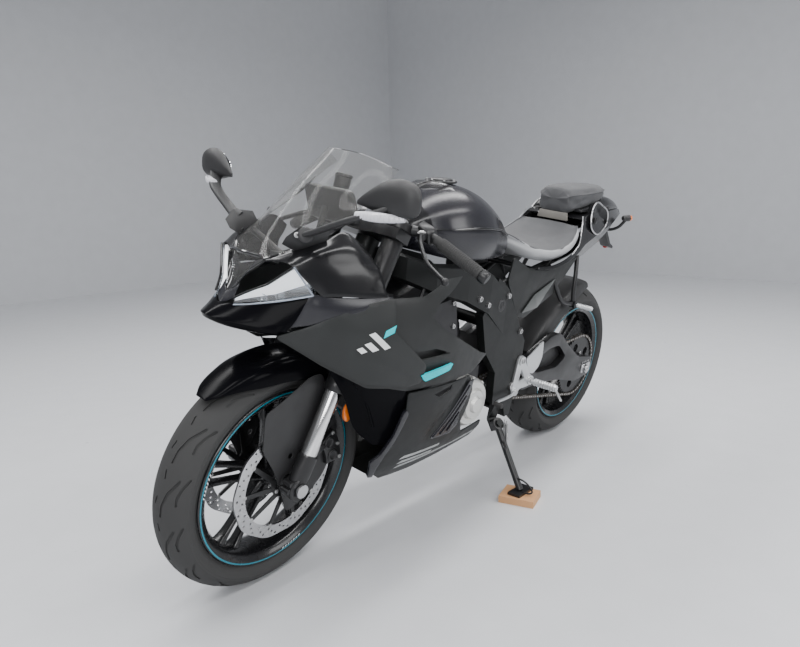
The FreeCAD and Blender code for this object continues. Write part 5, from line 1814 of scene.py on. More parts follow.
@dataclass
class Fork:
    """The upside-down fork: bright inner tubes, wide dark outers and cast feet.

    Attributes:
        inner_r: radius of the bright tubes.
        outer_r: radius of the dark tubes.
        join: where the dark tubes start, up from the axle.
        top: where they end.
        reflector: the left reflector's middle.
    """

    inner_r: float = 20.5
    outer_r: float = 27.0
    join: float = 248.0
    top: float = 690.0
    reflector: Triple = (1262, 121, 466)

    def build(self, shop: Workshop) -> None:
        """Makes both legs, the axle ends and the reflectors.

        Args:
            shop: the workshop.
        """
        inner = [(0, self.inner_r), (1, self.inner_r)]
        leg = Form()
        leg.add(turned(inner, fork_point(50, FORK_Y), fork_point(self.join + 20, FORK_Y), 40), 0)
        r = self.outer_r
        outer = [
            (0.0, r - 2.5), (0.008, r), (0.05, r), (0.054, r - 0.8), (0.50, r - 0.8), (0.506, r),
            (0.985, r), (1.0, r - 3.0),
        ]
        leg.add(turned(outer, fork_point(self.join, FORK_Y), fork_point(self.top, FORK_Y), 48), 1)
        leg.add(self._foot(), 1)
        cap = fork_point(self.top, FORK_Y)
        leg.add(turned([(0, 20), (0.7, 20), (1, 17)], cap, cap + STEER_UP * 7, 6), 2)
        shop.fit(
            "fork_tubes", leg.both(), (CHROME, SATIN_BLACK, STEEL), Body.STEERING,
            replaces=("fork_legs",), edge=0.9, smooth=40.0,
        )
        self._reflectors(shop)

    @staticmethod
    def _foot() -> Form:
        """The cast foot that clamps the axle.

        Returns:
            The left foot.
        """
        form = Form()
        axle = FRONT_AXLE + ACROSS * FORK_Y
        # up from the axle, half width, half depth
        table = ((-20, 16, 18), (10, 19, 26), (40, 22, 27), (66, 24, 25), (84, 24.5, 24.5))
        rings = [
            oval_ring(fork_point(along, FORK_Y), ACROSS * half, STEER_FORWARD * depth, 24)
            for along, half, depth in table
        ]
        form.add(lofted(smooth_rows(rings, 4, 1)))
        clamp = [(-18, CORE), (-18, 27), (-15, 30), (15, 30), (18, 27), (18, 17), (14, 16)]
        form.add(lathed(clamp, axle, ACROSS, 48))
        for along in (-24, 24):
            lug = axle + STEER_FORWARD * 30 + STEER_UP * (along * 0.35)
            form.add(rod(lug - ACROSS * 14, lug + ACROSS * 14, 7.0))
        corners = ((-6, -12), (6, -12), (6, 12), (-6, 12))
        form.add(lofted([
            [fork_point(along, FORK_Y - 16 + dy, ahead + da) for dy, da in corners]
            for along, ahead in ((52, -14), (84, -42), (108, -58))
        ]))
        return form

    def _reflectors(self, shop: Workshop) -> None:
        """Makes the oval amber reflectors on their brackets behind the legs.

        Args:
            shop: the workshop.
        """
        x, y, z = self.reflector
        oval = [(x + 17 * math.cos(a) * 0.86, z + 25 * math.sin(a)) for a in around(28)]
        wider = [(x + (u - x) * 1.14, z + (v - z) * 1.1) for u, v in oval]
        form = Form().add(slab(oval, y, y + 7), 0).add(slab(wider, y - 5, y + 1), 1)
        form.add(piped([(x, y - 3, z), (1292, 116, 492), (1312, 112, 500)], 4.0, 8), 1)
        shop.fit(
            "fork_reflectors", form.both(), (AMBER, BLACK_PLASTIC), Body.STEERING, edge=1.6, smooth=40.0,
        )


@dataclass
class TreadCell:
    """One repeat of a tyre's tread, flat: u along the tyre, v across it.

    Attributes:
        pitch: length of the repeat.
        reach: half of its width.
        grooves: outlines on the left half, drawn again on the right half a step behind.
        depth: depth of the grooves.
        rows: steps across the tyre, along the repeat's ends.
    """

    pitch: float
    reach: float
    grooves: tuple[tuple[Pair, ...], ...]
    depth: float = 3.2
    rows: int = 14

    def flat(self) -> tuple[list[Triple], list[Face]]:
        """Fills the cell.

        Returns:
            Points as (u, v, depth below the tread) and the faces.
        """
        shapes = [rounded(g, 3.0, 2) for g in self.grooves]
        shift = self.pitch * 0.5
        other = []
        for shape in shapes:
            moved = [(u + shift, -v) for u, v in shape]
            if max(u for u, _ in moved) > self.pitch - 1.0:
                moved = [(u - self.pitch, v) for u, v in moved]
            if min(u for u, _ in moved) > 1.0:
                other.append(moved)
        shapes += other
        rim = [(0.0, -self.reach), (self.pitch, -self.reach), (self.pitch, self.reach), (0.0, self.reach)]
        edge: list[Pair] = []
        for (u1, v1), (u2, v2), count in zip(rim, rim[1:] + rim[:1], (8, self.rows, 8, self.rows)):
            edge += [(u1 + (u2 - u1) * k / count, v1 + (v2 - v1) * k / count) for k in range(count)]
        corners, faces = flat_fill(edge, shapes, 11.0)
        points = [(u, v, 0.0) for u, v in corners]
        for shape in shapes:
            start = len(points)
            count = len(shape)
            points += [(u, v, 0.0) for u, v in shape] + [(u, v, self.depth) for u, v in shape]
            for k in range(count):
                n = (k + 1) % count
                faces.append((start + k, start + n, start + count + n, start + count + k))
            low, inner = flat_fill(shape, [], 0.0)
            base = len(points)
            points += [(u, v, self.depth) for u, v in low]
            faces += [tuple(base + k for k in face) for face in inner]
        return points, faces


@dataclass
class Wheel:
    """A cast wheel with its tyre.

    Attributes:
        name: front or rear.
        body: the body that it turns with.
        axle: its centre.
        radius: outer radius of the tyre.
        half: half of the tyre's width.
        crown: radius of the tread across the tyre.
        rim_half: half of the rim's width between its lips.
        hub_half: half of the hub's length.
        first_angle: direction of the first pair of spokes, in degrees.
        repeats: number of tread repeats.
        grooves: the tread's grooves.
        ticks: whether white ticks stand beside the rim's stripe.
        lip_r: radius of the rim's lips.
        seat_r: radius of the tyre's seats.
        well_r: radius of the rim's well.
        spoke_pairs: number of pairs of spokes.
        valve_at: direction of the valve, in radians.
    """

    name: str
    body: Body
    axle: Vector
    radius: float
    half: float
    crown: float
    rim_half: float
    hub_half: float
    first_angle: float
    repeats: int
    grooves: tuple[tuple[Pair, ...], ...]
    ticks: bool = False
    lip_r: float = 232.0
    seat_r: float = 218.0
    well_r: float = 203.0
    spoke_pairs: int = 5
    valve_at: float = 1.2

    def build(self, shop: Workshop) -> None:
        """Makes the tyre and the rim."""
        self._tyre(shop)
        self._rim(shop)

    def _across(self, v: float, depth: float) -> tuple[float, float]:
        """The place of a tread point across the tyre.

        Args:
            v: distance from the middle of the tread.
            depth: depth below the tread.

        Returns:
            Its (y, radius).
        """
        turn = v / self.crown
        reach = self.crown - depth
        return reach * math.sin(turn), self.radius - self.crown + reach * math.cos(turn)

    def _tyre(self, shop: Workshop) -> None:
        """Makes the grooved tread with its sidewalls.

        Args:
            shop: the workshop.
        """
        edge = self.half - 2.0
        reach = self.crown * math.asin(edge / self.crown)
        cell = TreadCell(2 * math.pi * self.radius / self.repeats, reach, self.grooves)
        points, faces = cell.flat()
        form = Form()
        for repeat in range(self.repeats):
            start = len(form.points)
            for u, v, depth in points:
                y, r = self._across(v, depth)
                a = (u / cell.pitch + repeat) * 2 * math.pi / self.repeats
                form.points.append(self.axle + on_circle(a, r, y))
            form.faces += [tuple(start + k for k in face) for face in faces]
        form.tones = [0] * len(form.faces)
        edge_r = self._across(reach, 0.0)[1]
        bead = self.rim_half - 0.3
        for side in (1.0, -1.0):
            start = Vector((edge, edge_r))
            end = Vector((bead, self.lip_r + 4.0))
            wall = []
            for k in range(13):
                t = k / 12
                p = start.lerp(end, t)
                out = (end - start).orthogonal().normalized() * 4.5 * math.sin(math.pi * t)
                out = out if out.x > 0 else -out
                lift = 0.8 if k in (2, 9) else 0.0
                wall.append(((p.x + out.x + lift) * side, p.y + out.y))
            wall += [(bead * side, self.seat_r + 6.0), (bead * 0.8 * side, self.seat_r + 3.0)]
            form.add(lathed(wall, self.axle, ACROSS, 8 * self.repeats))
        shop.fit(
            f"{self.name}_tyre_treaded", form, (TYRE_RUBBER,), self.body, replaces=(f"{self.name}_tyre",),
            smooth=32.0,
        )

    def _spoke(self, angle_deg: float, side: float) -> Form:
        """One thin arm of a pair.

        Args:
            angle_deg: direction of its pair.
            side: 1 or -1, for the arm's side in the pair.

        Returns:
            The arm.
        """
        angle = math.radians(angle_deg)
        out = on_circle(angle, 1.0)
        along = Vector((-math.sin(angle), 0, math.cos(angle)))
        rings = []
        table = (
            # reach, aside, half width, half depth
            (24, 9, 11, 20), (40, 13, 9.5, 18), (66, 16, 7.0, 15), (100, 18, 6.0, 13), (140, 21, 6.0, 12.5),
            (172, 24, 7.0, 14), (192, 26.5, 9.5, 17), (self.well_r + 1, 28, 13.0, 21),
        )
        for reach, aside, width, depth in table:
            centre = self.axle + out * reach + along * (side * aside)
            rings.append(oval_ring(centre, along * width, ACROSS * depth, 16, (0.5, 0.6), 0.5))
        return lofted(smooth_rows(rings, 3, 1))

    def _rim(self, shop: Workshop) -> None:
        """Makes the barrel, the spokes, the hub and the coloured stripes.

        Args:
            shop: the workshop.
        """
        b, lip = self.rim_half, self.rim_half + 6.0
        outer, seat, well = self.lip_r, self.seat_r, self.well_r
        over = [
            (lip - 1.5, outer - 1.0), (lip - 3.5, outer), (b + 0.5, outer - 0.5), (b, outer - 4),
            (b, seat + 2), (b - 2, seat), (b * 0.64, seat - 2), (b * 0.5, well + 5), (b * 0.44, well + 3),
        ]
        under = [
            (b * 0.5, well - 3), (b * 0.8 - 1, seat - 12), (b - 3, seat - 9), (lip - 1, outer - 10.5),
            (lip, outer - 9), (lip, outer - 3),
        ]
        profile = over + [(-y, r) for y, r in reversed(over)] + [(-y, r) for y, r in reversed(under)] + under
        form = Form().add(lathed(profile, self.axle, ACROSS, 120, closed=True), 0)
        for pair in range(self.spoke_pairs):
            angle = self.first_angle + 360.0 * pair / self.spoke_pairs
            form.add(self._spoke(angle, 1.0), 0).add(self._spoke(angle, -1.0), 0)
        h = self.hub_half
        half = [(16, 35), (h * 0.5, 31), (h * 0.7, 27), (h - 3, 26), (h, 24), (h, 14)]
        hub = [(-y, r) for y, r in reversed(half)] + half
        form.add(lathed(hub, self.axle, ACROSS, 40, closed=True), 0)
        for side in (1.0, -1.0):
            face = side * (lip + 0.25)
            stripe = [(face, 223.6), (face + side * 0.3, 224.0), (face + side * 0.3, 227.0), (face, 227.4)]
            form.add(lathed(stripe, self.axle, ACROSS, 120), 1)
            if self.ticks:
                form.add(self._tick_marks(face), 2)
        out = on_circle(self.valve_at, 1.0)
        form.add(rod(self.axle + out * (well - 4), self.axle + out * (well - 34), 4.2), 3)
        shop.fit(
            f"{self.name}_rim_cast", form, (RIM_BLACK, RING_TEAL, WHITE_TICK, BOLT_STEEL), self.body,
            replaces=(f"{self.name}_rim",), smooth=36.0,
        )

    def _tick_marks(self, face: float) -> Form:
        """Short slanted white marks in three groups beside the stripe.

        Args:
            face: the y of the rim's face.

        Returns:
            The marks of one side.
        """
        made = Form()
        wide = math.radians(0.9)
        for group in range(3):
            for k in range(7):
                a = math.radians(120 * group + 8 + 2.4 * k)
                corners = ((218.5, a), (222.4, a + wide), (222.4, a + 2 * wide), (218.5, a + wide))
                quad = [self.axle + on_circle(t, r, face) for r, t in corners]
                flat = Form(quad, [(0, 1, 2, 3)], [0]).facing_from(self.axle)
                made.add(flat.thickened(0.3))
        return made


FRONT_GROOVES = (
    ((4, 9), (34, 11), (66, 21), (104, 42), (102, 47), (62, 27), (32, 17), (5, 15)),
    ((40, 44), (62, 43), (86, 50), (112, 62), (110, 67), (82, 55), (60, 49), (41, 49)),
    ((92, 6), (112, 2), (115, 5), (95, 11)),
)
REAR_GROOVES = (
    ((8, 20), (38, 20), (76, 34), (116, 56), (113, 61), (72, 41), (38, 27), (9, 27)),
    ((52, 70), (80, 70), (108, 80), (128, 92), (125, 97), (102, 86), (78, 77), (53, 77)),
    ((104, 12), (126, 4), (129, 8), (107, 18)),
)


@dataclass
class Disc:
    """A drilled disc on its carrier.

    Attributes:
        name: the piece's name.
        body: the wheel's body.
        node: the solid that it stands for.
        axle: its centre.
        radius: outer radius.
        low: its nearer face.
        band: width of the swept ring.
        bolt_r: radius of the carrier's bolt circle.
        pair: whether the other side has one too.
        thick: thickness of the rotor.
    """

    name: str
    body: Body
    node: str
    axle: Vector
    radius: float
    low: float
    band: float
    bolt_r: float
    pair: bool
    thick: float = 4.5

    def build(self, shop: Workshop) -> None:
        """Makes the rotor, the carrier and their fasteners.

        Args:
            shop: the workshop.
        """
        cx, cz = self.axle.x, self.axle.z
        inner = self.radius - self.band
        rim = []
        for a in around(120):
            r = self.radius - 1.6 + 1.6 * math.cos(10 * a)
            rim.append((cx + r * math.cos(a), cz + r * math.sin(a)))
        holes = [circle(cx, cz, inner, 60)]
        count = 22 if self.radius > 120 else 16
        for share, offset in ((0.28, 0.0), (0.5, 0.33), (0.74, 0.66)):
            r = self.radius - self.band * share
            for a in around(count, offset):
                holes.append(circle(cx + r * math.cos(a), cz + r * math.sin(a), 3.0, 9))
        form = Form().add(slab(rim, self.low, self.low + self.thick, holes), 0)
        form.add(self._carrier(), 1)
        for a in around(10):
            place = Vector((cx + (inner + 1) * math.cos(a), self.low - 0.6, cz + (inner + 1) * math.sin(a)))
            form.add(rod(place, place + ACROSS * (self.thick + 1.2), 5.6, 16), 2)
        face = self.low + (self.thick if self.low > 0 else 0.0)
        for a in around(5, 0.5):
            place = (cx + self.bolt_r * math.cos(a), face, cz + self.bolt_r * math.sin(a))
            form.add(bolt(place, ACROSS * math.copysign(1, self.low), 5.5, 4.0), 2)
        shop.fit(
            self.name, form.both() if self.pair else form, (STEEL, SATIN_BLACK, BOLT_STEEL), self.body,
            replaces=(self.node,), smooth=36.0,
        )

    def _carrier(self) -> Form:
        """The dark carrier: a hub ring with slanted arms.

        Returns:
            The carrier.
        """
        cx, cz = self.axle.x, self.axle.z
        inner = self.radius - self.band
        low, high = self.low + 0.6, self.low + self.thick - 0.6
        ring = slab(circle(cx, cz, self.bolt_r + 9, 48), low, high, [circle(cx, cz, self.bolt_r - 9, 40)])
        for a in around(10):
            b = a - 0.32
            start = Vector((cx + (self.bolt_r + 6) * math.cos(b), 0, cz + (self.bolt_r + 6) * math.sin(b)))
            end = Vector((cx + (inner + 3) * math.cos(a), 0, cz + (inner + 3) * math.sin(a)))
            side = (end - start).cross(ACROSS).normalized()
            arm = [start + side * 7, start - side * 7, end - side * 5, end + side * 5]
            ring.add(slab([(p.x, p.z) for p in arm], low, high))
        return ring


def arc_block(
    centre: Vector, inner: float, outer: float, from_deg: float, to_deg: float, low: float, high: float,
    steps: int = 12,
) -> Form:
    """A block that follows a circle round an axle.

    Args:
        centre: the axle.
        inner: the nearer radius.
        outer: the farther radius.
        from_deg: its first direction.
        to_deg: its last direction.
        low: the nearer y.
        high: the farther y.
        steps: number of facets along it.

    Returns:
        The solid.
    """
    rings = []
    for k in range(steps + 1):
        a = math.radians(from_deg + (to_deg - from_deg) * k / steps)
        way = on_circle(a, 1.0)
        rings.append([
            centre + way * r + ACROSS * y
            for r, y in ((inner, low), (outer, low), (outer, high), (inner, high))
        ])
    return lofted(rings)


@dataclass
class FrontCalipers:
    """The four-piston calipers behind the legs.

    Attributes:
        mid: the middle of the left disc, to the bike's left.
        cap_r: how far from the axle the pistons' caps stand.
        screw_r: how far the screws stand.
    """

    mid: float = 64.25
    cap_r: float = 140.0
    screw_r: float = 162.0

    def build(self, shop: Workshop) -> None:
        """Makes both calipers with their caps and screws.

        Args:
            shop: the workshop.
        """
        mid = self.mid
        form = Form()
        form.add(arc_block(FRONT_AXLE, 118, 168, 141, 175, mid + 5.5, mid + 26), 0)
        form.add(arc_block(FRONT_AXLE, 118, 168, 141, 175, mid - 27, mid - 5.5), 0)
        form.add(arc_block(FRONT_AXLE, 157, 171, 143, 173, mid - 22, mid + 22), 0)
        cap = [(0, 17), (3, 17), (4.5, 15), (4.5, 11), (3, 10), (3, CORE)]
        for angle in (149, 167):
            place = FRONT_AXLE + on_circle(math.radians(angle), self.cap_r, mid + 25)
            form.add(lathed(cap, place, ACROSS, 28), 0)
        for angle in (143, 158, 173):
            place = FRONT_AXLE + on_circle(math.radians(angle), self.screw_r, mid + 26)
            form.add(bolt(place, ACROSS, 5.0, 4.0), 1)
        shop.fit(
            "front_caliper_units", form.both(), (SATIN_BLACK, BOLT_STEEL), Body.STEERING,
            replaces=("front_calipers",), edge=2.4, smooth=40.0,
        )


def section_flow(
    rows: Sequence[tuple[float, Sequence[Pair]]], along: int, across: int, corners: Iterable[int] = (),
) -> list[list[Vector]]:
    """Fine cross-sections through coarse half sections.

    Args:
        rows: station, then the left half's (half-width, height) points.
        along: steps from one station to the next.
        across: steps from one point to the next.
        corners: points where the section turns sharply.

    Returns:
        Whole closed sections of as many points.
    """
    halves = [[(x, y, z) for y, z in half] for x, half in rows]
    made = []
    for row in smooth_rows(halves, along, across, (), corners):
        left = [Vector((row[0].x, p.y, p.z)) for p in row]
        made.append(left + [Vector((p.x, -p.y, p.z)) for p in reversed(left)])
    return made


@dataclass
class Tank:
    """The gloss tank with its grey top cover and the filler cap.

    Attributes:
        rows: station, then (half-width, height) from the low edge to the ridge.
    """

    rows: tuple[tuple[float, tuple[Pair, ...]], ...] = (
        (1020, ((60, 844), (80, 866), (88, 890), (74, 908), (44, 920), (1, 928))),
        (1000, ((78, 840), (94, 866), (100, 896), (84, 926), (50, 948), (1, 958))),
        (940, ((120, 824), (140, 862), (146, 900), (120, 950), (66, 984), (1, 996))),
        (850, ((138, 812), (158, 856), (160, 900), (130, 958), (72, 1000), (1, 1012))),
        (750, ((134, 808), (152, 850), (152, 894), (124, 944), (66, 982), (1, 994))),
        (660, ((108, 804), (120, 838), (118, 872), (96, 914), (54, 944), (1, 954))),
        (600, ((84, 800), (94, 826), (92, 852), (74, 884), (42, 906), (1, 914))),
        (572, ((70, 802), (78, 822), (76, 842), (60, 866), (34, 884), (1, 892))),
    )

    def build(self, shop: Workshop) -> None:
        """Makes the shell, the cover and the cap.

        Args:
            shop: the workshop.
        """
        rings = section_flow(self.rows, 5, 4, corners=(2,))
        shell = lofted(rings)
        shop.fit(
            "tank_shell", shell, (GLOSS_BLACK,), Body.CHASSIS, replaces=("fuel_tank",),
            edge=2.0, smooth=34.0,
        )
        self._cover(shop)
        self._cap(shop)

    def _cover(self, shop: Workshop) -> None:
        """Makes the raised cover over the front of the tank, with its two shoulders.

        Args:
            shop: the workshop.
        """
        table = (
            (1030, ((0, 934), (34, 930), (62, 918), (82, 894))),
            (1000, ((0, 964), (50, 954), (88, 928), (106, 894))),
            (930, ((0, 1002), (62, 988), (112, 952), (140, 900))),
            (872, ((0, 1015), (60, 1008), (110, 974), (148, 926))),
        )
        rows = [[(x, y, z) for y, z in points] for x, points in table]
        sheet = grid_form(smooth_rows(rows, 5, 5, column_corners=(1,)))
        cover = sheet.facing_from((900, 0, 800)).thickened(SHELL)
        shop.fit("tank_front_cover", cover.both(), (PIANO_BLACK,), Body.CHASSIS, edge=1.0, smooth=30.0)
        edge = flow([
            (1000, 106, 900), (930, 146, 902), (850, 164, 906), (760, 158, 898),
            (690, 136, 884), (640, 116, 868),
        ], 6)
        shop.fit("tank_side_line", piped(edge, 3.2, 8).both(), (PIANO_BLACK,), Body.CHASSIS)

    def _cap(self, shop: Workshop) -> None:
        """Makes the filler cap with its ring of screws and lock flap.

        Args:
            shop: the workshop.
        """
        centre = Vector((838, 0, 1009))
        way = Vector((0.05, 0.0, 1.0))
        rim = [(0, CORE), (0, 46), (4, 46), (6, 44), (6, 36), (4, 35), (4, CORE)]
        form = Form().add(lathed(rim, centre, way, 48), 0)
        form.add(lathed([(4, 33), (9, 32), (10.5, 28), (10.5, CORE)], centre, way, 40), 0)
        flap = slab([(-20, -7), (16, -7), (20, 0), (16, 7), (-20, 7)], 0, 4)
        turn = Matrix.Translation(centre + Vector((0, 0, 10))) @ Matrix.Rotation(math.radians(-90), 4, "X")
        form.add(flap.moved(turn), 0)
        for a in around(7):
            place = centre + Vector((40.5 * math.cos(a), 40.5 * math.sin(a), 5.6))
            form.add(bolt(place, way, 3.2, 2.4), 1)
        shop.fit("filler_cap", form, (SATIN_BLACK, BOLT_STEEL), Body.CHASSIS, edge=0.6, smooth=36.0)


@dataclass
class Seats:
    """The two padded seats, swelled from slightly smaller shapes.

    Attributes:
        rider: sections of the rider's seat, from the low edge to the middle of the top.
        pillion: sections of the passenger's seat.
        seam: the point of the rider's sections where the light side band meets the dark top.
        across: steps from one point of a section to the next.
        along: steps from one section to the next.
        steps: steps of the cloth.
        pressure: pressure inside the cloth.
        mass: mass of one of its points.
        stiffness: its stiffness when pulled and when pressed.
        hold: how firmly the seams are held, up to 1.
    """

    rider: tuple[tuple[float, tuple[Pair, ...]], ...] = (
        (584, ((40, 826), (48, 842), (46, 866), (34, 882), (1, 890))),
        (545, ((62, 806), (76, 824), (74, 852), (52, 868), (1, 874))),
        (490, ((96, 778), (116, 796), (108, 822), (72, 836), (1, 840))),
        (420, ((122, 766), (144, 786), (134, 808), (86, 818), (1, 820))),
        (350, ((128, 768), (152, 790), (142, 810), (92, 818), (1, 819))),
        (285, ((126, 778), (148, 802), (138, 824), (90, 832), (1, 832))),
        (230, ((114, 798), (136, 826), (126, 852), (82, 862), (1, 862))),
        (200, ((104, 818), (122, 844), (112, 872), (72, 882), (1, 884))),
        (188, ((98, 834), (108, 852), (100, 872), (66, 880), (1, 882))),
    )
    pillion: tuple[tuple[float, tuple[Pair, ...]], ...] = (
        (192, ((34, 914), (48, 932), (50, 964), (36, 988), (1, 994))),
        (176, ((50, 908), (66, 928), (64, 972), (48, 998), (1, 1004))),
        (120, ((66, 918), (82, 938), (80, 978), (60, 1004), (1, 1010))),
        (30, ((74, 938), (88, 956), (84, 986), (62, 1010), (1, 1016))),
        (-50, ((62, 956), (74, 970), (68, 992), (48, 1011), (1, 1016))),
        (-88, ((40, 966), (50, 976), (46, 992), (32, 1004), (1, 1008))),
    )
    seam: int = 2
    across: int = 5
    along: int = 6
    steps: int = 20
    pressure: float = 4.0
    mass: float = 0.3
    stiffness: float = 8.0
    hold: float = 0.9

    def build(self, shop: Workshop) -> None:
        """Makes both seats."""
        self._pad(shop, "rider_seat_pad", self.rider, "rider_seat", (SEAT_GREY, SEAT_LIGHT), 7.0)
        self._pad(shop, "pillion_seat_pad", self.pillion, "pillion_seat", (SEAT_GREY, SEAT_GREY), 6.0)

    def _pad(
        self, shop: Workshop, name: str, rows: Sequence[tuple[float, Sequence[Pair]]], node: str,
        finishes: Sequence[Finish], cap: float,
    ) -> None:
        """Makes one pad: sections, a cloth step that swells it, then its piping.

        Args:
            shop: the workshop.
            name: the pad's name.
            rows: its sections.
            node: the solid that it stands for.
            finishes: the top and the side finish.
            cap: how far a point may swell, in millimetres.
        """
        rings = section_flow(rows, self.along, self.across)
        width = len(rings[0])
        form = grid_form(rings, closed=True)
        band = self.seam * self.across
        for number in range(len(form.faces)):
            column = number % width
            form.tones[number] = 1 if column < band or width - 2 - column < band else 0
        for ring in (rings[0], rings[-1]):
            self._close(form, ring, rings[0] is ring)
        pad = shop.fit(name, form, finishes, Body.CHASSIS, replaces=(node,), smooth=80.0)
        seam = [n for k in range(len(rings)) for n in (k * width + band, k * width + width - 1 - band)]
        place = shop.posture.of(Body.CHASSIS)
        held = [place @ form.points[n] for n in seam]
        self._swell(pad, held, cap * MM)
        piping = Form()
        for column in (band, width - 1 - band):
            points = [ring[column] for ring in rings]
            piping.add(piped([p + Vector((0, math.copysign(1.0, p.y), 1.0)) for p in points], 1.8, 8))
        shop.fit(f"{name}_piping", piping, (finishes[0],), Body.CHASSIS)

    @staticmethod
    def _close(form: Form, ring: Sequence[Vector], first: bool) -> None:
        """Closes an end of a pad with a fan of quads that shrinks to a line.

        Args:
            form: the pad.
            ring: the end's points.
            first: whether it is the front end.
        """
        count = len(ring)
        start = len(form.points)
        middle = sum(ring, Vector()) / count
        form.points += [p.copy() for p in ring]
        inner = len(form.points)
        form.points += [p.lerp(middle, 0.5) for p in ring]
        centre = len(form.points)
        form.points.append(middle)
        for k in range(count):
            n = (k + 1) % count
            quad = (start + n, start + k, inner + k, inner + n)
            fan = (inner + n, inner + k, centre)
            form.faces += [quad, fan] if first else [tuple(reversed(quad)), tuple(reversed(fan))]
            form.tones += [0, 0]

    def _swell(self, pad: bpy.types.Object, held: Sequence[Vector], cap: float) -> None:
        """Swells a pad by a short cloth step with its seams held.

        Args:
            pad: the closed pad.
            held: places of the seam's points.
            cap: how far a point may move, in metres.
        """
        body = pad.parent
        mesh = pad.data
        rest = [v.co.copy() for v in mesh.vertices]
        group = pad.vertex_groups.new(name="seams")
        marks = {tuple(round(c, 5) for c in p) for p in held}
        pinned = [v.index for v in mesh.vertices if tuple(round(c, 5) for c in v.co) in marks]
        if pinned:
            group.add(pinned, self.hold, "REPLACE")
        cloth = pad.modifiers.new("cloth", "CLOTH")
        cloth.settings.use_pressure = True
        cloth.settings.uniform_pressure_force = self.pressure
        cloth.settings.quality = 4
        cloth.settings.mass = self.mass
        cloth.settings.tension_stiffness = self.stiffness
        cloth.settings.compression_stiffness = self.stiffness
        cloth.settings.vertex_group_mass = "seams"
        cloth.settings.effector_weights.gravity = 0.0
        cloth.point_cache.frame_start = 1
        cloth.point_cache.frame_end = self.steps
        scene = bpy.context.scene
        for step in range(1, self.steps + 1):
            scene.frame_set(step)
        graph = bpy.context.evaluated_depsgraph_get()
        swelled = [v.co.copy() for v in pad.evaluated_get(graph).data.vertices]
        scene.frame_set(1)
        pad.modifiers.clear()
        for vertex, start, end in zip(mesh.vertices, rest, swelled):
            move = end - start
            vertex.co = start + (move.normalized() * min(move.length, cap) if move.length > 0 else move)
        mesh.update()
        pad.vertex_groups.clear()
        pad.parent = body


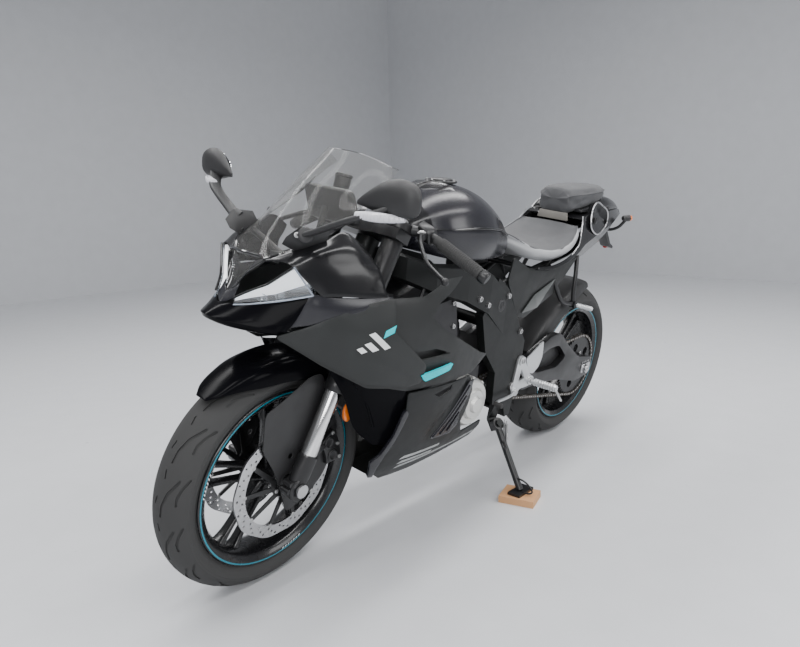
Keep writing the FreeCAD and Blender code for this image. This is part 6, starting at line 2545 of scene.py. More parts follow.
@dataclass
class Tail:
    """The tail shell with its side covers and the lamp.

    Attributes:
        rows: the left side's points from the low edge to the top edge, from front to rear.
        cover: outline of the cover under the seat, in side view.
        wedge: outline of its lighter wedge.
    """

    cover: tuple[Pair, ...] = (
        (600, 800), (500, 756), (400, 742), (250, 740), (130, 762), (180, 722), (289, 642), (481, 582),
        (520, 600), (612, 726),
    )
    wedge: tuple[Pair, ...] = ((502, 606), (440, 662), (322, 694), (300, 700), (404, 612))
    rows: tuple[tuple[Triple, ...], ...] = (
        ((486, 140, 752), (486, 150, 756), (484, 148, 762)),
        ((400, 136, 740), (398, 157, 752), (396, 155, 764)),
        ((310, 118, 738), (306, 157, 766), (300, 154, 784)),
        ((236, 100, 742), (226, 148, 788), (220, 140, 822)),
        ((180, 92, 744), (166, 138, 812), (168, 116, 896)),
        ((100, 88, 750), (92, 128, 830), (96, 108, 915)),
        ((0, 78, 776), (-4, 114, 850), (0, 96, 917)),
        ((-110, 66, 806), (-112, 96, 868), (-110, 80, 917)),
        ((-220, 46, 848), (-222, 66, 888), (-220, 54, 916)),
        ((-296, 24, 874), (-300, 38, 893), (-296, 30, 911)),
    )

    def build(self, shop: Workshop) -> None:
        """Makes the shell, the deck, the covers under the seat and the lamp.

        Args:
            shop: the workshop.
        """
        rows = smooth_rows(self.rows, 5, 5, column_corners=(1,))
        side = grid_form(rows).facing_from((100, 0, 800)).thickened(SHELL)
        form = Form().add(side.both(), 0)
        deck = [
            [(p.x, p.y * s, p.z + 3 * (1 - s * s)) for s in (1, 0.5, 0, -0.5, -1)]
            for p in (row[-1] for row in rows[20:])
        ]
        form.add(grid_form(deck).facing_from((0, 0, 600)).thickened(SHELL), 0)
        end = [rows[-1][0], rows[-1][5], rows[-1][-1]]
        loop = end + [Vector((p.x, -p.y, p.z)) for p in reversed(end)]
        plate = Form(loop, [tuple(range(len(loop)))], [0]).facing_from((0, 0, 880))
        form.add(plate.thickened(SHELL), 0)
        shop.fit(
            "tail_shell", form, (PIANO_BLACK,), Body.CHASSIS, replaces=("tail_fairing",),
            edge=1.0, smooth=30.0,
        )
        self._covers(shop)
        self._lamp(shop)

    def _covers(self, shop: Workshop) -> None:
        """Makes the pair of covers under the seat, with their lighter wedge and bright edge.

        Args:
            shop: the workshop.
        """

        def lean(x: float, z: float) -> float:
            """How the covers lean outward at the top and inward at the rear."""
            return -0.09 * max(0.0, 420.0 - x) + 0.05 * (z - 700)

        cover = slab(rounded(self.cover, 14), 118, 124, bend=lean)
        wedge = slab(rounded(self.wedge, 6), 126, 129, bend=lean)
        knob = Form()
        for place in ((-40, 106, 880), (40, 106, 866)):
            knob.add(bolt(place, ACROSS, 7.0, 3.0))
        line = piped(flow([
            (290, 157, 790), (256, 152, 806), (220, 143, 824),
            (186, 124, 880), (176, 116, 908),
        ], 6), 1.8, 8)
        form = Form().add(cover, 0).add(wedge, 1).add(knob, 2).add(line, 3)
        shop.fit(
            "seat_side_covers", form.both(), (REAR_GREY, FACET_GREY, SATIN_BLACK, STEEL), Body.CHASSIS,
            edge=1.2, smooth=36.0,
        )

    def _lamp(self, shop: Workshop) -> None:
        """Makes the rear lamp with its rows of cells.

        Args:
            shop: the workshop.
        """
        outline = ((-1, 892), (-0.8, 879), (0.8, 879), (1, 892), (0.8, 905), (-0.8, 905))
        form = lofted([
            [(x, half * y, z) for y, z in outline] for x, half in ((-296.5, 26), (-303, 25), (-309.5, 21))
        ])
        for k in range(5):
            centre = Vector((-309.0, (k - 2) * 8.0, 892))
            form.add(lathed([(0, 3.2), (-0.8, 2.6), (-0.8, CORE)], centre, (1, 0, 0), 12), 0)
        shop.fit(
            "rear_lamp_unit", form, (RED_LENS,), Body.CHASSIS, replaces=("tail_lamp",),
            edge=1.0, smooth=36.0,
        )


def ribbed(root: Vector, tip: Vector, radius: float, ribs: int, lift: float = 1.5) -> Form:
    """A turned bar with square ribs, such as a foot rest or a grip.

    Args:
        root: the middle of its inner end.
        tip: the middle of its outer end.
        radius: radius between the ribs.
        ribs: number of ribs.
        lift: how far the ribs stand out.

    Returns:
        The bar.
    """
    line = [(0.0, radius * 0.8), (0.1, radius * 0.8), (0.11, radius)]
    for k in range(ribs):
        low = 0.13 + 0.83 * k / ribs
        high = low + 0.83 * 0.55 / ribs
        line += [(low, radius), (low + 0.006, radius + lift), (high, radius + lift), (high + 0.006, radius)]
    return turned(line + [(0.98, radius), (1.0, radius - 1.5)], root, tip, 20)


def coil(start: Vector, end: Vector, radius: float, wire: float, turns: float, steps: int = 16) -> Form:
    """A coil spring between two points.

    Args:
        start: where its axis starts.
        end: where its axis ends.
        radius: radius of the coil.
        wire: radius of the wire.
        turns: number of turns.
        steps: points on one turn.

    Returns:
        The spring.
    """
    way = (end - start).normalized()
    side = way.orthogonal().normalized()
    up = way.cross(side)
    count = int(turns * steps)
    path = []
    for k in range(count + 1):
        a = 2 * math.pi * k / steps
        path.append(start.lerp(end, k / count) + (side * math.cos(a) + up * math.sin(a)) * radius)
    return piped(path, wire, 8)


@dataclass
class DriveChain:
    """The roller chain, link by link, round both sprockets.

    Attributes:
        pitch: distance between pins.
        teeth: teeth of the rear and of the front sprocket.
        gearbox: the front sprocket's centre.
        across: the chain's middle, to the bike's left.
        plate: thickness of a link's plate.
    """

    pitch: float = 15.875
    teeth: tuple[int, int] = (48, 16)
    gearbox: Vector = field(default_factory=lambda: Vector((640, 0, 372)))
    across: float = 104.0
    plate: float = 1.4

    def _pins(self) -> list[Vector]:
        """The places of the pins, evenly spaced along the loop.

        Returns:
            The pins, in order.
        """
        radii = [self.pitch / (2 * math.sin(math.pi / count)) for count in self.teeth]
        span = self.gearbox - REAR_AXLE
        slope = math.atan2(span.z, span.x)
        lean = math.acos((radii[0] - radii[1]) / span.length)
        line = []
        for centre, r, start, end in (
            (REAR_AXLE, radii[0], slope + lean, slope + 2 * math.pi - lean),
            (self.gearbox, radii[1], slope - lean, slope + lean),
        ):
            for k in range(61):
                line.append(centre + on_circle(start + (end - start) * k / 60, r))
        line.append(line[0])
        lengths = [0.0]
        for a, b in zip(line, line[1:]):
            lengths.append(lengths[-1] + (b - a).length)
        count = 2 * round(lengths[-1] / self.pitch / 2)
        pins = []
        at = 0
        for k in range(count):
            want = lengths[-1] * k / count
            while lengths[at + 1] < want:
                at += 1
            share = (want - lengths[at]) / (lengths[at + 1] - lengths[at])
            pins.append(line[at].lerp(line[at + 1], share) + ACROSS * self.across)
        return pins

    def build(self, shop: Workshop) -> None:
        """Makes the links, rollers and pins.

        Args:
            shop: the workshop.
        """
        pins = self._pins()
        form = Form()
        for k, pin in enumerate(pins):
            following = pins[(k + 1) % len(pins)]
            way = (following - pin).normalized()
            up = ACROSS.cross(way)
            offset = 6.6 if k % 2 else 4.9
            outline = []
            for centre, first, waist in ((following, -2, 4.4), (pin, 2, -4.4)):
                for n in range(5):
                    a = math.radians((n + first) * 45)
                    outline.append(centre + way * 6.0 * math.cos(a) + up * 6.0 * math.sin(a))
                outline.append((pin + following) / 2 + up * waist)
            for side in (1, -1):
                near = [p + ACROSS * side * offset for p in outline]
                far = [p + ACROSS * side * (offset + self.plate) for p in outline]
                form.add(lofted([near, far] if side > 0 else [far, near]), 0)
            form.add(rod(pin - ACROSS * 8.3, pin + ACROSS * 8.3, 2.6, 8, 0.3), 1)
            form.add(rod(pin - ACROSS * 4.6, pin + ACROSS * 4.6, 4.8, 12, 0.3), 1)
        shop.fit(
            "drive_chain_links", form, (CHAIN_STEEL, BOLT_STEEL), Body.CHASSIS, replaces=("chain",),
            smooth=30.0,
        )
        bolts = Form()
        for k in range(5):
            bolts.add(bolt(REAR_AXLE + on_circle(math.radians(72 * k + 36), 50, 107), ACROSS, 7.0, 5.0))
        shop.fit("sprocket_bolts", bolts, (BOLT_STEEL,), Body.REAR_WHEEL)


@dataclass
class Swingarm:
    """The arm pair with its rounded window, the adjusters, the chain guard and the spring unit.

    Attributes:
        outline: side view of an arm.
        window: its opening.
        shock_top: the spring unit's upper pin.
        shock_low: its lower pin.
    """

    outline: tuple[Pair, ...] = (
        (468, 330), (468, 402), (430, 450), (300, 496), (240, 500), (150, 430), (60, 372), (-48, 352),
        (-66, 316), (-48, 280), (60, 272), (200, 310), (330, 330),
    )
    window: tuple[Pair, ...] = ((410, 420), (300, 452), (235, 452), (170, 396), (230, 366), (380, 376))
    shock_top: Vector = field(default_factory=lambda: Vector((514, 0, 540)))
    shock_low: Vector = field(default_factory=lambda: Vector((444, 0, 412)))

    def build(self, shop: Workshop) -> None:
        """Makes the arm pair and what it carries.

        Args:
            shop: the workshop.
        """
        arm = slab(rounded(self.outline, 20, 5), 119, 143, holes=[rounded(self.window, 18, 5)])
        form = arm.both()
        form.add(slab(rounded([(468, 335), (468, 395), (400, 388), (388, 350), (400, 335)], 8), -119, 119))
        form.add(slab(rounded([(560, 345), (560, 395), (460, 395), (460, 335)], 6), -88, 88))
        form.add(rod((540, -88, 370), (540, 88, 370), 28, 32, 2))
        ear = [(457, 386), (457, 412), (450, 425), (437, 425), (430, 412), (427, 386)]
        form.add(slab(rounded(ear, 5), 15, 23).both())
        shop.fit(
            "swingarm_cast", form, (SATIN_BLACK,), Body.CHASSIS, replaces=("swingarm",),
            edge=3.0, smooth=36.0,
        )
        self._adjusters(shop)
        self._guard(shop)
        self._spring(shop)

    def _adjusters(self, shop: Workshop) -> None:
        """Makes the bright axle blocks with their screws and the pivot's nuts.

        Args:
            shop: the workshop.
        """
        block = slab(rounded([(24, 298), (24, 332), (-40, 332), (-46, 298)], 5), 143, 147)
        form = Form().add(block, 0)
        form.add(rod((-62, 131, 315), (-80, 131, 315), 4.0, 16), 1)
        form.add(turned([(0, 9), (0.7, 9), (1, 8)], (-66, 131, 315), (-73, 131, 315), 6), 1)
        for x in range(15, -45, -12):
            form.add(slab([(x + 3, 335), (x, 335), (x, 343), (x + 3, 343)], 143, 144), 1)
        form.add(bolt((540, 150.4, 370), ACROSS, 15, 7), 1)
        form.add(bolt((0, 158, 315), ACROSS, 13, 3), 1)
        shop.fit("chain_adjusters", form.both(), (CAST_SILVER, BOLT_STEEL), Body.CHASSIS, edge=0.8)

    def _guard(self, shop: Workshop) -> None:
        """Makes the guard between the chain and the left arm.

        Args:
            shop: the workshop.
        """
        outline = [(452, 356), (452, 434), (300, 486), (236, 486), (146, 412), (150, 368)]
        guard = slab(rounded(outline, 12), 114.2, 117)
        shop.fit("chain_guard", guard, (BLACK_PLASTIC,), Body.CHASSIS, edge=0.6)

    def _spring(self, shop: Workshop) -> None:
        """Makes the spring unit with its coil and collars.

        Args:
            shop: the workshop.
        """
        way = (self.shock_low - self.shock_top).normalized()
        top, low = self.shock_top, self.shock_low
        form = Form().add(rod(top + way * 9, low - way * 9, 11, 24), 0)
        form.add(rod(top + way * 14, top + way * 26, 27, 32, 2), 0)
        form.add(rod(low - way * 34, low - way * 24, 27, 32, 2), 0)
        form.add(coil(top + way * 28, low - way * 38, 24, 5.2, 5.0, 20), 1)
        for centre in (top, low):
            form.add(rod(centre - ACROSS * 14.6, centre + ACROSS * 14.6, 13, 24, 1), 0)
        shop.fit(
            "rear_spring_unit", form, (SATIN_BLACK, STEEL), Body.CHASSIS, replaces=("rear_shock",),
            smooth=40.0,
        )


@dataclass
class Hugger:
    """The rounded guard over the rear tyre.

    Attributes:
        rows: (degrees round the axle, half-width, drop of the side edge) from front to rear.
        section: share of the half-width, share of the drop.
        gap: how far the guard's face stands off the tyre.
        bracket_at: direction of the brackets, in degrees.
    """

    rows: tuple[Triple, ...] = ((18, 74, 26), (34, 96, 44), (56, 102, 52), (80, 98, 44), (98, 80, 24))
    section: tuple[Pair, ...] = (
        (-1, 1.0), (-0.92, 0.42), (-0.7, 0.14), (0, 0), (0.7, 0.14), (0.92, 0.42), (1, 1.0),
    )
    gap: float = 19.5
    bracket_at: float = 34.0

    def build(self, shop: Workshop) -> None:
        """Makes the guard with its brackets.

        Args:
            shop: the workshop.
        """
        rows = []
        for angle_deg, half, drop in self.rows:
            a = math.radians(angle_deg)
            rows.append([
                REAR_AXLE + on_circle(a, REAR_R + self.gap - drop * fall, half * share)
                for share, fall in self.section
            ])
        sheet = grid_form(smooth_rows(rows, 6, 4)).facing_from(REAR_AXLE).thickened(3.5)
        form = Form().add(sheet, 0)
        for side in (1, -1):
            foot = REAR_AXLE + on_circle(math.radians(self.bracket_at), 300, 88 * side)
            form.add(rod(foot, foot + ACROSS * side * 30.7, 6, 20), 0)
        shop.fit(
            "hugger_guard", form, (BLACK_PLASTIC,), Body.CHASSIS, replaces=("rear_hugger",),
            smooth=40.0,
        )


@dataclass
class FootRests:
    """The rider's and the passenger's foot rests.

    Attributes:
        plate: outline of the rider's plate, in side view.
        opening: its window.
        heel: outline of the heel guard.
    """

    plate: tuple[Pair, ...] = (
        (532, 458), (522, 472), (504, 472), (492, 456), (448, 396), (424, 380), (424, 358), (446, 350),
        (500, 352), (512, 334), (538, 334), (547, 352),
    )
    opening: tuple[Pair, ...] = ((503, 424), (513, 382), (478, 386))
    heel: tuple[Pair, ...] = ((379, 500), (478, 452), (452, 398), (420, 388), (388, 406), (372, 440))

    def build(self, shop: Workshop) -> None:
        """Makes both pairs.

        Args:
            shop: the workshop.
        """
        side = self._rider()
        for name, form in (("left", side), ("right", side.mirrored())):
            shop.fit(
                f"rearset_{name}_unit", form, (CAST_SILVER, BOLT_STEEL, GRIP_RUBBER), Body.CHASSIS,
                replaces=(f"rearset_{name}",), edge=1.2, smooth=36.0,
            )
        self._passenger(shop)

    def _rider(self) -> Form:
        """The left foot rest: open plate, heel guard, ribbed peg, feeler and pedal.

        Returns:
            The left foot rest.
        """
        form = Form()
        form.add(slab(rounded(self.plate, 8), 150.5, 159, holes=[rounded(self.opening, 5)]), 0)
        form.add(slab(rounded(self.heel, 10), 152, 156), 0)
        for x, z, radius in ((513, 455, 16), (529, 350, 14), (441, 371, 16)):
            boss = [(0, CORE), (0, radius), (7, radius), (7, CORE)]
            form.add(lathed(boss, (x, 158, z), ACROSS, 28), 0)
            form.add(bolt((x, 165, z), ACROSS, radius * 0.55, 4), 1)
        form.add(ribbed((440, 166, 369), (428, 257, 370), 11, 9, 2.0), 0)
        form.add(rod((424, 250, 364), (392, 262, 318), 4, 16, 2), 1)
        lever = flow(((529, 168, 350), (590, 171, 348), (650, 176, 352), (668, 184, 352)), 5)
        form.add(piped(lever, 5, 12), 0)
        form.add(ribbed((672, 178, 352), (672, 208, 352), 7, 5, 1.0), 2)
        return form

    def _passenger(self, shop: Workshop) -> None:
        """Makes the passenger's foot rests on their brackets.

        Args:
            shop: the workshop.
        """
        form = Form()
        front = flow(((330, 100, 744), (272, 112, 660), (226, 119, 608), (150, 124, 590)), 6)
        back = flow(((112, 86, 776), (138, 108, 700), (150, 117, 640), (150, 124, 590)), 6)
        form.add(piped(front, 8, 14), 0)
        form.add(piped(back, 8, 14), 0)
        form.add(rod((150, 112, 590), (150, 138, 590), 13, 24, 2), 0)
        form.add(ribbed((150, 130, 590), (88, 172, 574), 8, 8), 1)
        shop.fit(
            "pillion_peg_units", form.both(), (SATIN_BLACK, CAST_SILVER), Body.CHASSIS,
            replaces=("pillion_pegs",), smooth=40.0,
        )


@dataclass
class Engine:
    """What shows of the engine: its covers, ribs and screws.

    Attributes:
        covers: (x, z, depth, radius, side, number of screws) of the round covers.
        face: how far to a side the covers start.
        screws: x and z of the block's own screws.
    """

    face: float = 124.2
    screws: tuple[Pair, ...] = (
        (600, 360), (600, 480), (690, 312), (690, 488), (870, 690), (960, 668), (990, 600), (860, 620),
    )
    covers: tuple[tuple[float, ...], ...] = ((782, 378, 66, 76, 1, 9), (752, 388, 62, 88, -1, 11))

    def build(self, shop: Workshop) -> None:
        """Makes the covers and the details of the block.

        Args:
            shop: the workshop.
        """
        form = Form()
        for x, z, d, r, side, screws in self.covers:
            centre = Vector((x, side * self.face, z))
            way = ACROSS * side
            dome = [
                (0, CORE), (0, r), (d * 0.45, r), (d * 0.6, r - 4), (d * 0.7, r - 10), (d * 0.72, r * 0.66),
                (d * 0.68, r * 0.62), (d * 0.82, r * 0.56), (d * 0.84, r * 0.34), (d * 0.98, r * 0.28),
                (d, r * 0.2), (d, CORE),
            ]
            form.add(lathed(dome, centre, way, 64), 0)
            boss = [(2, 8), (d * 0.52, 7), (d * 0.55, 5), (d * 0.55, CORE)]
            for a in around(int(screws)):
                foot = centre + on_circle(a + 0.3, r - 3)
                form.add(lathed(boss, foot, way, 16), 0)
                form.add(bolt(foot + way * d * 0.55, way, 4.2, 3), 1)
        shop.fit(
            "engine_side_covers", form, (COVER_SILVER, BOLT_STEEL), Body.CHASSIS,
            replaces=("engine_covers",), smooth=34.0,
        )
        self._block(shop)

    def _block(self, shop: Workshop) -> None:
        """Makes the ribs, the sump's fins and the head's screws.

        Args:
            shop: the workshop.
        """
        form = Form()
        for k in range(9):
            z = 452 + 14 * k
            form.add(slab([(806 + 3 * k, z), (974, z), (974, z + 5), (806 + 3 * k, z + 5)], 112, 117), 0)
        for k in range(8):
            x = 724 + 28 * k
            form.add(slab([(x, 300), (x + 7, 300), (x + 7, 330), (x, 330)], 124, 129), 0)
        for x, z in self.screws:
            form.add(bolt((x, 120 if x > 800 else 84, z), ACROSS, 7, 5), 1)
        cover = [(612, 344), (700, 344), (706, 452), (650, 470), (606, 440)]
        form.add(slab(rounded(cover, 18), 84, 92), 0)
        shop.fit("engine_ribs", form.both(), (ENGINE_BLACK, BOLT_STEEL), Body.CHASSIS, edge=0.6)


@dataclass
class FrameTrim:
    """Screws and caps on the frame, the radiator's grid and the exhaust.

    Attributes:
        screws: places of the frame's screws on the left.
    """

    screws: tuple[Triple, ...] = (
        (793, 152.5, 700), (748, 152.5, 676), (640, 150.2, 690), (540, 150.2, 560), (520, 150.2, 420),
    )

    def build(self, shop: Workshop) -> None:
        """Makes the screws, the cap, the radiator's grid and the exhaust.

        Args:
            shop: the workshop.
        """
        form = Form()
        for x, y, z in self.screws:
            form.add(lathed([(0, CORE), (0, 13), (2, 12), (2, CORE)], (x, y, z), ACROSS, 28), 0)
            form.add(bolt((x, y + 2, z), ACROSS, 8, 6), 1)
        cap = [(0, CORE), (0, 21), (3, 19), (3, 12), (1, 11), (1, CORE)]
        form.add(lathed(cap, (672, 150.2, 664), ACROSS, 32), 0)
        shop.fit("frame_screws", form.both(), (SATIN_BLACK, BOLT_STEEL), Body.CHASSIS, edge=0.5)
        self._radiator(shop)
        self._exhaust(shop)

    def _radiator(self, shop: Workshop) -> None:
        """Makes the grid of fins on the front of the radiator.

        Args:
            shop: the workshop.
        """
        tilt = Vector((76, 0, 276)).normalized()
        form = Form()
        for k in range(24):
            low = Vector((1072.4, 0, 345)) + tilt * (8 + 10.8 * k)
            fin = [low + Vector(p) for p in ((0, -146, 0), (4, -146, -1), (4, 146, -1), (0, 146, 0))]
            form.add(lofted([fin, [p + tilt * 6.0 for p in fin]]))
        for y in range(-140, 141, 28):
            foot = Vector((1074.5, y, 345)) + tilt * 6
            form.add(rod(foot, foot + tilt * 258, 1.6, 6, 0.2))
        shop.fit("radiator_fins", form, (SATIN_BLACK,), Body.CHASSIS)

    def _exhaust(self, shop: Workshop) -> None:
        """Makes the header pipes, the collector and the silencer.

        Args:
            shop: the workshop.
        """
        form = Form()
        for y in (-78, 0, 78):
            path = [
                (990, y, 606), (1020, y, 597), (1034, y, 560), (1030, y * 0.95, 450),
                (1018, y * 0.9, 340), (988, y * 0.82, 280), (930, y * 0.7, 266), (860, y * 0.55, 266),
            ]
            form.add(piped(flow(path, 5), 18, 20), 0)
            flange = [(0, 19), (0, 26), (8, 26), (10, 19)]
            form.add(lathed(flange, (988, y, 606), (1, 0, -0.2), 24), 0)
        box = [(870, 250), (870, 284), (590, 284), (560, 274), (566, 252)]
        form.add(slab(rounded(box, 10), -95, 60), 0)
        link = [(600, -60, 262), (540, -82, 246), (490, -130, 246), (450, -180, 272), (436, -196, 288)]
        form.add(piped(flow(link, 6), 24, 24), 0)
        table = (
            # x, y, z of the middle, half width, half height
            (452, -196, 295, 26, 28), (446, -197, 297, 36, 38), (420, -201, 308, 48, 56),
            (330, -206, 342, 50, 60), (250, -210, 372, 50, 60), (214, -212, 385, 44, 52),
            (206, -212, 388, 38, 46),
        )
        form.add(lofted([
            oval_ring(Vector((x, y, z)), ACROSS * half, Vector((0, 0, tall)), 32, (0.7, 0.8))
            for x, y, z, half, tall in table
        ]), 1)
        mouth = [(-4, 28), (5, 28), (6, 25), (-2, 22), (-8, 20), (-8, CORE)]
        form.add(lathed(mouth, (206, -212, 388), (-1, -0.05, 0.38), 28), 2)
        shop.fit(
            "exhaust_system", form, (EXHAUST_STEEL, SATIN_BLACK, STEEL), Body.CHASSIS,
            replaces=("exhaust",), edge=1.0, smooth=40.0,
        )


@dataclass
class Controls:
    """Bars, switch housings, levers, grips and the brake's reservoir.

    Attributes:
        grip_in: inner end of the left grip.
        grip_out: its outer end.
        lever: the left lever's line from its pivot to its ball.
    """

    grip_in: Vector = field(default_factory=lambda: Vector((1082, 190, 900)))
    grip_out: Vector = field(default_factory=lambda: Vector((1062, 318, 842)))
    lever: tuple[Triple, ...] = (
        (1118, 176, 908), (1134, 186, 904), (1152, 202, 895), (1180, 236, 878), (1198, 266, 864),
        (1208, 320, 842),
    )

    def build(self, shop: Workshop) -> None:
        """Makes both sides.

        Args:
            shop: the workshop.
        """
        side = self._side()
        right = side.mirrored()
        cup = [(0, CORE), (0, 20), (3, 22), (34, 22), (36, 24), (42, 24), (44, 21), (44, CORE)]
        right.add(lathed(cup, (1102, -118, 968), (-0.22, 0, 1), 32), 0)
        right.add(piped(flow([(1100, -139, 921), (1101, -128, 948), (1101, -121, 970)], 5), 6, 12), 0)
        form = Form().add(side).add(right)
        shop.fit(
            "handlebar_controls", form, (SATIN_BLACK, BOLT_STEEL, GRIP_RUBBER), Body.STEERING,
            replaces=("handlebars",), edge=0.8, smooth=36.0,
        )
        along = (self.grip_out - self.grip_in).normalized()
        grip = ribbed(self.grip_in + along * 3, self.grip_out, 15.4, 22, 1.1)
        shop.fit(
            "ribbed_grips", grip.both(), (GRIP_RUBBER,), Body.STEERING, replaces=("grips",),
            smooth=30.0,
        )

    def _side(self) -> Form:
        """The left side without its grip.

        Returns:
            The left side.
        """
        along = (self.grip_out - self.grip_in).normalized()
        low, top = fork_point(667, 105), fork_point(688, 105)
        clamp = [(0, 27), (0, 34), (2, 36), (19, 36), (21, 34), (21, 27)]
        form = Form().add(lathed(clamp, low, STEER_UP, 40, closed=True), 0)
        start = (low + top) * 0.5
        root = start + (self.grip_in - start).normalized() * 31
        form.add(rod(root, self.grip_in - along * 30, 13, 24, 2), 0)
        form.add(rod(self.grip_in - along * 46, self.grip_out + along * 2, 11, 24), 0)
        end = [(0, 14), (0.12, 16.4), (0.75, 16.4), (1, 13)]
        form.add(turned(end, self.grip_out + along * 0.5, self.grip_out + along * 22, 32), 0)
        up = Vector((0.25, 0, 1)).normalized()
        ahead = along.cross(up).normalized()
        housing = ((-44, 14, 13), (-42, 19, 17), (-24, 20, 19), (-8, 20, 19), (-4, 17, 16))
        form.add(lofted([
            oval_ring(self.grip_in + along * out, ahead * deep, up * high, 28, (0.6, 0.6))
            for out, high, deep in housing
        ]), 0)
        back = -ahead if ahead.x > 0 else ahead
        for out, rise, r in ((-34, 8, 4.5), (-22, 9, 4.0), (-34, -6, 5.5), (-16, -7, 5.0)):
            foot = self.grip_in + along * out + up * rise + back * 17
            form.add(lathed([(0, r), (3.4, r), (4.4, r - 1.2), (4.4, CORE)], foot, back, 16), 2)
        pivot = Vector(self.lever[0])
        form.add(rod(self.grip_in - along * 24, pivot, 9, 20, 1), 0)
        form.add(rod(pivot - up * 9, pivot + up * 9, 11, 24, 1), 0)
        form.add(bolt(pivot + up * 9, up, 6, 3), 1)
        line = flow(self.lever, 5)
        blade = []
        for k, (point, way) in enumerate(zip(line, directions(line))):
            share = k / (len(line) - 1)
            flat = way.cross(up).normalized()
            blade.append(oval_ring(point, flat * (5.0 - 0.6 * share), up * (8.5 - 3.0 * share), 14))
        form.add(lofted(blade), 0)
        ball = [(9 * math.cos(math.pi * k / 8), max(CORE, 9 * math.sin(math.pi * k / 8))) for k in range(9)]
        form.add(lathed([(-u, v) for u, v in ball], line[-1], along, 18), 0)
        return form


@dataclass
class Dash:
    """The instrument unit with its dark glass.

    Attributes:
        face: the middle of its face.
        outline: corners of the face, from its middle.
    """

    face: Vector = field(default_factory=lambda: Vector((1228, 0, 958)))
    outline: tuple[Pair, ...] = ((-84, -44), (84, -44), (78, 38), (-78, 38))

    def _ring(self, inset: float, out: float, radius: float) -> list[Vector]:
        """A rounded loop on the unit's slope."""
        points = [(y - math.copysign(inset, y), h - math.copysign(inset, h)) for y, h in self.outline]
        return [self.face + Vector((out + 0.35 * h, y, h)) for y, h in rounded(points, radius)]

    def build(self, shop: Workshop) -> None:
        """Makes the case, the glass and its keys.

        Args:
            shop: the workshop.
        """
        case = lofted([
            self._ring(4, 26, 14), self._ring(0, 22, 16), self._ring(0, 4, 16), self._ring(3, 0, 14),
        ])
        glass = lofted([self._ring(9, 0.4, 9), self._ring(9, -0.8, 9)])
        form = Form().add(case, 0).add(glass, 1)
        for y in (-70, 70):
            key = self.face + Vector((-1, y, -38))
            form.add(lathed([(0, 4), (2, 4), (2, CORE)], key, (-1, 0, 0.35), 16), 0)
        shop.fit(
            "instrument_unit", form, (BLACK_PLASTIC, DISPLAY), Body.CHASSIS, replaces=("dashboard",),
            edge=0.8,
        )


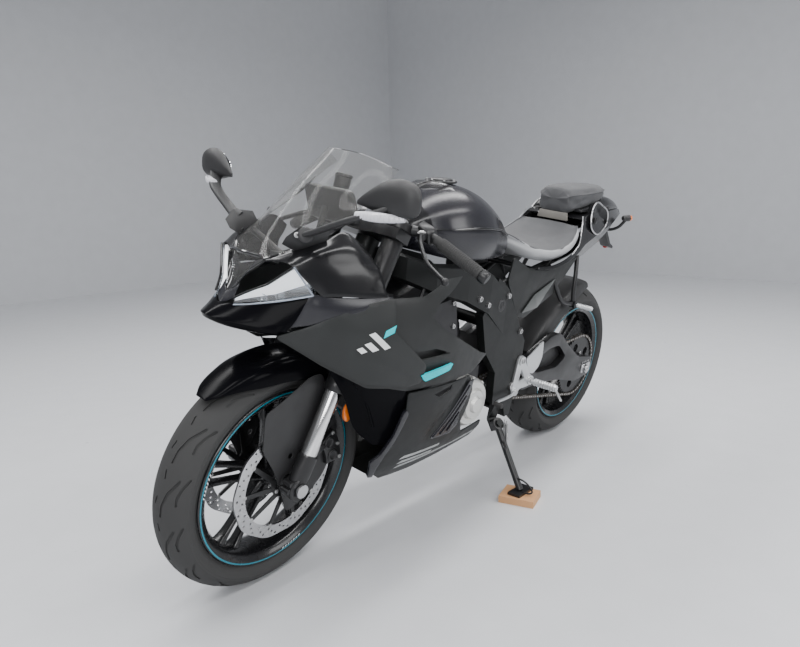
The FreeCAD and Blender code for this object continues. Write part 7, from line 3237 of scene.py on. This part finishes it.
@dataclass
class RearEnd:
    """The rising cover below the rear seat, its side pods, the lamps' stalks and the stand's spring.

    Attributes:
        cover: station, then (half-width, height) from the low edge to the ridge.
        pod: the rim of the left side pod.
    """

    cover: tuple[tuple[float, tuple[Pair, ...]], ...] = (
        (150, ((92, 918), (90, 924), (70, 928), (1, 930))),
        (60, ((94, 918), (96, 932), (78, 944), (1, 948))),
        (-40, ((84, 918), (90, 942), (70, 960), (1, 964))),
        (-110, ((76, 918), (80, 944), (58, 964), (1, 968))),
        (-190, ((58, 917), (62, 934), (46, 948), (1, 952))),
        (-272, ((34, 912), (36, 918), (26, 926), (1, 928))),
    )
    pod: tuple[Triple, ...] = (
        (46, 100, 954), (-36, 104, 920), (-34, 108, 868), (54, 124, 842), (126, 130, 870), (112, 116, 926),
    )

    def build(self, shop: Workshop) -> None:
        """Makes the base, the step, the pods, the tray and the stand's spring.

        Args:
            shop: the workshop.
        """
        base = lofted(section_flow(self.cover, 4, 4))
        shop.fit("rear_seat_base", base, (PIANO_BLACK,), Body.CHASSIS, edge=1.0, smooth=40.0)
        corners = [(-60, 884), (60, 884), (54, 912), (-54, 912)]
        step = lofted([[(x, y, z) for y, z in corners] for x in (172, 186)])
        shop.fit("seat_step", step, (STEP_GREY,), Body.CHASSIS, edge=2.0)
        self._pods(shop)
        self._tray(shop)
        self._spring(shop)

    def _pods(self, shop: Workshop) -> None:
        """Makes the bright-rimmed pods on the tail's sides.

        Args:
            shop: the workshop.
        """
        rim = [Vector(p) for p in self.pod]
        line = flow(rim + rim[:2], 6)[3:-3]
        centre = sum(line, Vector()) / len(line)
        form = Form().add(piped(line, 3.0, 10), 0)
        skirt = [p.lerp(centre, 0.12) - ACROSS * 26 for p in line]
        hollow = [p.lerp(centre, 0.2) - ACROSS * 7 for p in line]
        middle = [p.lerp(centre, 0.9) - ACROSS * 9 for p in line]
        form.add(grid_form([skirt, line, hollow, middle], closed=True), 1)
        form.add(lathed([(-8, 12), (4, 12), (6, 9), (6, CORE)], (70, 112, 890), ACROSS, 24), 2)
        shop.fit("tail_side_pods", form.both(), (STEEL, PIANO_BLACK, SATIN_BLACK), Body.CHASSIS, smooth=50.0)

    def _tray(self, shop: Workshop) -> None:
        """Makes the tray below the tail, the plate holder and the turn signals.

        Args:
            shop: the workshop.
        """
        form = Form()
        tray = [(160, 752), (150, 744), (-60, 780), (-190, 826), (-184, 834), (-50, 790)]
        form.add(slab(rounded(tray, 3), -34, 34), 0)
        for x, low, high in ((-150, 818, 831.7), (158, 748, 757)):
            form.add(rod((x, 0, low), (x, 0, high), 7, 20), 0)
        holder = [
            (-190.3, 826), (-190.3, 838), (-236, 842), (-306, 766), (-336, 752), (-336, 742), (-300, 752),
            (-224, 826),
        ]
        form.add(slab(rounded(holder, 5), -20, 20), 0)
        stalks = Form()
        arm = flow(((-232, 14, 830), (-232, 44, 832), (-232, 74, 848), (-232, 96, 878)), 5)
        stalks.add(piped(arm, 6, 12), 0)
        tip, foot = Vector((-254, 108, 888)), Vector((-212, 92, 886))
        stalks.add(turned([(0, 7), (0.12, 11), (0.6, 13), (0.72, 13)], foot, tip, 24), 0)
        stalks.add(turned([(0.72, 12.4), (0.9, 11.5), (1, 8)], foot, tip, 24), 1)
        form.add(stalks.both())
        form.add(rod((-314, -6, 752), (-338, -6, 752), 11, 24), 2)
        shop.fit(
            "plate_holder", form, (BLACK_PLASTIC, AMBER, RED_LENS), Body.CHASSIS, replaces=("undertray",),
            edge=0.8,
        )

    def _spring(self, shop: Workshop) -> None:
        """Makes the side stand's return springs and its pivot screw.

        Args:
            shop: the workshop.
        """
        form = Form()
        hook = Vector((578, 168, 262))
        for out in (0.0, 9.0):
            top = hook + Vector((2, out, 4))
            low = top + Vector((14, 22, -70))
            form.add(coil(top.lerp(low, 0.15), low.lerp(top, 0.15), 4.2, 1.3, 14, 10), 0)
            form.add(rod(top, low, 1.4, 8, 0.2), 0)
        shop.fit("stand_springs", form, (BOLT_STEEL,), Body.CHASSIS)
        tang = (
            (620, 262, 108), (618, 286, 112), (616, 312, 104), (619, 330, 90), (626, 322, 82), (628, 300, 80),
        )
        shop.fit("stand_tang", piped(flow(tang, 6), 2.8, 10), (SATIN_BLACK,), Body.STAND)


ASSEMBLIES = (
    SideFairings(), DuctPanels(), Nose(), Headlights(), Mirrors(), FrontFender(), Fork(),
    Wheel(
        "front", Body.FRONT_WHEEL, FRONT_AXLE, FRONT_R, half=60.0, crown=64.0, rim_half=44.0, hub_half=62.0,
        first_angle=90.0, repeats=15, grooves=FRONT_GROOVES, ticks=True,
    ),
    Wheel(
        "rear", Body.REAR_WHEEL, REAR_AXLE, REAR_R, half=90.0, crown=98.0, rim_half=70.0, hub_half=78.0,
        first_angle=60.0, repeats=14, grooves=REAR_GROOVES,
    ),
    Disc(
        "front_disc_rotors", Body.FRONT_WHEEL, "front_discs", FRONT_AXLE, radius=150.0, low=62.0, band=32.0,
        bolt_r=32.0, pair=True,
    ),
    Disc(
        "rear_disc_rotor", Body.REAR_WHEEL, "rear_disc", REAR_AXLE, radius=110.0, low=-108.0, band=34.0,
        bolt_r=36.0, pair=False,
    ),
    FrontCalipers(), Tank(), Seats(), Tail(), DriveChain(),
    Swingarm(), Hugger(), FootRests(), Engine(), FrameTrim(), Controls(), Dash(), RearEnd(),
)


def write_sizes() -> None:
    """Brings the scene's placements up to date."""
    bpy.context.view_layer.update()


def main() -> None:
    """Builds the stage and every sub-assembly in order."""
    logging.basicConfig(level=logging.INFO, format="%(name)s: %(message)s")
    shop = Workshop(Posture.from_joints(frame["joints"]))
    for node, finish in NODE_FINISHES.items():
        shop.dress(node, finish)
    Studio().build()
    for assembly in ASSEMBLIES:
        assembly.build(shop)
    write_sizes()


if __name__ == "__main__":
    main()
